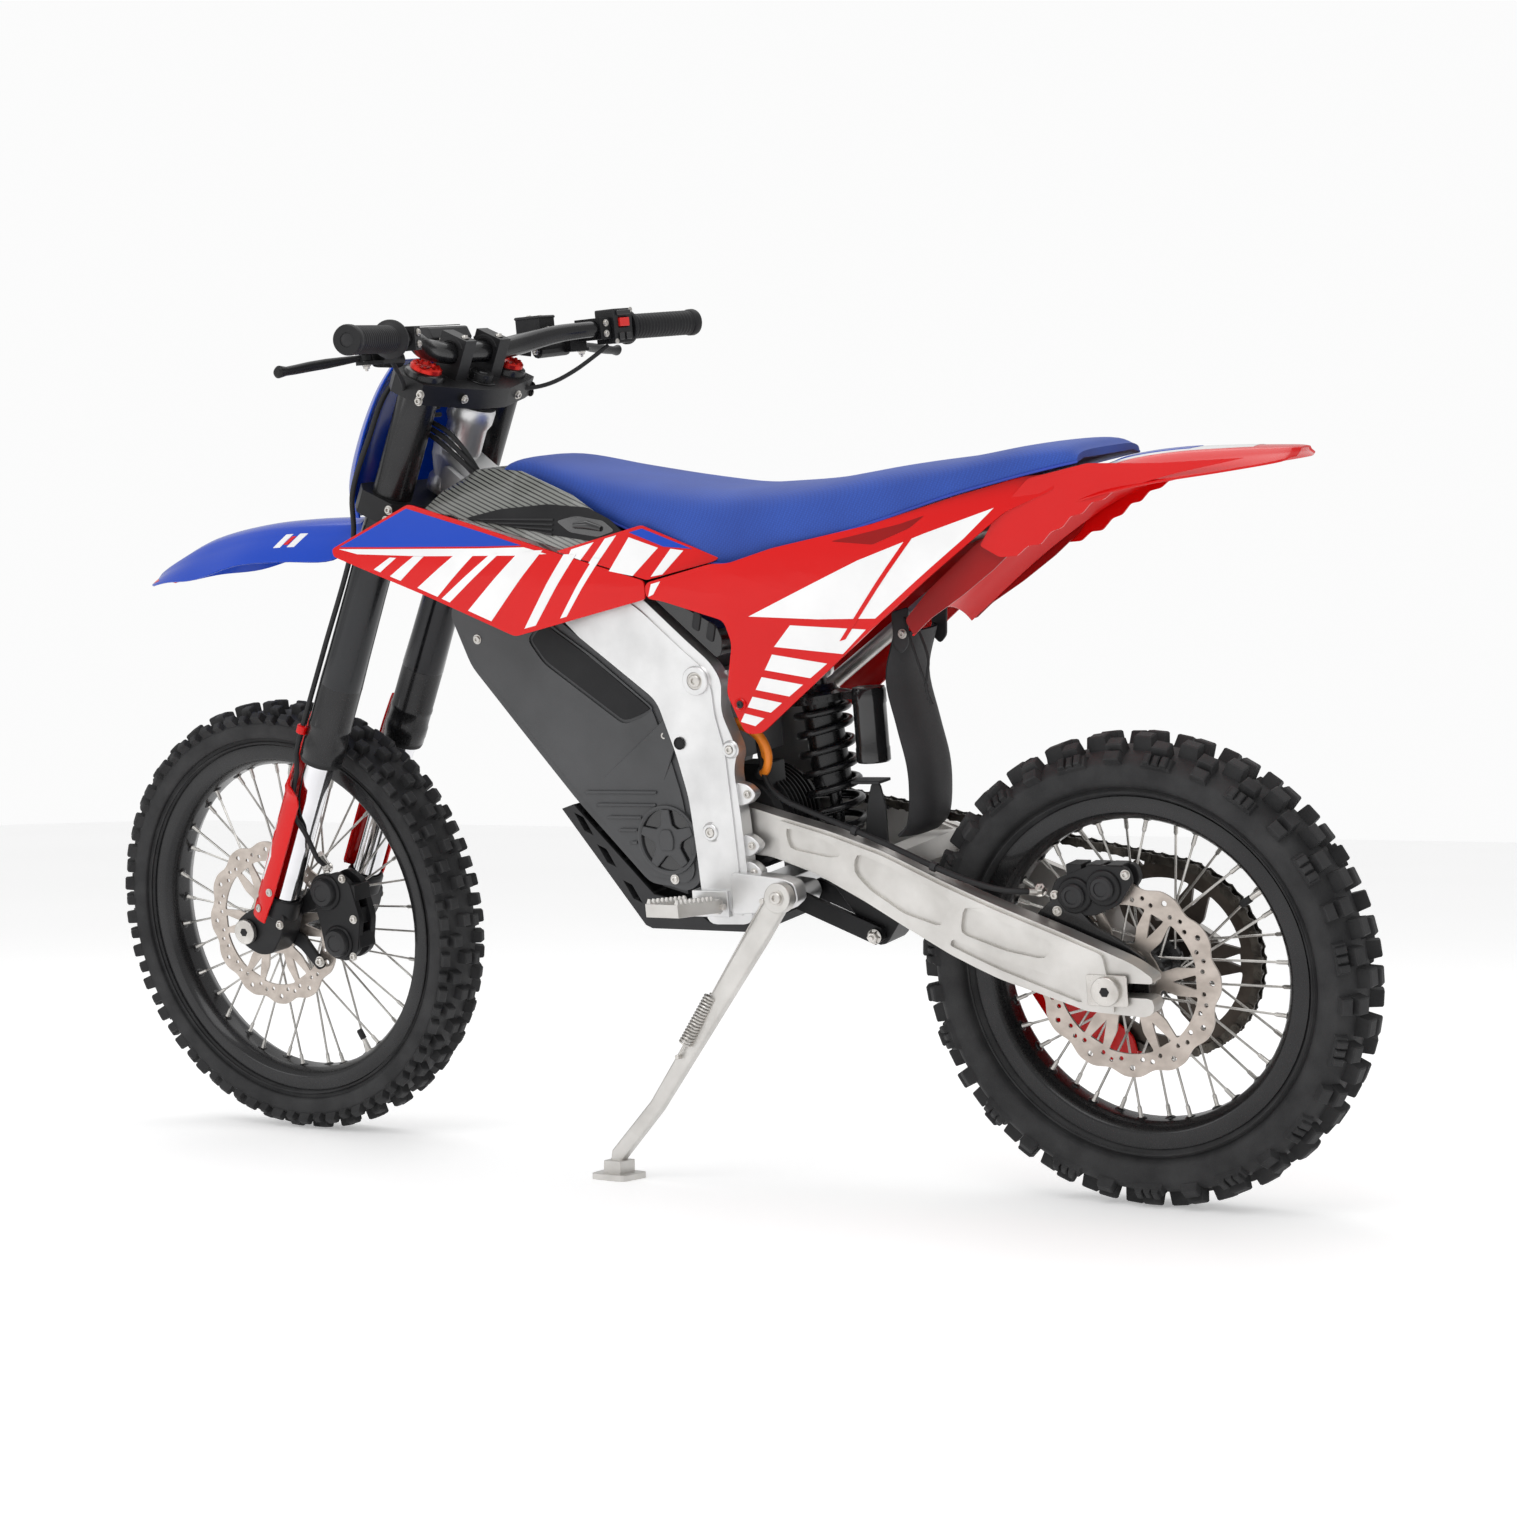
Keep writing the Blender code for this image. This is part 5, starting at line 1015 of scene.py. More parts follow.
def build_chain_guard():
    """Red guide round the chain's lower run, in front of the rear sprocket."""
    y, z = REAR_AXLE.y, REAR_AXLE.z
    outline = rounded([(y - 0.185, z - 0.046), (y - 0.15, z - 0.1), (y - 0.072, z - 0.135),
                       (y - 0.04, z - 0.126), (y - 0.046, z - 0.098), (y - 0.11, z - 0.052),
                       (y - 0.16, z - 0.03)], 0.01)
    cheek = prism(outline, -0.0545, -0.0505)
    other = prism(outline, -0.078, -0.074)
    sole = prism([(y - 0.178, z - 0.06), (y - 0.15, z - 0.1), (y - 0.072, z - 0.135), (y - 0.06, z - 0.132),
                  (y - 0.08, z - 0.122), (y - 0.146, z - 0.093), (y - 0.168, z - 0.058)], -0.0745, -0.054)
    piece("chain_guide", together(cheek, other, sole), "red", "swingarm", bevel=0.0012)
    slider = route([(CHAIN_X, 0.185, 0.505), (CHAIN_X, 0.23, 0.497), (CHAIN_X, 0.3, 0.4805)], 0.02)
    rows = [[p + Vector((x, 0, h)) for x, h in ((-0.012, -0.004), (-0.012, 0.001), (0.012, 0.001),
            (0.012, -0.004))] for p in slider]
    piece("chain_slider", loft(rows), "plastic", "swingarm", bevel=0.0008)


# ---------------------------------------------------------------- fork
def build_fork():
    """Outer tubes with bands, seals and red caps, and the chrome legs inside them."""
    for side, name in ((1, "left"), (-1, "right")):
        x = side * LEG_X
        foot = fork(x, LEG_BACK, 0)
        profile = [(0.0005, OUTER_TOP_S - 0.002), (0.0225, OUTER_TOP_S - 0.002),
                   (0.026, OUTER_TOP_S - 0.004), (OUTER_TOP_RADIUS, OUTER_TOP_S - 0.007),
                   (OUTER_TOP_RADIUS, 0.8), (0.0273, 0.6448), (0.0273, 0.6), (0.0279, 0.5), (0.0285, 0.45),
                   (0.0296, 0.402), (0.0297, 0.345)]
        profile += [(0.0304, 0.343), (0.0305, 0.338), (0.0297, 0.335), (0.0297, 0.318), (0.0307, 0.315),
                    (0.0307, 0.3), (0.03, 0.298), (0.03, OUTER_FOOT_S + 0.004), (0.0285, OUTER_FOOT_S),
                    (0.0218, OUTER_FOOT_S), (0.0218, 0.34), (0.0005, 0.34)]
        piece(f"fork_tube_{name}", lathe(profile, foot, FORK_UP, 56), "anodised", "steering",
              f"fork_outer_{name}", sharp=30)
        band = lathe([(0.027, 0.64), (0.0276, 0.638), (0.0279, 0.545), (0.0288, 0.45), (0.0299, 0.404),
                      (0.0292, 0.402), (0.027, 0.46)], foot, FORK_UP, 56, ring=True)
        piece(f"fork_band_{name}", band, "satin_grey", "steering", sharp=30)
        seal = lathe([(0.0209, OUTER_FOOT_S + 0.006), (0.0209, OUTER_FOOT_S - 0.004),
                      (0.0285, OUTER_FOOT_S - 0.003), (0.0297, OUTER_FOOT_S + 0.001),
                      (0.0297, OUTER_FOOT_S + 0.006)], foot, FORK_UP, 48, ring=True)
        piece(f"fork_seal_{name}", seal, "rubber", "steering", sharp=30)
        cap = lathe([(0.0005, OUTER_TOP_S + 0.003), (0.0075, OUTER_TOP_S + 0.003),
                     (0.0085, OUTER_TOP_S + 0.001), (0.0125, OUTER_TOP_S + 0.001),
                     (0.0135, OUTER_TOP_S + 0.005), (0.0195, OUTER_TOP_S + 0.005),
                     (0.0215, OUTER_TOP_S + 0.003), (0.0215, OUTER_TOP_S - 0.004),
                     (0.0005, OUTER_TOP_S - 0.004)], foot, FORK_UP, 40)
        piece(f"fork_cap_{name}", cap, "red_metal", "steering", sharp=30)
        clicks = [lathe([(0.0022, 0), (0.0022, 0.0022)], fork(x, LEG_BACK, OUTER_TOP_S + 0.0046) + spin,
                        FORK_UP, 8) for spin in [(ALONG_X * math.cos(a) + FORK_BACK * math.sin(a)) * 0.0165
                for a in [math.pi / 6 * k for k in range(12)]]]
        piece(f"fork_cap_studs_{name}", together(*clicks), "red_metal", "steering")
        tube = lathe([(0.0005, 0.03), (TUBE_RADIUS, 0.03), (TUBE_RADIUS, 0.42), (0.0005, 0.42)], foot,
                     FORK_UP, 56)
        piece(f"fork_leg_{name}", tube, "chrome", "fork_lower", f"fork_inner_{name}")
        build_fork_foot(side, name)
        build_guard(side, name)


def build_fork_foot(side, name):
    x = side * LEG_X
    outline = [(-0.023, 0.006), (-0.014, 0.022), (0.0, 0.038), (0.006, 0.052), (0.054, 0.052),
               (0.057, 0.02), (0.05, -0.012), (0.03, -0.024), (0.006, -0.025), (-0.014, -0.02),
               (-0.022, -0.01)]
    smoothed = rounded(outline, 0.009, 3)
    lug = extrude([fork(x - 0.0205, b, s) for b, s in smoothed], ALONG_X * 0.041)
    collar = lathe([(0.0215, 0.04), (0.0262, 0.04), (0.0268, 0.043), (0.0268, 0.066), (0.025, 0.07),
                    (0.0215, 0.07)], fork(x, LEG_BACK, 0), FORK_UP, 40, ring=True)
    piece(f"fork_foot_{name}", together(lug, collar), "cast_black", "fork_lower", bevel=0.003, segments=3)
    pinch = [bolt(fork(x + side * 0.012, b, -0.021), -FORK_UP, 0.0045, 0.004) for b in (0.004, 0.022)]
    pinch.append(bolt(fork(x + side * 0.0205, 0.05, 0.036), ALONG_X * side, 0.0048, 0.004))
    piece(f"fork_foot_bolts_{name}", together(*pinch), "steel", "fork_lower")


GUARD_EDGES = [  # up the fork: first and last angle round the leg, in degrees
    (0.034, 46, 97), (0.056, 42, 99), (0.066, -14, 101), (0.074, -24, 102), (0.15, -25, 103),
    (0.222, -25, 103), (0.236, -26, 96),
    (0.243, -24, 60), (0.252, -22, 34), (0.268, -20, 14), (0.3, -17, 6), (0.338, -9, 2), (0.345, -6, 0)]


def guard_angles(s):
    for low, high in zip(GUARD_EDGES, GUARD_EDGES[1:]):
        if s <= high[0]:
            t = (s - low[0]) / (high[0] - low[0])
            return low[1] + (high[1] - low[1]) * t, low[2] + (high[2] - low[2]) * t
    return GUARD_EDGES[-1][1:]


def guard_point(side, s, share, lift=0.0):
    """A point on the guard's outside: s up the fork, share from its front edge to its rear one."""
    start, end = guard_angles(s)
    angle = math.radians(start + (end - start) * share)
    flare = 0.0025 * math.exp(-((s - 0.238) / 0.006) ** 2)
    radius = 0.0372 + flare + lift
    return fork(side * (LEG_X + radius * math.sin(angle)), LEG_BACK - radius * math.cos(angle), s)


def build_guard(side, name):
    heights = []
    for low, high in zip(GUARD_EDGES, GUARD_EDGES[1:]):
        count = max(1, round((high[0] - low[0]) / 0.008))
        heights += [low[0] + (high[0] - low[0]) * k / count for k in range(count)]
    heights.append(GUARD_EDGES[-1][0])
    rows = [[guard_point(side, s, k / 16) for k in range(17)] for s in heights]
    piece(f"guard_{name}", shell(rows, -0.003 * side), "red", "fork_lower", f"fork_guard_{name}",
          bevel=0.0008)
    marks = [[(0.088, 0.52), (0.092, 0.64), (0.132, 0.7), (0.15, 0.58), (0.143, 0.56), (0.128, 0.62),
              (0.101, 0.58), (0.098, 0.52)], [(0.112, 0.44), (0.118, 0.56), (0.126, 0.54), (0.12, 0.44)],
             [(0.158, 0.5), (0.172, 0.6), (0.186, 0.58), (0.17, 0.48)]]
    solids = [draped(mark, lambda s, t, h: guard_point(side, s, t, h), 0.006, PAINT_LIFT, 0.0009)
              for mark in marks]
    piece(f"guard_marks_{name}", together(*solids), "white", "fork_lower")
    screws = [bolt(guard_point(side, s, t, 0.0002),
                   (guard_point(side, s, t, 0.01) - guard_point(side, s, t)).normalized(), 0.0042, 0.0025)
              for s, t in ((0.05, 0.5), (0.082, 0.9))]
    piece(f"guard_screws_{name}", together(*screws), "steel", "fork_lower")


# ---------------------------------------------------------------- chassis
def spar_x(y):
    return mix(0.046, SPAR_X, (y + 0.29) / 0.25)


def on_spar(y, z, height):
    return Vector((spar_x(y) + height, y, z))


SPAR = [(-0.3, 0.905), (-0.288, 0.962), (-0.236, 0.928), (-0.15, 0.893), (0.0, 0.82), (0.06, 0.778),
        (0.122, 0.722), (0.157, 0.692), (0.171, 0.668), (0.166, 0.63), (0.178, 0.6), (0.186, 0.58),
        (0.178, 0.556), (0.183, 0.49), (0.187, 0.358), (0.12, 0.356), (0.114, 0.4), (0.112, 0.451),
        (0.107, 0.52), (0.094, 0.575), (0.071, 0.645), (-0.069, 0.751), (-0.2, 0.848)]
SPAR_FACE = [(-0.15, 0.874), (-0.01, 0.806), (0.058, 0.762), (0.114, 0.712), (0.148, 0.684), (0.156, 0.66),
             (0.157, 0.628), (0.168, 0.58), (0.172, 0.49), (0.176, 0.368), (0.158, 0.368), (0.15, 0.44),
             (0.136, 0.52), (0.124, 0.585), (0.104, 0.652), (0.06, 0.698), (-0.06, 0.782), (-0.165, 0.858)]


def neck_ring(wide, y, low, high):
    """One eight-sided section of the casting behind the head tube."""
    middle = (low + high) / 2
    half = (high - low) / 2
    shape = [(1, -0.55), (1, 0.45), (0.55, 0.92), (-0.55, 0.92), (-1, 0.45), (-1, -0.55), (-0.6, -1),
             (0.6, -1)]
    return [Vector((wide * u, y, middle + half * v)) for u, v in shape]


NECK_RINGS = [neck_ring(0.026, -0.322, 0.902, 1.006), neck_ring(0.031, -0.3, 0.898, 1.0),
              neck_ring(0.043, -0.272, 0.893, 0.974), neck_ring(0.052, -0.24, 0.886, 0.94),
              neck_ring(0.058, -0.2, 0.872, 0.908)]


def boss(y, z, radius, height=0.004):
    return lathe([(0.0005, 0), (radius + 0.002, 0), (radius, 0.002), (radius, height - 0.001),
                  (radius - 0.001, height), (radius * 0.62, height), (radius * 0.55, height - 0.002),
                  (0.0005, height - 0.002)], (spar_x(y), y, z), ALONG_X, 32)


def build_frame():
    """Twin cast spars with a raised face, the head tube and the casting behind it."""
    spar = draped(rounded(SPAR, 0.014, 4), on_spar, 0.03, 0.0, 0.023)
    face = draped(rounded(SPAR_FACE, 0.012, 3), on_spar, 0.03, 0.0022, 0.004)
    piece("frame_spars", both(spar), "cast", "chassis", "frame", bevel=0.0035, segments=3)
    piece("frame_faces", both(face), "cast", "chassis", bevel=0.0016)
    head_low, head_high = 0.694, 0.8225
    head = lathe([(0.018, head_low), (0.031, head_low), (0.0325, head_low + 0.004),
                  (0.0325, head_low + 0.018), (0.028, head_low + 0.026), (0.0275, head_high - 0.03),
                  (0.032, head_high - 0.02), (0.0325, head_high - 0.004), (0.031, head_high),
                  (0.018, head_high)], fork(0, STEER_BACK, 0), FORK_UP, 40, ring=True)
    piece("frame_head_tube", head, "cast", "chassis", sharp=30)
    piece("frame_neck", loft(NECK_RINGS), "cast", "chassis", bevel=0.004, segments=3)


def build_frame_lugs():
    """Cross-members, lugs, bosses, bolts and plugs of the frame."""
    cross_low = box((-0.098, 0.13, 0.358), (0.098, 0.18, 0.396))
    cross_high = box((-0.098, 0.141, 0.64), (0.098, 0.168, 0.68))
    stand = rounded([(0.164, 0.3715), (0.245, 0.3785), (0.262, 0.392), (0.258, 0.414), (0.24, 0.4205),
                     (0.166, 0.4265)], 0.006, 3)
    peg = box((0.105, 0.1036, 0.3672), (0.1255, 0.1572, 0.4017))
    rod_lug = prism(rounded([(0.17, 0.362), (0.205, 0.362), (0.212, 0.376), (0.205, 0.39), (0.17, 0.394)],
                            0.006), -0.02, 0.02)
    shock_lug = prism(rounded([(0.16, 0.645), (0.236, 0.65), (0.252, 0.658), (0.252, 0.674), (0.238, 0.682),
            (0.16, 0.678)], 0.006), 0.017, 0.026)
    lugs = [rod_lug, shock_lug, mirrored(shock_lug), cross_low, cross_high, peg, mirrored(peg),
            prism(stand, 0.1035, 0.1275)]
    for z in (0.524, 0.458, 0.424):
        ear = rounded([(0.17, z - 0.016), (0.192, z - 0.013), (0.206, z), (0.192, z + 0.013),
                       (0.17, z + 0.016)], 0.007, 3)
        lugs += [prism(ear, 0.098, 0.113), mirrored(prism(ear, 0.098, 0.113))]
    piece("frame_brackets", together(*lugs), "cast", "chassis", bevel=0.002)
    bosses = [boss(0.135, 0.67, 0.0185, 0.0065), boss(0.176, 0.582, 0.01),
              boss(0.137, 0.476, 0.011, 0.0045)]
    piece("frame_bosses", both(together(*bosses)), "cast", "chassis", sharp=30)
    bolts = [bolt((SPAR_X + 0.0045, 0.135, 0.67), ALONG_X, 0.0082, 0.004),
             bolt((SPAR_X + 0.002, 0.176, 0.582), ALONG_X, 0.0052), bolt((SPAR_X + 0.0025, 0.137, 0.476),
            ALONG_X, 0.006, 0.003)]
    bolts += [bolt((0.113, 0.192, z), ALONG_X, 0.0042, 0.003) for z in (0.524, 0.458, 0.424)]
    piece("frame_bolts", both(together(*bolts)), "steel", "chassis")
    hole = lathe([(0.0005, 0.001), (0.0062, 0.001), (0.0072, 0.0026), (0.0082, 0.001), (0.0005, -0.001)],
                 (SPAR_X + 0.001, 0.101, 0.59), ALONG_X, 24)
    piece("frame_plugs", both(hole), "case_dark", "chassis")


def build_subframe():
    """Welded tubes under the seat."""
    upper = smooth([(0.098, 0.176, 0.745), (0.098, 0.24, 0.77), (0.09, 0.46, 0.83), (0.074, 0.6, 0.868)], 6)
    lower = smooth([(0.096, 0.186, 0.622), (0.094, 0.41, 0.776), (0.086, 0.52, 0.848),
                    (0.074, 0.58, 0.866)], 6)
    tubes = [sweep(upper, 0.009, 20), sweep(lower, 0.01, 20),
             rod((0.098, 0.196, 0.606), (0.098, 0.196, 0.752), 0.008, 16)]
    tubes += [mirrored(t) for t in tubes]
    tubes += [rod((-0.098, 0.196, 0.752), (0.098, 0.196, 0.752), 0.008, 16),
              rod((-0.092, 0.5, 0.84), (0.092, 0.5, 0.84), 0.008, 16)]
    piece("subframe_tubes", together(*tubes), "blasted", "chassis", "subframe", sharp=40)


COVER = [(-0.258, 0.764), (-0.23, 0.692), (-0.158, 0.606), (-0.08, 0.514),
         (0.026, 0.404)] + arc((0.078, 0.425), 0.03, 235, 360, 5) + [(0.104, 0.47), (0.098, 0.52),
        (0.086, 0.567), (0.062, 0.64), (-0.074, 0.744), (-0.2, 0.838)]
RECESS = [(-0.133, 0.726), (-0.11, 0.694), (0.008, 0.612), (0.04, 0.622), (0.058, 0.632), (-0.03, 0.702),
          (-0.105, 0.752)]
PORT = (0.061, 0.462)


def build_battery():
    """Case with its side cover: a rimmed face, a sunk inset, ribs and a raised facet."""
    finer("battery_case", "case", 0.0025, 3)
    base = plate(rounded(COVER, 0.012, 3), [], 0.0804, 0.1015)
    piece("battery_cover_base", base, "case", "chassis", "battery_cover", bevel=0.002)
    rim = inset(rounded(COVER, 0.012, 3), 0.0105)
    recess = rounded(RECESS, 0.01, 3)
    dish = circle(PORT, 0.0425, 48)
    face = plate(rim, [recess, dish], 0.1, 0.1042)
    piece("battery_cover_face", face, "case", "chassis", bevel=0.0014)
    piece("battery_cover_inset", plate(inset(recess, 0.0045), [], 0.1, 0.1032), "case_dark", "chassis",
          bevel=0.0016)
    ribs = []
    for k in range(5):
        z = 0.524 - 0.0165 * k
        start = -0.08 + (0.514 - z) * 0.964 + 0.026
        end = 0.05
        if abs(z - PORT[1]) < 0.0475:
            end = PORT[0] - math.sqrt(max(0.0, 0.0475 ** 2 - (z - PORT[1]) ** 2))
        ribs.append(prism([(start, z - 0.0022), (end, z - 0.0022), (end, z + 0.0022),
                           (start + 0.006, z + 0.0022)], 0.103, 0.1068))
    piece("battery_cover_ribs", together(*ribs), "case", "chassis", bevel=0.0014)
    facet = [Vector((0.104, -0.046, 0.532)), Vector((0.1075, 0.076, 0.622)), Vector((0.1075, 0.084, 0.58)),
             Vector((0.104, 0.06, 0.534))]
    piece("battery_cover_facet", extrude(facet, (-0.004, 0, 0)), "case", "chassis", bevel=0.001)


def build_charge_port():
    """Ringed charging port under a star-shaped cap."""
    centre = (0.1015, *PORT)
    rim_ring = lathe([(0.0425, 0), (0.0462, 0), (0.0455, 0.0055), (0.043, 0.006), (0.0405, 0.0045),
                      (0.0405, 0)], centre, ALONG_X, 56, ring=True)
    star = []
    for i in range(5):
        arm = 72 * i + 90
        star += [polar_at(PORT, 0.0405, arm - 8), polar_at(PORT, 0.0405, arm + 8),
                 polar_at(PORT, 0.0215, arm + 24), polar_at(PORT, 0.0205, arm + 36),
                 polar_at(PORT, 0.0215, arm + 48)]
    piece("battery_port_ring", rim_ring, "case", "chassis", sharp=40)
    piece("battery_port_floor", lathe([(0.0005, 0), (0.0405, 0), (0.0405, 0.0008), (0.0005, 0.0008)],
            centre, ALONG_X, 48), "gloss_black", "chassis")
    cap = rounded([(PORT[0] - 0.009, PORT[1] - 0.013), (PORT[0] + 0.009, PORT[1] - 0.013),
                   (PORT[0] + 0.011, PORT[1] + 0.002), (PORT[0] + 0.007, PORT[1] + 0.014),
                   (PORT[0] - 0.007, PORT[1] + 0.014), (PORT[0] - 0.011, PORT[1] + 0.002)], 0.003, 2)
    piece("battery_port_star", together(plate(star, [], 0.1035, 0.1072), prism(cap, 0.107, 0.1095)), "case",
          "chassis", bevel=0.0012)


def build_battery_trim():
    """Cover screws, skid plate and the clasped cover on top of the case."""
    screws = [bolt((0.1042, y, z), ALONG_X, 0.0048, 0.003)
              for y, z in ((0.07, 0.598), (0.066, 0.4105), (-0.214, 0.728))]
    piece("battery_cover_screws", together(*screws), "steel", "chassis")
    finer("skid_plate", "plastic", 0.0014)
    handle = rounded([(0.03, 0.808), (0.064, 0.782), (0.127, 0.726), (0.161, 0.696), (0.169, 0.702),
                      (0.171, 0.722), (0.164, 0.738), (0.11, 0.766), (0.064, 0.798)], 0.005, 2)
    piece("battery_top_cover", plate(handle, [], 0.07, 0.108), "gloss_black", "chassis", bevel=0.003)
    clasp = [prism(rounded([(y, z), (y + 0.01, z - 0.006), (y + 0.016, z + 0.016), (y + 0.006, z + 0.022)],
                           0.003, 2), 0.107, 0.11) for y, z in ((0.128, 0.736), (0.148, 0.722))]
    piece("battery_top_clasps", together(*clasp), "plastic", "chassis", bevel=0.001)


def polar_at(centre, radius, degrees):
    angle = math.radians(degrees)
    return (centre[0] + radius * math.cos(angle), centre[1] + radius * math.sin(angle))


def build_motor():
    """Finned motor with two orange phase cables and their boots."""
    finer("motor", "cast_black", 0.002, 2)
    rings = [lathe([(0.06, x - 0.0016), (0.0655, x - 0.001), (0.0655, x + 0.001), (0.06, x + 0.0016)],
                   SWING_PIVOT, ALONG_X, 56, ring=True) for x in [-0.03 + 0.009 * k for k in range(8)]]
    piece("motor_fins", together(*rings), "cast_black", "chassis", sharp=30)
    first = [(0.074, 0.1368, 0.606), (0.075, 0.16, 0.611), (0.077, 0.192, 0.596), (0.077, 0.205, 0.572),
             (0.072, 0.198, 0.549), (0.0585, 0.18, 0.541)]
    second = [(0.058, 0.1368, 0.6), (0.06, 0.16, 0.602), (0.062, 0.184, 0.588), (0.06, 0.19, 0.568),
              (0.052, 0.184, 0.552), (0.04, 0.176, 0.546)]
    piece("phase_cable_outer", sweep(route(first, 0.006), 0.0055, 16), "orange", "chassis", "phase_cable")
    piece("phase_cable_inner", sweep(route(second, 0.006), 0.005, 16), "orange", "chassis")
    boots = [sweep([Vector(p[0]), Vector(p[0]).lerp(Vector(p[1]), 0.45)], [0.0085, 0.0072], 16)
             for p in (first, second, first[::-1], second[::-1])]
    piece("phase_cable_boots", together(*boots), "rubber", "chassis", bevel=0.001)


# ---------------------------------------------------------------- bodywork
def soft_abs(value):
    return math.sqrt(value * value + 0.01 ** 2)


def shroud_x(y, z):
    crease = 0.845 - 0.12 * (y + 0.39)
    return mix(0.168, 0.146, (y + 0.39) / 0.48) - 0.1 * soft_abs(z - crease)


def side_panel_x(y, z):
    return mix(0.148, 0.104, (y - 0.2) / 0.42) - 0.1 * soft_abs(z - 0.79)


def upper_panel_x(y, z):
    """The plane through the shroud's upper edge and the seat's lower edge."""
    return 0.3517 - 0.0999 * y - 0.2479 * z


def on_panel(surface):
    return lambda y, z, height: Vector((surface(y, z) + height, y, z))


SHROUD = [(-0.394, 0.861), (-0.268, 0.914), (-0.155, 0.878), (-0.043, 0.841), (0.086, 0.8), (0.086, 0.777),
          (-0.119, 0.735), (-0.25, 0.793), (-0.392, 0.851)]
UPPER_PANEL = [(-0.043, 0.8425), (0.078, 0.869), (0.19, 0.8235), (0.182, 0.8195), (0.09, 0.801)]
SIDE_PANEL = [(0.0885, 0.7975), (0.186, 0.818), (0.211, 0.8175), (0.27, 0.833), (0.4, 0.8545),
              (0.514, 0.883), (0.594, 0.9), (0.632, 0.902), (0.636, 0.884), (0.571, 0.86), (0.4, 0.734),
              (0.229, 0.603), (0.207, 0.603), (0.188, 0.655), (0.205, 0.718), (0.198, 0.747),
              (0.112, 0.774), (0.0885, 0.778)]


def shroud_low(y):
    """Height of the shroud's lower edge."""
    corners = [(-0.392, 0.851), (-0.25, 0.793), (-0.119, 0.735), (0.086, 0.777)]
    for a, b in zip(corners, corners[1:]):
        if y <= b[0]:
            return a[1] + (b[1] - a[1]) * (y - a[0]) / (b[0] - a[0])
    return corners[-1][1]


def slanted(top_y, top_z, width, run):
    """A bar that leans back from the lower edge to a point on the white band."""
    low_y = top_y - run
    return [(top_y, top_z), (top_y + width, top_z - 0.001),
            (low_y + width, shroud_low(low_y + width) + 0.0065), (low_y, shroud_low(low_y) + 0.0065)]


def side_rungs():
    """White bars that shorten towards the panel's lower tip."""
    first, last = (Vector((0.203, 0.619)), Vector((0.26, 0.706))), (Vector((0.222, 0.613)),
            Vector((0.334, 0.692)))
    bars = []
    for low, high in ((0.0, 0.12), (0.21, 0.36), (0.46, 0.64), (0.74, 0.96)):
        bars.append([tuple(first[0].lerp(first[1], low)), tuple(first[0].lerp(first[1], high)),
                     tuple(last[0].lerp(last[1], high)), tuple(last[0].lerp(last[1], low))])
    return bars


def films(name, outlines, place, key, step=0.02):
    """Thin coloured films on both sides of the bodywork."""
    piece(name, both(together(*[draped(p, place, step, PAINT_LIFT, FILM_DEPTH) for p in outlines])), key,
          "chassis")


def build_side_bodywork():
    """Shrouds, side panels and the small panels between them, creased along their length."""
    shroud = draped(rounded(SHROUD, 0.006, 3), on_panel(shroud_x), 0.02, 0.0, 0.003)
    upper = draped(rounded(UPPER_PANEL, 0.003, 2), on_panel(upper_panel_x), 0.03, 0.0, 0.0025)
    side = draped(rounded(SIDE_PANEL, 0.008, 3), on_panel(side_panel_x), 0.02, 0.0, 0.003)
    for name, solid, stands in (("shroud", shroud, "shroud"), ("side_panel", side, "side_panel")):
        piece(f"{name}_left_shell", solid, "red", "chassis", f"{stands}_left", bevel=0.0012)
        piece(f"{name}_right_shell", mirrored(solid), "red", "chassis", f"{stands}_right", bevel=0.0012)
    piece("upper_panels", both(upper), "red", "chassis", bevel=0.001)


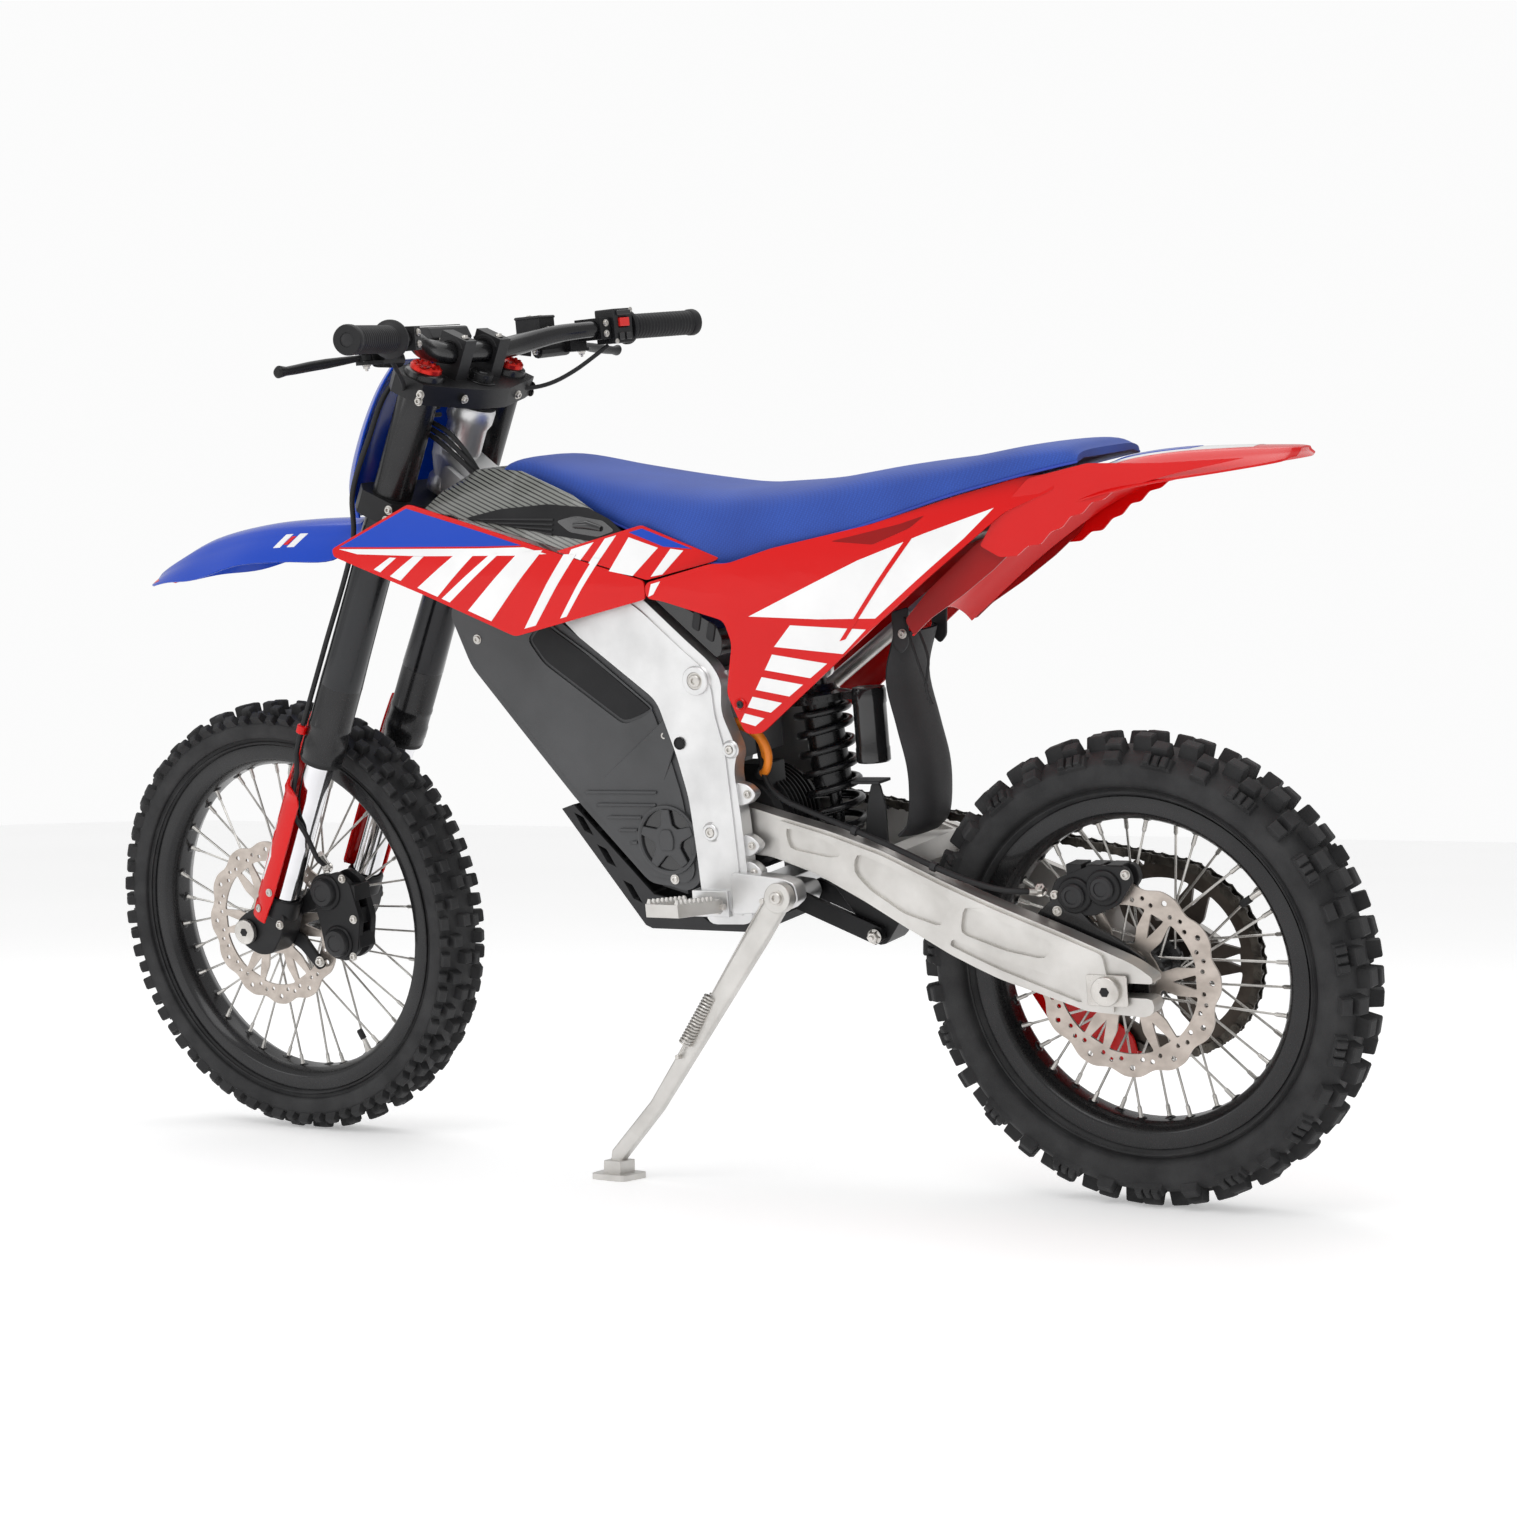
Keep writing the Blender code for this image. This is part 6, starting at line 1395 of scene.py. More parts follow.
def build_panel_films():
    """Slanted bars and bands on the bodywork, darker red slivers painted as shade under the seat's edge, and
    the side panels' screws in their cups.
    """
    blue = [[(-0.381, 0.8632), (-0.271, 0.9085), (-0.155, 0.8725), (-0.094, 0.8525), (-0.158, 0.854),
             (-0.3, 0.8595)]]
    white = [[(-0.382, 0.8605), (-0.3, 0.857), (-0.158, 0.8515), (-0.09, 0.85), (-0.056, 0.84),
              (-0.1, 0.8398), (-0.25, 0.8455), (-0.352, 0.8525)]]
    for top, wide in ((-0.3, 0.01), (-0.262, 0.016), (-0.196, 0.03), (-0.138, 0.012), (-0.096, 0.034),
                      (-0.03, 0.018), (0.014, 0.01)):
        height = 0.846 - 0.15 * max(0.0, top + 0.08)
        white.append(slanted(top, height, wide, (height - shroud_low(top)) * 0.85))
    marks = on_panel(shroud_x)
    films("shroud_blue_film", blue, marks, "blue")
    films("shroud_white_film", white, marks, "white")
    marks = on_panel(upper_panel_x)
    white = [[(-0.02, 0.844), (0.012, 0.8515), (-0.006, 0.83), (-0.024, 0.8365)],
             [(0.028, 0.855), (0.044, 0.8585), (0.016, 0.8215), (0.006, 0.8255)],
             [(0.062, 0.855), (0.104, 0.84), (0.07, 0.807), (0.036, 0.8145)],
             [(0.122, 0.838), (0.14, 0.835), (0.112, 0.807), (0.096, 0.805)]]
    blue = [[(0.062, 0.861), (0.08, 0.865), (0.152, 0.8365), (0.112, 0.841)]]
    films("upper_panel_white_film", white, marks, "white", 0.03)
    films("upper_panel_blue_film", blue, marks, "blue", 0.03)
    marks = on_panel(side_panel_x)
    white = [[(0.233, 0.751), (0.384, 0.813), (0.47, 0.8405), (0.559, 0.866), (0.52, 0.832), (0.4, 0.742),
              (0.325, 0.744)], [(0.287, 0.738), (0.386, 0.729), (0.352, 0.7), (0.262, 0.712)],
             [(0.098, 0.796), (0.112, 0.799), (0.1, 0.783), (0.092, 0.78)]]
    white += side_rungs()
    films("side_panel_white_film", white, marks, "white")
    slash = [(0.446, 0.834), (0.456, 0.837), (0.358, 0.718), (0.35, 0.716)]
    piece("side_panel_red_film", both(draped(slash, marks, 0.02, PAINT_LIFT * 2, FILM_DEPTH)), "red",
          "chassis")
    # a flat darker red sliver just under the seat's edge: painted shade
    seat_edge_shade = [(0.35, 0.8375), (0.44, 0.8535), (0.472, 0.862), (0.452, 0.848), (0.404, 0.831)]
    piece("side_panel_shade_under_seat",
          both(draped(rounded(seat_edge_shade, 0.003, 2), marks, 0.02, PAINT_LIFT * 0.6, FILM_DEPTH)), "painted_shade_red",
          "chassis")
    recess = lathe([(0.0005, 0.0006), (0.0052, 0.0006), (0.0068, 0.002), (0.0082, 0.0008), (0.0082, -0.002),
                    (0.0005, -0.002)], (side_panel_x(0.2, 0.641), 0.2055, 0.641), ALONG_X, 28)
    piece("side_panel_cups", both(recess), "red", "chassis", sharp=30)
    piece("side_panel_screws",
          both(bolt((side_panel_x(0.2, 0.641) + 0.0002, 0.2055, 0.641), ALONG_X, 0.0036, 0.0022)),
          "anodised", "chassis")


TANK_STATIONS = [  # y, base half width and height, shoulder, lip under the seat's edge, middle height
    (-0.224, (0.14, 0.9), (0.074, 0.944), (0.054, 0.947), 0.949), (-0.209, (0.143, 0.897), (0.078, 0.95),
        (0.058, 0.951), 0.951),
    (-0.2, (0.143, 0.893), (0.08, 0.951), (0.066, 0.92), 0.914), (-0.176, (0.143, 0.886), (0.084, 0.951),
        (0.069, 0.919), 0.912),
    (-0.12, (0.142, 0.869), (0.098, 0.946), (0.085, 0.915), 0.909), (-0.03, (0.14, 0.841), (0.117, 0.912),
        (0.107, 0.885), 0.88),
    (0.06, (0.138, 0.812), (0.13, 0.856), (0.1245, 0.85), 0.847), (0.088, (0.137, 0.803), (0.132, 0.834),
        (0.1265, 0.837), 0.836)]


def tank_wall(y):
    """Base, swell and shoulder of the panel's flank at one station, between the given ones."""
    rows = TANK_STATIONS
    for a, b in zip(rows, rows[1:]):
        if y <= b[0]:
            t = (y - a[0]) / (b[0] - a[0])
            base = Vector(a[1]).lerp(Vector(b[1]), t)
            shoulder = Vector(a[2]).lerp(Vector(b[2]), t)
            break
    else:
        base, shoulder = Vector(rows[-1][1]), Vector(rows[-1][2])
    swell = Vector((base.x * 0.55 + shoulder.x * 0.45, base.y * 0.45 + shoulder.y * 0.55))
    return base, swell, shoulder


def on_tank(y, z, height):
    base, swell, shoulder = tank_wall(y)
    if z <= swell.y:
        x = base.x + (swell.x - base.x) * (z - base.y) / max(1e-6, swell.y - base.y)
    else:
        x = swell.x + (shoulder.x - swell.x) * (z - swell.y) / max(1e-6, shoulder.y - swell.y)
    return Vector((x + height, y, z + height * 0.4))


def build_top_panel():
    """Striped panel ahead of the seat, with a dark scoop on each flank."""
    rows = []
    for number, (y, base, shoulder, lip, middle) in enumerate(TANK_STATIONS):
        swell = (base[0] * 0.55 + shoulder[0] * 0.45, base[1] * 0.45 + shoulder[1] * 0.55)
        half = [base, mixed(base, swell), swell, mixed(swell, shoulder), shoulder, lip,
                (lip[0] * 0.5, middle)]
        ahead = 0.038 if number == 0 else 0.0
        places = [y - ahead, y - ahead * 0.8, y - ahead * 0.6, y - ahead * 0.3, y, y, y]
        right = [Vector((x, place, z)) for (x, z), place in zip(half, places)]
        rows.append(right + [Vector((-p.x, p.y, p.z)) for p in reversed(right)])
    fine = []
    for a, b in zip(rows, rows[1:]):
        fine += [[p.lerp(q, k / 4) for p, q in zip(a, b)] for k in range(4)]
    fine.append(rows[-1])
    piece("top_panel_shell", shell(fine, 0.003), "striped", "chassis", "top_panel", bevel=0.001, sharp=28)
    scoop = [(-0.185, 0.89), (-0.137, 0.8985), (-0.065, 0.901), (-0.004, 0.894), (0.03, 0.878),
             (0.052, 0.86), (0.016, 0.85), (-0.044, 0.861)]
    piece("scoop_surround", both(draped(rounded(scoop, 0.006, 3), on_tank, 0.02, 0.0022, 0.004)),
          "case_dark", "chassis", bevel=0.0012)
    # the scoop's deep opening is a flat gloss black film: painted shade
    hole_shade_outline = [(-0.048, 0.879), (-0.02, 0.8845), (0.022, 0.876), (0.04, 0.8625), (0.016, 0.856),
             (-0.026, 0.864)]
    piece("scoop_opening_shade", both(draped(rounded(hole_shade_outline, 0.005, 3), on_tank, 0.02, 0.0028, 0.002)),
          "gloss_black", "chassis", bevel=0.0005)
    fins = []
    for k in range(4):
        z = 0.888 - 0.0062 * k
        start = -0.166 + 0.028 * k
        fins.append(draped([(start, z), (-0.052, z - 0.006), (-0.052, z - 0.0085),
                            (start + 0.006, z - 0.0022)], on_tank, 0.02, 0.004, 0.003))
    piece("scoop_fins", both(together(*fins)), "plastic", "chassis", bevel=0.0006)
    lobe = sweep([on_tank(-0.02, 0.872, 0.0035), on_tank(0.0, 0.8715, 0.0045),
                  on_tank(0.02, 0.866, 0.0035)], [0.0035, 0.0055, 0.0035], 16)
    piece("scoop_lobe", both(lobe), "gloss_black", "chassis")


def mixed(a, b):
    return ((a[0] + b[0]) / 2, (a[1] + b[1]) / 2)


REAR_FENDER = [(0.907, 0.912, 0.03, 0.006), (0.89, 0.914, 0.055, 0.012), (0.827, 0.917, 0.068, 0.022),
               (0.753, 0.918, 0.08, 0.03), (0.69, 0.912, 0.09, 0.034), (0.64, 0.894, 0.088, 0.03),
               (0.58, 0.862, 0.086, 0.03), (0.52, 0.822, 0.084, 0.03), (0.46, 0.776, 0.082, 0.03),
               (0.425, 0.742, 0.08, 0.026)]
FRONT_FENDER = [(-0.862, 0.817, 0.022, 0.004), (-0.84, 0.832, 0.046, 0.014), (-0.8, 0.851, 0.06, 0.028),
                (-0.733, 0.876, 0.074, 0.05), (-0.644, 0.89, 0.082, 0.046), (-0.56, 0.894, 0.082, 0.048),
                (-0.47, 0.893, 0.078, 0.048), (-0.43, 0.89, 0.056, 0.014), (-0.372, 0.876, 0.05, 0.004)]
PLATE_ROWS = [(1.103, -0.322, 0.074, 0.04), (1.06, -0.345, 0.094, 0.05), (1.0, -0.374, 0.102, 0.056),
              (0.94, -0.4, 0.098, 0.056), (0.896, -0.412, 0.078, 0.048)]


def fender_point(stations, place, share, crease):
    """A point of a fender: place counts stations, share runs from -1 to 1 across it."""
    y, crown, half, drop = spline([Vector(row) for row in stations], place)
    ridge = crease * soft_step((abs(share) - 0.5) / 0.14)
    return Vector((half * share, y, crown - drop * abs(share) ** 2.3 - ridge))


def fender_rows(stations, crease, per=6, across=20):
    count = (len(stations) - 1) * per
    return [[fender_point(stations, i / per, 2 * k / across - 1, crease * min(1.0, i / per))
             for k in range(across + 1)] for i in range(count + 1)]


def station_of(stations, y):
    """Where along the stations a fender reaches y."""
    steps = (len(stations) - 1) * 20
    return min(range(steps + 1),
               key=lambda i: abs(spline([Vector(row) for row in stations], i / 20)[0] - y)) / 20


TAIL_SKIRT = [(0.56, 0.858), (0.604, 0.898), (0.676, 0.911), (0.76, 0.906), (0.86, 0.9055), (0.779, 0.893),
              (0.704, 0.877), (0.692, 0.868), (0.676, 0.865), (0.664, 0.853), (0.65, 0.851), (0.638, 0.838),
              (0.624, 0.834), (0.61, 0.82), (0.594, 0.819), (0.58, 0.808), (0.558, 0.807), (0.535, 0.822)]


INNER_WALL = [(0.604, 0.86), (0.58, 0.82), (0.545, 0.792), (0.5, 0.762), (0.455, 0.736), (0.43, 0.716),
              (0.42, 0.735), (0.455, 0.77), (0.52, 0.82), (0.575, 0.853)]


def inner_wall_x(y, z):
    return 0.088 + 0.05 * (z - 0.8)


def skirt_x(y, z):
    return 0.1035 - 0.122 * (y - 0.56) + 0.12 * (z - 0.89)


def build_fenders():
    """Both fenders with their painted marks, the skirts under the tail, and the walls inside it in a darker
    red as painted shade.
    """
    piece("tail_skirts", both(draped(rounded(TAIL_SKIRT, 0.003, 2), on_panel(skirt_x), 0.02, 0.0, 0.0025)),
          "red", "chassis", bevel=0.0008)
    rear = list(reversed(REAR_FENDER))
    # the walls inside the tail are darker red: painted shade beneath the fender
    piece("inner_fender_shade_walls", both(draped(rounded(INNER_WALL, 0.004, 2), on_panel(inner_wall_x), 0.02,
            0.0, 0.0025)), "painted_shade_red", "chassis", bevel=0.0008)
    piece("rear_fender_shell", shell([list(reversed(row)) for row in fender_rows(rear, 0.003)], 0.003),
          "red", "chassis", "rear_fender", bevel=0.0008)
    piece("front_fender_shell", shell([list(reversed(row)) for row in fender_rows(FRONT_FENDER, 0.004)],
            0.003), "blue", "steering", "front_fender", bevel=0.0008)

    def on_rear(place, share, height):
        return fender_point(rear, place, share, 0.003) + Vector((0, 0, height))

    def on_front(place, share, height):
        return fender_point(FRONT_FENDER, place, share, 0.004) + Vector((0, 0, height))

    a, b = station_of(rear, 0.668), station_of(rear, 0.85)
    white = [[(a, -0.46), (b, -0.3), (b, 0.3), (a, 0.46)]]
    piece("rear_fender_white_film", together(*[draped(p, on_rear, (0.15, 0.12), PAINT_LIFT, FILM_DEPTH)
            for p in white]), "white", "chassis")
    c, d = mix(a, b, 0.12), mix(a, b, 0.62)
    blue = [[(c, -0.3), (d, -0.24), (d + 0.1, -0.06), (c + 0.22, -0.06)],
            [(c, 0.3), (d, 0.24), (d + 0.1, 0.06), (c + 0.22, 0.06)]]
    piece("rear_fender_blue_film", together(*[draped(p, on_rear, (0.15, 0.12), PAINT_LIFT * 2, FILM_DEPTH)
            for p in blue]), "blue", "chassis")
    badges = {"white": [], "red": []}
    for side in (-1, 1):
        for key, size, lift in (("white", 1.0, 1), ("red", 0.62, 2)):
            e, f = station_of(FRONT_FENDER, -0.595), station_of(FRONT_FENDER, -0.52)
            middle = (e + f) / 2
            half = (f - e) / 2 * size
            for shift in ((-0.36, 0.36) if key == "white" else (0.0, )):
                low, high = 0.7 - 0.11 * size, 0.7 + 0.11 * size
                bar = [(middle + half * (shift - 0.34), side * high),
                       (middle + half * (shift + 0.02), side * high),
                       (middle + half * (shift + 0.34), side * low),
                       (middle + half * (shift - 0.02), side * low)]
                badges[key].append(draped(bar, on_front, (0.2, 0.2), PAINT_LIFT * lift, FILM_DEPTH))
        tip = [(0.1, side * 0.25), (0.75, side * 0.62), (1.5, side * 0.92), (0.6, side * 0.92),
               (0.12, side * 0.88)]
        badges["red"].append(draped(tip, on_front, (0.15, 0.12), PAINT_LIFT, FILM_DEPTH))
    for key, solids in badges.items():
        piece(f"front_fender_{key}_badge", together(*solids), key, "steering")


def build_number_plate():
    """Bulged plate ahead of the fork."""
    rows = []
    table = [Vector(row) for row in PLATE_ROWS]
    for i in range(33):
        z, edge_y, half, bulge = spline(table, i / 8)
        rows.append([Vector((half * t, edge_y - bulge * (1 - abs(t) ** 2.2), z))
                     for t in [k / 12 - 1 for k in range(25)]])
    piece("number_plate_shell", shell([list(reversed(row)) for row in rows], 0.003), "blue", "steering",
          "number_plate", bevel=0.0008)


def build_mud_flap():
    """Hanging rubber sheet."""
    flap_rows = []
    for y, z in [(p.x, p.y)
                 for p in smooth([(0.402, 0.716, 0), (0.386, 0.66, 0), (0.396, 0.6, 0), (0.406, 0.55, 0),
            (0.406, 0.51, 0), (0.4, 0.478, 0), (0.386, 0.463, 0)], 5)]:
        wide = 0.051
        flap_rows.append([Vector((wide * t, y - 0.018 * abs(t) ** 3, z))
                          for t in [k / 8 - 1 for k in range(17)]])
    flap = piece("mud_flap_sheet", shell(flap_rows, 0.004), "flap", "chassis", "mud_flap")
    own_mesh(flap)


SEAT_STATIONS = [(-0.193, 0.938, 0.928, 0.04), (-0.176, 0.957, 0.926, 0.062), (-0.12, 0.96, 0.922, 0.078),
                 (-0.03, 0.94, 0.893, 0.1), (0.06, 0.922, 0.858, 0.118), (0.15, 0.908, 0.824, 0.126),
                 (0.21, 0.906, 0.813, 0.129), (0.3, 0.908, 0.831, 0.126), (0.41, 0.919, 0.857, 0.119),
                 (0.5, 0.925, 0.881, 0.112), (0.58, 0.934, 0.898, 0.105), (0.64, 0.935, 0.909, 0.098),
                 (0.664, 0.926, 0.913, 0.09)]
SEAT_SECTION = [(0.985, 0.0), (1.0, 0.16), (0.985, 0.44), (0.93, 0.68), (0.8, 0.87), (0.58, 0.965),
                (0.3, 0.995), (0.0, 1.0)]


def build_seat():
    """Foam pad with a taut cover: crowned top, sides tucked in to a piped lower edge."""
    table = [Vector(row) for row in SEAT_STATIONS]
    rows = []
    hems = {1: [], -1: []}
    count = (len(table) - 1) * 6
    for i in range(count + 1):
        y, top, edge, half = spline(table, i / 6)
        right = [Vector((-half * a, y, edge + (top - edge) * b)) for a, b in SEAT_SECTION]
        left = [Vector((half * a, y, edge + (top - edge) * b)) for a, b in reversed(SEAT_SECTION[:-1])]
        under = [Vector((half * 0.8, y, edge + 0.004)), Vector((-half * 0.8, y, edge + 0.004))]
        rows.append(smooth(right + left, 3) + under)
        for side in (1, -1):
            hems[side].append(Vector((side * half * 0.997, y, edge + (top - edge) * 0.03)))
    seat = piece("seat_cover", loft(rows), "seat", "chassis", "seat", sharp=60)
    seams = together(*[sweep(hems[side][4:], 0.0016, 8) for side in (1, -1)])
    piece("seat_hem", seams, "piping", "chassis")


# ---------------------------------------------------------------- cockpit
def bar_direction():
    return (BAR_END - BAR_BEND_END).normalized()


def on_bar(along, forward=0.0, up=0.0):
    """A point by its distance out along the left bar end, ahead of it and above it."""
    direction = bar_direction()
    ahead = -Vector((0, 0, 1)).cross(direction).normalized()
    return BAR_BEND_END + direction * along + ahead * forward + Vector((0, 0, up))


def flipped(point):
    return Vector((-point.x, point.y, point.z))


def grip_profile(flange):
    profile = [(0.0116, 0.0), (0.0235, 0.0), (0.0245, 0.0015), (0.0245, 0.005), (0.0232, 0.0066),
               (0.0178, 0.0105)] if flange else [(0.0116, 0.0), (0.018, 0.0), (0.0178, 0.0105)]
    at = 0.014
    while at < 0.118:
        profile += [(0.0168, at), (0.0176, at + 0.0012), (0.0176, at + 0.003), (0.0168, at + 0.0042)]
        at += 0.006
    return profile + [(0.0174, 0.1205), (0.0188, 0.1225), (0.019, 0.13), (0.018, 0.133), (0.009, 0.1335),
                      (0.008, 0.132), (0.0116, 0.13)]


def build_cockpit():
    """Bar with its grips and end plugs, the triple clamps and the display."""
    direction = bar_direction()
    bend = [BAR_CENTRE + Vector((0.056, 0, 0)), Vector((0.108, -0.249, 1.113)),
            Vector((0.156, -0.225, 1.122)), on_bar(-0.01)]
    half = [BAR_CENTRE, BAR_CENTRE + Vector((0.03, 0, 0))] + route(bend, 0.008) + [on_bar(0.0),
            on_bar(0.06), on_bar(0.182)]
    radii = [mix(0.0143, 0.0111, (p.x - 0.1) / 0.09) for p in half]
    path = [flipped(p) for p in reversed(half[1:])] + half
    piece("handlebar_tube", sweep(path, list(reversed(radii[1:])) + radii, 32), "anodised", "steering",
          "handlebar")
    grip = lathe(grip_profile(True), on_bar(0.059), direction, 36, ring=True)
    piece("grip_left", grip, "rubber", "steering", "left_grip", sharp=40)
    piece("grip_right", mirrored(grip), "rubber", "throttle", "throttle_grip", sharp=40)
    plug = lathe([(0.0005, 0.1325), (0.0085, 0.1325), (0.01, 0.1315), (0.01, 0.12), (0.0005, 0.12)],
                 on_bar(0.059), direction, 28)
    piece("bar_plug_left", plug, "plastic", "steering")
    piece("bar_plug_right", mirrored(plug), "plastic", "throttle")
    finer("triple_clamp", "cast_black", 0.003, 3)
    finer("display", "plastic", 0.003, 3)
    glass = extrude([Vector((x, y, z)) for x, y, z in ((-0.036, -0.3455, 1.1466), (0.036, -0.3455, 1.1466),
            (0.036, -0.2975, 1.1442), (-0.036, -0.2975, 1.1442))], (0, 0, 0.0012))
    piece("display_glass", glass, "screen", "steering", bevel=0.0006)


def build_bar_clamps():
    """Bar clamp caps, the bolts of the triple clamps, and the parts beside the grips."""
    caps = []
    screws = []
    for x in (-0.038, 0.038):
        outline = [(BAR_CENTRE.y + 0.024 * math.cos(a), BAR_CENTRE.z + 0.024 * math.sin(a))
                   for a in [math.radians(-10 + 20 * k) for k in range(11)]]
        outline = [(y, max(z, BAR_CENTRE.z + 0.001)) for y, z in outline]
        inner = [(BAR_CENTRE.y + 0.0146 * math.cos(a), BAR_CENTRE.z + 0.0146 * math.sin(a))
                 for a in [math.radians(180 - 18 * k) for k in range(11)]]
        caps.append(prism(outline + [(y, max(z, BAR_CENTRE.z + 0.001)) for y, z in inner], x - 0.0125,
                          x + 0.0125))
        for y in (-0.0185, 0.0185):
            screws.append(bolt((x, BAR_CENTRE.y + y, BAR_CENTRE.z + 0.017), (0, 0, 1), 0.0045, 0.0045))
    piece("bar_clamp_caps", together(*caps), "cast_black", "steering", bevel=0.003, segments=3)
    for side in (-1, 1):
        for s in (0.843, 0.834):
            screws.append(bolt(fork(side * 0.1245, LEG_BACK + 0.026, s), ALONG_X * side, 0.0046, 0.004))
        for s in (0.664, 0.679):
            screws.append(bolt(fork(side * 0.1265, LEG_BACK + 0.026, s), ALONG_X * side, 0.0046, 0.004))
        screws.append(bolt(fork(side * 0.06, 0.08, 0.843), FORK_BACK, 0.0046, 0.004))
    piece("clamp_bolts", together(*screws), "steel", "steering")
    top = nut(fork(0, STEER_BACK, 0.8575), FORK_UP, 0.0165, 0.01)
    piece("steering_nut", top, "anodised", "steering", bevel=0.0008)
    for node in ("left_perch", "right_perch", "switch_housing"):
        finer(node, "plastic" if node == "switch_housing" else "cast_black", 0.0016, 2)
    finer("kill_button", "button", 0.001, 2)


def build_controls():
    """Levers with ball ends, their pivot bolts and nuts, and the perch bolts."""
    blade = [(-0.004, 0.0, 0), (0.012, -0.008, -0.0005), (0.03, -0.014, -0.002), (0.055, -0.021, -0.004),
             (0.08, -0.0255, -0.006), (0.105, -0.028, -0.0085), (0.122, -0.029, -0.0098),
             (0.13, -0.0295, -0.01), (0.1345, -0.03, -0.01), (0.138, -0.03, -0.01)]
    radii = [0.0044, 0.0048, 0.0058, 0.007, 0.007, 0.0066, 0.0062, 0.0078, 0.0086, 0.0056]
    lever = sweep([LEVER_PIVOT + Vector(p) for p in blade], radii, 20, 0.85)
    arm = lathe([(0.0005, -0.0042), (0.0085, -0.0042), (0.0085, 0.0042), (0.0005, 0.0042)], LEVER_PIVOT,
                (0, 0, 1), 24)
    for side, name in ((1, "left"), (-1, "right")):
        solid = together(lever, arm)
        piece(f"lever_{name}_blade", on_side(side, solid), "cast_black", f"lever_{name}", f"{name}_lever",
              bevel=0.0006)
    details = [bolt(LEVER_PIVOT + Vector((0, 0, 0.009)), (0, 0, 1), 0.0048, 0.003),
               nut(LEVER_PIVOT - Vector((0, 0, 0.009)), (0, 0, -1), 0.0045, 0.005)]
    for up in (-0.0105, 0.0105):
        details.append(bolt(on_bar(0.0105, 0.0405, up * 0.7), on_bar(0, 1) - on_bar(0), 0.0036, 0.003))
        details.append(bolt(on_bar(0.0105, -0.0155, up * 0.7), on_bar(0) - on_bar(0, 1), 0.0036, 0.003))
    piece("perch_bolts", together(*details, *[mirrored(d) for d in details]), "steel", "steering")


def build_reservoir_and_switches():
    """Reservoir lid and window, banjo bolts and the switch pads."""
    lid = prism(rounded([(-0.2905, 1.1455), (-0.2465, 1.1455), (-0.2465, 1.15), (-0.2905, 1.15)], 0.002, 2),
                -0.1885, -0.1495)
    piece("reservoir_lid", lid, "plastic", "steering", bevel=0.0015)
    glass = lathe([(0.0005, 0.0), (0.0085, 0.0), (0.0085, 0.0016), (0.007, 0.0022), (0.006, 0.001),
                   (0.0005, 0.001)], (-0.169, -0.2475, 1.126), (0, 1, 0), 28)
    piece("reservoir_window", glass, "steel", "steering", sharp=30)
    lid_screws = [bolt((x, -0.2685, 1.15), (0, 0, 1), 0.0028, 0.0015) for x in (-0.182, -0.156)]
    piece("reservoir_screws", together(*lid_screws), "steel", "steering")
    banjo = []
    for sign in (1, -1):
        end = LEVER_PIVOT + Vector((-0.083, -0.0155, -0.004))
        end.x *= sign
        banjo.append(nut(end, Vector((-sign, -0.1, -0.02)), 0.006, 0.008))
    piece("banjo_bolts", together(*banjo), "steel", "steering")
    pads = []
    for a0, a1, u0, u1 in ((0.0265, 0.0515, 0.0165, 0.0235), (0.0285, 0.0375, -0.0175, -0.0075),
                           (0.041, 0.0505, -0.0175, -0.0075)):
        corners = [on_bar(a0, -0.0205, u0), on_bar(a1, -0.0205, u0), on_bar(a1, -0.0205, u1),
                   on_bar(a0, -0.0205, u1)]
        pads.append(mirrored(extrude(corners, (on_bar(0) - on_bar(0, 1)) * 0.0035)))
    piece("switch_pads", together(*pads), "gloss_black", "steering", bevel=0.001)
    screws = [mirrored(bolt(on_bar(a, -0.0208, u), on_bar(0) - on_bar(0, 1), 0.0026, 0.0012))
              for a, u in ((0.0245, -0.019), (0.0535, 0.0235))]
    piece("switch_screws", together(*screws), "steel", "steering")


# ---------------------------------------------------------------- hoses and cables
def tube(name, points, radius, key, body, stands_for=(), sides=12):
    return piece(name, sweep(route(points, radius * 3), radius, sides), key, body, stands_for)


def front_hose_route():
    points = [Vector((-0.15, -0.266, 1.098)), fork(-0.12, -0.014, 0.868), fork(-0.06, -0.02, 0.864),
              fork(0.0, -0.022, 0.86), fork(0.06, -0.022, 0.848), fork(0.098, -0.019, 0.81),
              fork(0.116, -0.012, 0.76), fork(0.127, -0.008, 0.68)]
    beside = [(0.6, 0.0335, 38), (0.45, 0.0348, 38), (0.345, 0.0362, 38), (0.302, 0.0362, 38),
              (0.286, 0.035, 38), (0.272, 0.0312, 38), (0.258, 0.0278, 38), (0.235, 0.0272, 50),
              (0.205, 0.0275, 88), (0.185, 0.03, 135)]
    for s, distance, degrees in beside:
        angle = math.radians(degrees)
        points.append(fork(LEG_X + distance * math.sin(angle), LEG_BACK - distance * math.cos(angle), s))
    return points + [fork(0.097, 0.074, 0.15), Vector((0.075, -0.54, 0.4105))]


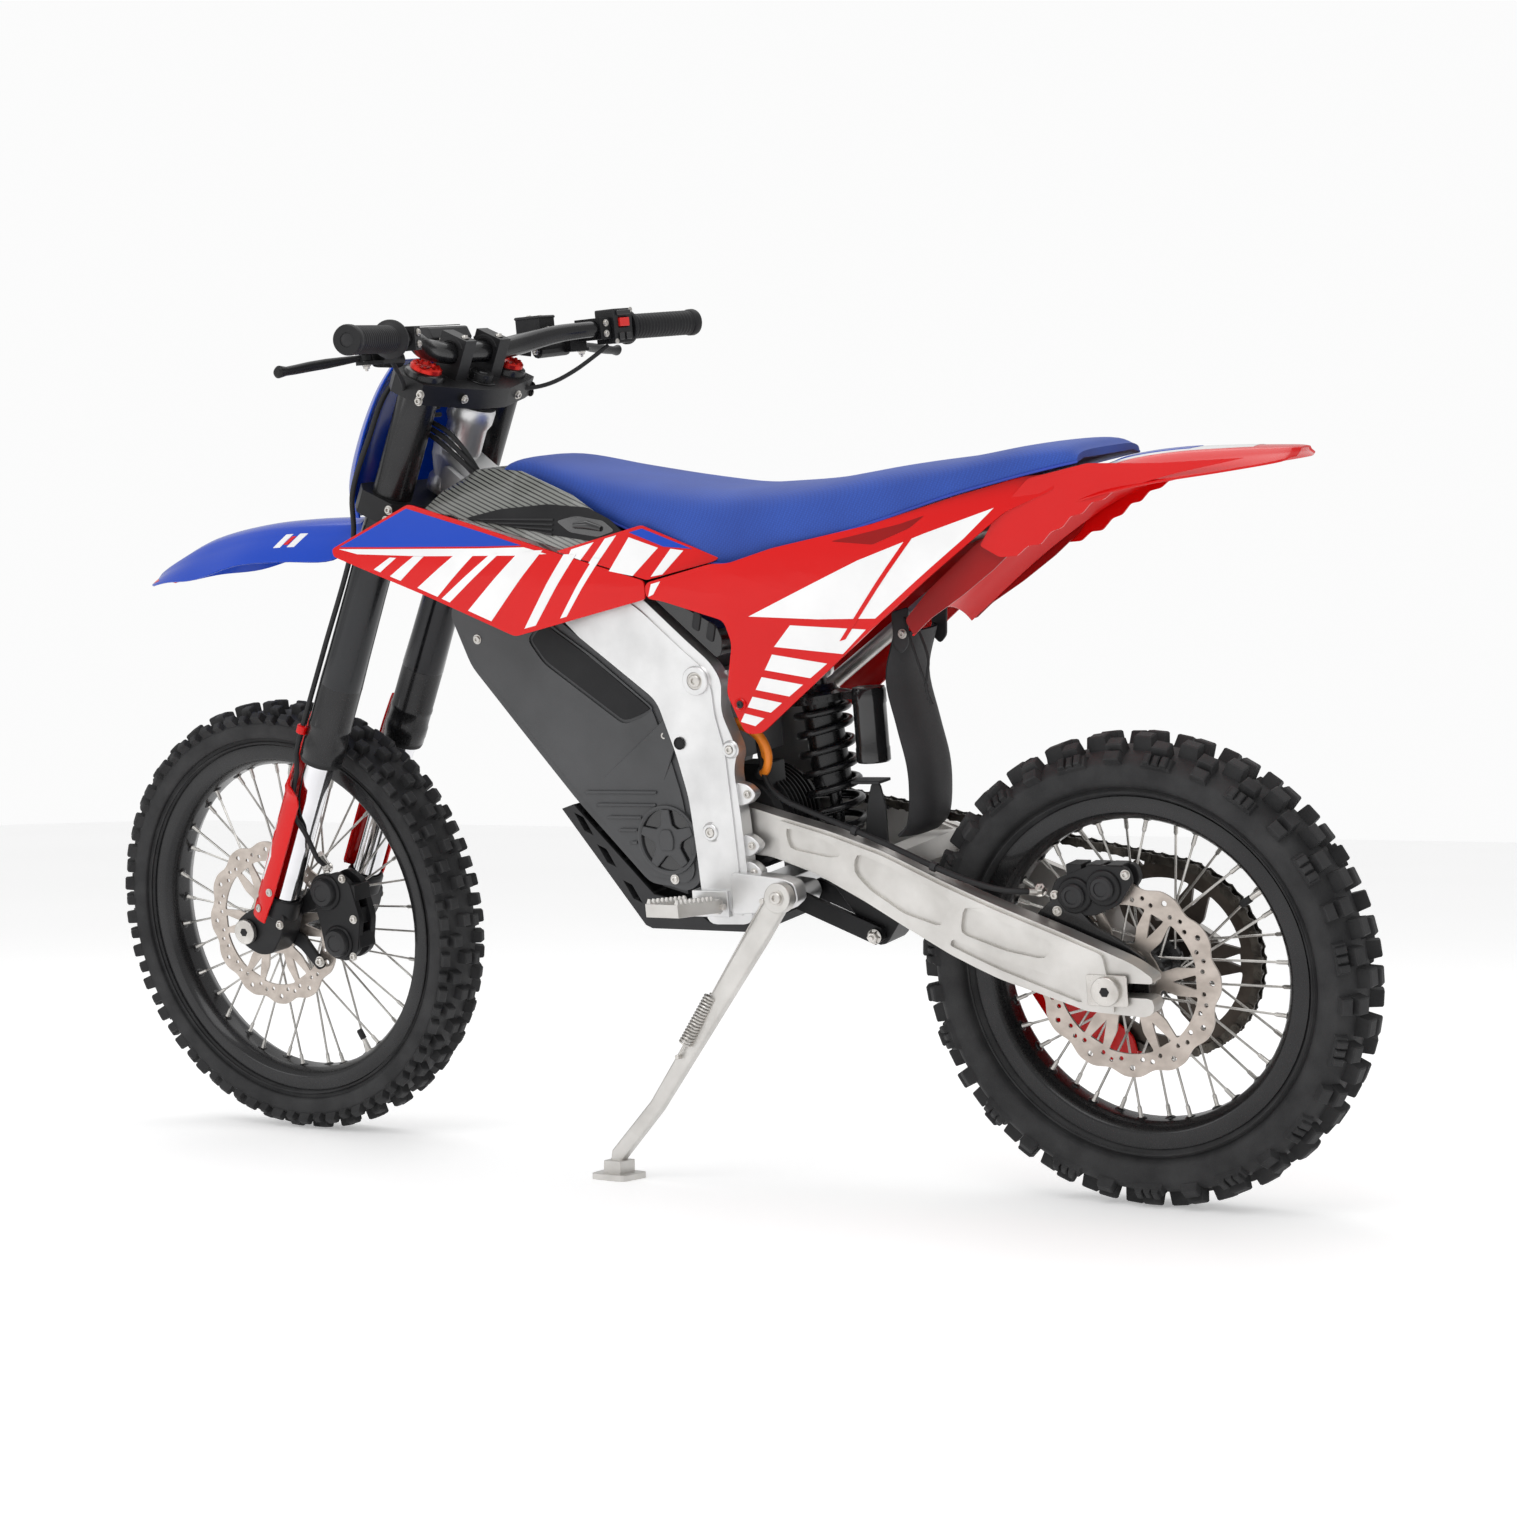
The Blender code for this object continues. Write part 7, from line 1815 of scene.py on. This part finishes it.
def build_hoses():
    """Brake hoses with their clips and banjo fittings."""
    hose = tube("front_brake_hose", front_hose_route(), 0.0036, "rubber", None, "front_hose")
    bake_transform(hose, "steering", "fork_lower", start=WORLD @ fork(0.1, 0, 0.66),
             end=WORLD @ fork(0.1, 0, 0.3))
    clip = lathe([(0.004, 0), (0.0075, 0.001), (0.0075, 0.012), (0.004, 0.013)],
                 fork(LEG_X + 0.0363 * math.sin(math.radians(38)),
                      LEG_BACK - 0.0363 * math.cos(math.radians(38)), 0.318), FORK_UP, 16)
    piece("hose_clip", clip, "red", "fork_lower", bevel=0.0008)
    rear = [(0.04, 0.168, 0.6), (0.062, 0.185, 0.56), (0.074, 0.2, 0.53), (0.082, 0.226, 0.5125),
            (0.084, 0.255, 0.501), (0.088, 0.3, 0.486), (0.094, 0.38, 0.458), (0.097, 0.46, 0.426),
            (0.094, 0.52, 0.408), (0.082, 0.552, 0.403), (0.066, 0.5665, 0.4)]
    hose = tube("rear_brake_hose", rear, 0.0038, "rubber", None, "rear_hose")
    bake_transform(hose, "chassis", "swingarm", start=WORLD @ Vector((0, 0.175, 0.575)),
             end=WORLD @ Vector((0, 0.235, 0.51)))
    clips = [lathe([(0.004, -0.004), (0.0062, -0.0035), (0.0062, 0.0035), (0.004, 0.004)], at,
                   (0.02, 0.9, -0.35), 16) for at in ((0.0905, 0.33, 0.4755), (0.0965, 0.44, 0.434))]
    piece("rear_hose_clips", together(*clips), "plastic", "swingarm")
    banjos = [nut((0.066, 0.5665, 0.4), (0.6, 0.2, 0.7), 0.0065, 0.009),
              sweep([(0.078, 0.556, 0.4025), (0.066, 0.5665, 0.4)], [0.0045, 0.0055], 14)]
    piece("rear_banjo", together(*banjos), "steel", "swingarm")
    banjos = [nut((0.075, -0.54, 0.407), (0.7, 0.3, 0.2), 0.0062, 0.009),
              sweep([fork(0.097, 0.074, 0.16), Vector((0.077, -0.541, 0.412))], [0.0042, 0.0052], 14)]
    piece("front_banjo", together(*banjos), "steel", "fork_lower")


def build_control_cables():
    """Loom round the head tube and the two thin cables under the bar."""
    for number, reach in enumerate((0.0, 0.006, 0.012)):
        loop = [fork(-0.02 - number * 0.008, -0.018, 0.8 - number * 0.012),
                fork(0.034, -0.012 + reach * 0.2, 0.796 - number * 0.008),
                fork(0.057, 0.026, 0.794 - number * 0.008),
                fork(0.061 + reach * 0.3, 0.07, 0.792 - number * 0.009),
                fork(0.054 + reach * 0.3, 0.108 + reach, 0.772 - number * 0.008),
                fork(0.034, 0.136 + reach, 0.735 - number * 0.004), fork(0.018, 0.15 + reach, 0.7)]
        cable = tube(f"loom_{number}", loop, 0.0034, "rubber", None)
        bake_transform(cable, "steering", "chassis", start=WORLD @ fork(0, 0.01, 0.77),
                 end=WORLD @ fork(0, 0.105, 0.74))
    hang = [flipped(on_bar(0.02, -0.006, -0.024)), Vector((-0.176, -0.214, 1.07)),
            Vector((-0.13, -0.232, 1.054)), Vector((-0.08, -0.25, 1.052)), Vector((-0.036, -0.262, 1.06)),
            Vector((-0.02, -0.29, 1.05))]
    tube("switch_cable", hang, 0.003, "rubber", "steering")
    left = [on_bar(0.012, 0.03, -0.012), Vector((0.15, -0.26, 1.075)), Vector((0.11, -0.29, 1.06)),
            Vector((0.07, -0.305, 1.05)), Vector((0.04, -0.31, 1.035))]
    tube("left_cable", left, 0.003, "rubber", "steering")


# ---------------------------------------------------------------- swingarm and brakes
def on_arm(y, z, height):
    """A point on the left arm's outer face, which spreads towards the axle."""
    return Vector((mix(0.088, 0.11, (y - 0.2) / 0.3) + height, y, z))


def arm_outline():
    top = [(0.213, 0.494), (0.3, 0.474), (0.374, 0.452), (0.454, 0.419), (0.533, 0.389), (0.61, 0.361),
           (0.7, 0.326)]
    y, z = REAR_AXLE.y, REAR_AXLE.z
    end = [(0.724, 0.31), (0.724, z + 0.0088), (y, z + 0.0088), (y, z - 0.0088), (0.724, z - 0.0088),
           (0.724, 0.268), (0.712, 0.262)]
    bottom = [(0.64, 0.266), (0.526, 0.3), (0.46, 0.327), (0.394, 0.36), (0.341, 0.388), (0.272, 0.42),
              (0.205, 0.44)]
    return arc((SWING_PIVOT.y, SWING_PIVOT.z), 0.034, 250, 90, 12) + top + end + bottom


def build_swingarm():
    """Arms with sunk windows, the bridge between them and the lug of the linkage."""
    outline = rounded(arm_outline(), 0.01, 2)
    left = draped(outline, on_arm, 0.04, 0.0, 0.027)
    right = mirrored(draped(outline, on_arm, 0.04, 0.0, 0.013))
    right_rear = prism([(0.34, 0.39), (0.36, 0.455), (0.454, 0.418), (0.46, 0.33)], -0.1, -0.078)
    cross = prism([(0.347, 0.414), (0.388, 0.414), (0.392, 0.424), (0.386, 0.448), (0.347, 0.446)], -0.09,
                  0.09)
    lug = prism(rounded([(0.349, 0.42), (0.35, 0.384), (0.358, 0.376), (0.368, 0.376), (0.376, 0.384),
                         (0.38, 0.42)], 0.004, 2), 0.029, 0.04)
    pin = rod(ROCKER_PIVOT - Vector((0.042, 0, 0)), ROCKER_PIVOT + Vector((0.042, 0, 0)), 0.007)
    piece("swingarm_beams", together(left, right, right_rear, cross, lug, mirrored(lug), pin), "blasted",
          "swingarm", "swingarm", bevel=0.0035, segments=3)
    band = [(0.222, 0.4885), (0.3, 0.4695), (0.374, 0.4475), (0.454, 0.4145), (0.533, 0.3845),
            (0.61, 0.3565), (0.664, 0.3365), (0.676, 0.266), (0.64, 0.2675), (0.526, 0.3055),
            (0.46, 0.3325), (0.394, 0.3655), (0.341, 0.3935), (0.272, 0.4255), (0.222, 0.44)]
    windows = [[(0.232, 0.48), (0.3, 0.461), (0.318, 0.448), (0.3, 0.442), (0.236, 0.452)],
               [(0.336, 0.45), (0.374, 0.438), (0.452, 0.406), (0.47, 0.396), (0.452, 0.362), (0.4, 0.376),
                (0.352, 0.404), (0.33, 0.426)], [(0.486, 0.39), (0.533, 0.374), (0.604, 0.348),
            (0.59, 0.328), (0.54, 0.336), (0.478, 0.356)], [(0.466, 0.348), (0.53, 0.326), (0.6, 0.308),
            (0.632, 0.29), (0.636, 0.276), (0.526, 0.314), (0.462, 0.34)]]
    windows = [rounded(w, 0.009, 2) for w in windows]
    piece("swingarm_ribs", draped(rounded(band, 0.006, 2), on_arm, 0.04, 0.005, 0.007, windows), "blasted",
          "swingarm", bevel=0.0022, segments=3)
    piece("swingarm_ribs_right",
          mirrored(draped(rounded(band, 0.006, 2), on_arm, 0.04, 0.0016, 0.003, windows)), "blasted",
          "swingarm", bevel=0.0012)


def build_axles():
    """Chain adjusters, both axles, and thin dark discs painted as the shade in their hexagon sockets."""
    adjuster = [prism(rounded([(REAR_AXLE.y - 0.026, REAR_AXLE.z - 0.019),
            (REAR_AXLE.y + 0.026, REAR_AXLE.z - 0.019), (REAR_AXLE.y + 0.026, REAR_AXLE.z + 0.019),
            (REAR_AXLE.y - 0.026, REAR_AXLE.z + 0.019)], 0.003, 2), 0.114, 0.1168)]
    adjuster += [mirrored(adjuster[0])]
    piece("chain_adjusters", together(*adjuster), "steel", "swingarm", bevel=0.0008)
    finer("rear_axle", "steel", 0.0012)
    finer("front_axle", "steel", 0.0012)
    # the hexagon sockets are thin dark discs: painted shade of the hollows in the axle ends
    socket_shades = [lathe([(0.0005, 0.0), (0.0062, 0.0), (0.0062, 0.0006), (0.0005, 0.0006)],
                     centre + ALONG_X * reach, ALONG_X, 6)
               for centre, reach in ((REAR_AXLE, 0.124), (FRONT_AXLE, 0.122))]
    piece("rear_axle_socket_shade", socket_shades[0], "case_dark", "swingarm")
    piece("front_axle_socket_shade", socket_shades[1], "case_dark", "fork_lower")


def build_calipers():
    """Two-piston brake calipers with their brackets and bolts."""
    pots = ((-0.545, 0.372, 0.0265), (-0.53, 0.3, 0.0245))
    outer = [lathe([(0.0005, 0.0), (r - 0.001, 0.0), (r, 0.001), (r, 0.0105), (r - 0.002, 0.0125),
                    (0.0005, 0.0125)], (0.0705, y, z), ALONG_X, 40) for y, z, r in pots]
    waist = rounded([(-0.568, 0.385), (-0.566, 0.345), (-0.562, 0.33), (-0.556, 0.285), (-0.52, 0.272),
                     (-0.498, 0.286), (-0.488, 0.334), (-0.5, 0.386), (-0.524, 0.402)], 0.008, 3)
    outer.append(prism(waist, 0.07, 0.0795))
    inner = prism(waist, 0.042, 0.053)
    bridges = [box((0.044, -0.52, z), (0.078, -0.493, z + 0.022)) for z in (0.292, 0.326, 0.36)]
    piece("front_caliper_halves", together(*outer, inner, *bridges), "cast_black", "fork_lower",
          "front_caliper", bevel=0.0022, segments=3)
    pots = ((0.616, 0.3985, 0.022), (0.654, 0.4085, 0.022))
    outer = [lathe([(0.0005, 0.0), (r - 0.001, 0.0), (r, 0.001), (r, 0.009), (r - 0.002, 0.011),
                    (0.0005, 0.011)], (0.069, y, z), ALONG_X, 36) for y, z, r in pots]
    waist = rounded([(0.58, 0.392), (0.592, 0.418), (0.64, 0.436), (0.686, 0.434), (0.692, 0.416),
                     (0.672, 0.388), (0.64, 0.374), (0.602, 0.374)], 0.007, 3)
    outer.append(prism(waist, 0.0685, 0.0755))
    bridges = [box((0.044, y, 0.418), (0.074, y + 0.02, 0.436)) for y in (0.606, 0.632, 0.658)]
    piece("rear_caliper_halves", together(*outer, prism(waist, 0.0425, 0.053), *bridges), "cast_black",
          "swingarm", "rear_caliper", bevel=0.002, segments=3)
    pots = []
    for y, z in ((-0.545, 0.372), (-0.53, 0.3)):
        pots.append(lathe([(0.0005, 0.0), (0.02, 0.0), (0.02, 0.006), (0.018, 0.0095), (0.012, 0.0105),
                           (0.011, 0.009), (0.0005, 0.009)], (0.0805, y, z), ALONG_X, 36))
    piece("front_caliper_pistons", together(*pots), "plastic", "fork_lower", sharp=30)
    bracket = rounded([(-0.642, 0.33), (-0.6, 0.336), (-0.572, 0.346), (-0.556, 0.37), (-0.56, 0.384),
                       (-0.574, 0.382), (-0.604, 0.356), (-0.645, 0.348)], 0.006, 3)
    lower = rounded([(-0.64, 0.318), (-0.604, 0.306), (-0.57, 0.262), (-0.582, 0.254), (-0.612, 0.286),
                     (-0.645, 0.302)], 0.006, 3)
    piece("front_caliper_bracket", together(prism(bracket, 0.063, 0.069), prism(lower, 0.063, 0.07)),
          "cast_black", "fork_lower", bevel=0.002)
    bolts = [bolt((0.07, y, z), ALONG_X, 0.0058, 0.005) for y, z in ((-0.577, 0.268), (-0.636, 0.311))]
    bolts += [bolt((0.0795, y, z), ALONG_X, 0.0046, 0.004)
              for y, z in ((-0.512, 0.392), (-0.506, 0.28), (-0.499, 0.334))]
    piece("front_caliper_bolts", together(*bolts), "steel", "fork_lower")
    pots = [lathe([(0.0005, 0.0), (0.015, 0.0), (0.015, 0.006), (0.013, 0.0085), (0.009, 0.009),
                   (0.0085, 0.0075), (0.0005, 0.0075)], (0.0772, y, z), ALONG_X, 32)
            for y, z in ((0.616, 0.3985), (0.654, 0.4085))]
    piece("rear_caliper_pistons", together(*pots), "plastic", "swingarm", sharp=30)
    hanger = rounded([(0.56, 0.372), (0.6, 0.404), (0.64, 0.36), (0.668, 0.346), (0.704, 0.322),
                      (0.704, 0.268), (0.662, 0.262), (0.62, 0.318)], 0.012, 4)
    holes = [circle((REAR_AXLE.y, REAR_AXLE.z), 0.018, 28)]
    piece("rear_caliper_hanger", plate(hanger, holes, 0.069, 0.0765), "anodised", "swingarm", bevel=0.0015)
    bolts = [bolt((x, y, z), ALONG_X, 0.0046, 0.004)
             for x, y, z in ((0.0755, 0.59, 0.398), (0.0755, 0.683, 0.425), (0.0765, 0.592, 0.379))]
    piece("rear_caliper_bolts", together(*bolts), "steel", "swingarm")


# ---------------------------------------------------------------- rear suspension
def helix(start, axis, radius, wire, turns, length, sides=12, per_turn=36, ends=0.75):
    """A coil spring whose end turns lie close together."""
    axis = Vector(axis).normalized()
    side = axis.orthogonal().normalized()
    up = axis.cross(side)
    count = int(turns * per_turn)
    path = []
    for k in range(count + 1):
        angle = 2 * math.pi * k / per_turn
        turn = turns * k / count
        closed = wire * 2.05
        live = (length - 2 * wire - 2 * closed * ends) / (turns - 2 * ends)
        if turn < ends:
            along = closed * turn
        elif turn > turns - ends:
            along = closed * ends + live * (turns - 2 * ends) + closed * (turn - turns + ends)
        else:
            along = closed * ends + live * (turn - ends)
        path.append(Vector(start) + axis * (along + wire)
                    + (side * math.cos(angle) + up * math.sin(angle)) * radius)
    return sweep(path, wire, sides)


def nut_pair(centre, reach, radius, height):
    """Nuts on both ends of a crosswise pin."""
    return [nut(centre + ALONG_X * reach * side, ALONG_X * side, radius, height) for side in (1, -1)]


def build_suspension():
    """Shock with its coil and preload ring, rocker and link rod."""
    down = (SHOCK_EYE - SHOCK_TOP).normalized()
    finer("shock_body", "anodised", 0.0014, 2)
    finer("shock_shaft", "anodised", 0.0012, 2)
    finer("rocker", "cast_black", 0.0025, 3)
    finer("link_rod", "cast_black", 0.0025, 3)
    spring = piece("shock_coil", helix(SHOCK_TOP + down * 0.0412, down, 0.0335, 0.005, 7.2, 0.17),
                   "anodised", "shock_upper", "shock_spring")
    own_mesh(spring)
    low, high = 0.0305, 0.0305 + 0.0065
    collar = lathe([(0.0255, low), (0.0385, low), (0.0395, low + 0.0015), (0.0395, low + 0.005),
                    (0.0385, high), (0.0255, high)], SHOCK_TOP, down, 40, ring=True)
    notches = []
    for k in range(16):
        outward = ALONG_X * math.cos(math.pi / 8 * k) + ALONG_X.cross(down) * math.sin(math.pi / 8 * k)
        notches.append(lathe([(0.002, 0), (0.002, 0.004)], SHOCK_TOP + down * 0.036 + outward * 0.0375,
                             outward, 8))
    piece("shock_preload_rings", together(collar, *notches), "anodised", "shock_upper", sharp=30)


def build_linkage():
    """Shock reservoir, the nuts of the linkage and the tab on the swingarm."""
    can = lathe([(0.0005, 0.0), (0.0205, 0.0), (0.022, 0.002), (0.022, 0.018), (0.0213, 0.02),
                 (0.0213, 0.074), (0.0222, 0.076), (0.0222, 0.092), (0.0205, 0.0955), (0.0005, 0.0955)],
                (0, 0.314, 0.5475), (0, 0, 1), 40)
    piece("shock_reservoir", can, "gloss_black", "shock_upper", sharp=30)
    piece("shock_top_nuts", together(*nut_pair(SHOCK_TOP, 0.0262, 0.008, 0.007)), "steel", "chassis")
    bolts = nut_pair(ROD_REAR, 0.0415, 0.0075, 0.008) + [nut(ROD_FRONT + ALONG_X * 0.034, ALONG_X, 0.008,
            0.007)]
    piece("link_nuts", together(*bolts), "steel", "link_rod")
    piece("rocker_nuts", together(*nut_pair(ROCKER_PIVOT, 0.0405, 0.008, 0.007)), "steel", "swingarm")
    tab = rounded([(0.318, 0.448), (0.352, 0.446), (0.352, 0.5), (0.346, 0.528), (0.334, 0.528),
                   (0.326, 0.5)], 0.004, 2)
    top = box((0.028, 0.312, 0.5285), (0.06, 0.352, 0.5325))
    piece("swingarm_tab", together(prism(tab, 0.044, 0.048), top), "plastic", "swingarm", bevel=0.001)


def build_stand():
    """Side stand: flat tapered leg, eye, foot and its return spring."""
    turn = Matrix.Rotation(-LEAN, 3, "Y")
    up = turn @ Vector((0, 0, 1))
    foot = turn @ STAND_FOOT_WORLD
    down = (foot - STAND_PIVOT).normalized()
    folded = Vector((0.0, 0.985, 0.17)).normalized()
    axis = down.cross(folded).normalized()
    ahead = axis.cross(down).normalized()
    ankle = foot + up * 0.01
    knee = STAND_PIVOT + down * 0.055
    rows = []
    stations = [(STAND_PIVOT + down * 0.006, 0.015, 0.0075), (knee, 0.015, 0.0085),
                (knee.lerp(ankle, 0.35), 0.0125, 0.008), (knee.lerp(ankle, 0.72), 0.01, 0.007),
                (ankle + up * 0.02, 0.0105, 0.0075), (ankle + up * 0.008, 0.012, 0.0085)]
    for at, wide, deep in stations:
        ring = []
        for degrees in range(0, 360, 20):
            c, s = math.cos(math.radians(degrees)), math.sin(math.radians(degrees))
            ring.append(at + ahead * wide * math.copysign(abs(c) ** 0.45, c)
                        + axis * deep * math.copysign(abs(s) ** 0.45, s))
        rows.append(ring)
    eye = lathe([(0.0062, -0.005), (0.018, -0.005), (0.019, -0.004), (0.019, 0.0095), (0.018, 0.0105),
                 (0.0062, 0.0105)], STAND_PIVOT, axis, 36, ring=True)
    sole = rounded([(-0.022, -0.03), (0.03, -0.026), (0.03, 0.026), (-0.022, 0.03)], 0.009, 3)
    pad = extrude([turn @ (STAND_FOOT_WORLD + Vector((x, y, 0))) for x, y in sole], up * 0.008)
    knuckle = extrude([turn @ (STAND_FOOT_WORLD + Vector((x, y, 0.006)))
                       for x, y in ((-0.013, -0.015), (0.018, -0.013), (0.018, 0.013), (-0.013, 0.015))],
                      up * 0.018)
    piece("stand_leg", together(loft(rows), eye, pad, knuckle), "blasted", "kickstand", "kickstand",
          bevel=0.0012)
    piece("stand_pivot_bolt", bolt(STAND_PIVOT + axis * 0.0105, axis, 0.0078, 0.005), "steel", "chassis")
    anchor = Vector((0.131, 0.214, 0.392))
    hook = knee + down * 0.2 + axis * 0.0125 - ahead * 0.008
    along = (hook - anchor).normalized()
    coil_start = anchor.lerp(hook, 0.6)
    spring = together(sweep([anchor, anchor.lerp(hook, 0.02), coil_start], 0.0016, 10),
                      helix(coil_start, along, 0.0078, 0.0015, 17, (hook - coil_start).length * 0.8, 8, 20),
                      sweep([coil_start + along * (hook - coil_start).length * 0.8, hook], 0.0013, 8))
    spring = piece("stand_spring", spring, "steel", None)
    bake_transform(spring, "chassis", "kickstand", start=WORLD @ (anchor + along * 0.001),
             end=WORLD @ (anchor + along * 0.02))
    post = rod(anchor - ALONG_X * 0.006, anchor + ALONG_X * 0.006, 0.0038, 16)
    piece("stand_spring_post", post, "steel", "chassis")
    piece("stand_hook_post", rod(hook - axis * 0.008, hook + axis * 0.003, 0.0032, 16), "steel",
          "kickstand")


def build_pegs():
    """Folding pegs: rails round an open middle with rows of teeth along the top."""
    y, z = PEG_HINGE.y, PEG_HINGE.z
    for side, name in ((1, "left"), (-1, "right")):
        finer(f"footpeg_{name}", "blasted", 0.0012, 2)
        teeth = []
        for rail in (-0.0205, 0.0205):
            for k in range(9):
                x = 0.152 + 0.0098 * k
                base = z + 0.008 + (x - 0.137) / 0.099 * 0.015 - 0.001
                corners = [Vector((x - 0.0032, y + rail - 0.003, base)),
                           Vector((x + 0.0032, y + rail - 0.003, base + 0.001)),
                           Vector((x + 0.0032, y + rail + 0.003, base + 0.001)),
                           Vector((x - 0.0032, y + rail + 0.003, base))]
                top = [c.lerp(Vector((x, y + rail, c.z)), 0.55) + Vector((0, 0, 0.0062)) for c in corners]
                teeth.append(loft([corners, top]))
        solid = together(*teeth)
        piece(f"peg_teeth_{name}", on_side(side, solid), "blasted", f"footpeg_{name}")
        pin = rod((PEG_HINGE.x + 0.001, y - 0.03, z), (PEG_HINGE.x + 0.001, y + 0.03, z), 0.0042, 16)
        piece(f"peg_pin_{name}", on_side(side, pin), "steel", "chassis")


def build_small_parts():
    """Rubber strap with its buckle under the fender, and the fender's clips."""
    strap = [(0.055, 0.402, 0.735), (0.058, 0.412, 0.705), (0.06, 0.424, 0.668), (0.059, 0.428, 0.655),
             (0.056, 0.43, 0.668), (0.053, 0.43, 0.69), (0.05, 0.412, 0.738)]
    tube("tail_strap", strap, 0.0018, "rubber", "chassis", sides=8)
    tail = [(0.059, 0.428, 0.655), (0.059, 0.43, 0.64), (0.058, 0.434, 0.628)]
    beads = sweep(route(tail, 0.004), [0.002 + 0.0012 * (k % 2) for k in range(len(route(tail, 0.004)))],
                  10)
    piece("tail_strap_end", beads, "rubber", "chassis")
    bracket = prism(rounded([(0.384, 0.742), (0.408, 0.748), (0.404, 0.7), (0.394, 0.69), (0.384, 0.7)],
                            0.004, 2), 0.05, 0.0535)
    piece("flap_brackets", both(bracket), "plastic", "chassis", bevel=0.001)
    piece("flap_bolts", both(bolt((0.0535, 0.398, 0.715), ALONG_X, 0.0045, 0.004)), "steel", "chassis")


# ---------------------------------------------------------------- stage
FLOOR_REACH = 14.0
FLOOR_GLOW = 0.33
SKY_LIGHT = 0.66
SKY_SEEN = 0.97
LAMPS = (("key", (2.6, 1.0, 3.4), 2.4, 42.0), ("top", (-0.8, -0.6, 3.6), 3.0, 34.0),
         ("side", (3.6, -2.8, 1.9), 2.2, 26.0))
LAMP_AIM = Vector((0, 0, 0.5))
CAMERA_PLACE = Vector((2.9403, 2.0123, 0.5501))
CAMERA_AIM = Vector((-0.8528, -0.5222, -0.0017))
LENS_MM = 64.97


def build_stage():
    """A pale floor under an even white sky, with three large soft lamps."""
    floor = bpy.data.objects.new("floor", bpy.data.meshes.new("floor"))
    corners = [(x * FLOOR_REACH, y * FLOOR_REACH, 0) for x, y in ((-1, -1), (1, -1), (1, 1), (-1, 1))]
    floor.data.from_pydata(corners, [], [(0, 1, 2, 3)])
    bpy.context.scene.collection.objects.link(floor)
    floor.data.materials.append(material("pale_floor", (0.86, 0.86, 0.86), (0.88, 0.88, 0.88), 0.6,
            mottle=0.6, grain=4.0, bump=0.0, spread=0.02))
    glow = floor.data.materials[0].node_tree.nodes["Principled BSDF"]
    glow.inputs["Emission Color"].default_value = (1.0, 1.0, 1.0, 1.0)
    glow.inputs["Emission Strength"].default_value = FLOOR_GLOW
    world = bpy.data.worlds.new("pale_studio")
    world.use_nodes = True
    tree = world.node_tree
    soft = tree.nodes["Background"]
    soft.inputs["Color"].default_value = (1.0, 1.0, 1.0, 1.0)
    soft.inputs["Strength"].default_value = SKY_LIGHT
    bright = tree.nodes.new("ShaderNodeBackground")
    bright.inputs["Color"].default_value = (1.0, 1.0, 1.0, 1.0)
    bright.inputs["Strength"].default_value = SKY_SEEN
    seen = tree.nodes.new("ShaderNodeLightPath")
    either = tree.nodes.new("ShaderNodeMixShader")
    tree.links.new(seen.outputs["Is Camera Ray"], either.inputs[0])
    tree.links.new(soft.outputs["Background"], either.inputs[1])
    tree.links.new(bright.outputs["Background"], either.inputs[2])
    tree.links.new(either.outputs["Shader"], tree.nodes["World Output"].inputs["Surface"])
    bpy.context.scene.world = world
    for name, place, size, power in LAMPS:
        lamp = bpy.data.lights.new(name, "AREA")
        lamp.shape = "SQUARE"
        lamp.size = size
        lamp.energy = power
        light = bpy.data.objects.new(name, lamp)
        light.location = place
        light.rotation_euler = (LAMP_AIM - Vector(place)).to_track_quat("-Z", "Y").to_euler()
        bpy.context.scene.collection.objects.link(light)


def build_camera():
    lens = bpy.data.cameras.new("photo_view")
    lens.lens = LENS_MM
    lens.sensor_width = 36.0
    lens.clip_start = 0.05
    lens.clip_end = 60.0
    camera = bpy.data.objects.new("photo_view", lens)
    camera.location = CAMERA_PLACE
    camera.rotation_euler = CAMERA_AIM.to_track_quat("-Z", "Y").to_euler()
    bpy.context.scene.collection.objects.link(camera)
    bpy.context.scene.camera = camera


build_wheel("front", FRONT_AXLE, FRONT_TYRE, "front_wheel", 0.066)
build_wheel("rear", REAR_AXLE, REAR_TYRE, "rear_wheel", 0.076)
build_sprockets()
build_chain()
build_chain_guard()
build_fork()
build_frame()
build_frame_lugs()
build_subframe()
build_battery()
build_charge_port()
build_battery_trim()
build_motor()
build_side_bodywork()
build_panel_films()
build_top_panel()
build_fenders()
build_number_plate()
build_mud_flap()
build_seat()
build_cockpit()
build_bar_clamps()
build_controls()
build_reservoir_and_switches()
build_hoses()
build_control_cables()
build_swingarm()
build_axles()
build_calipers()
build_suspension()
build_linkage()
build_stand()
build_pegs()
build_small_parts()
build_stage()
build_camera()
bpy.context.scene.view_settings.view_transform = "Standard"
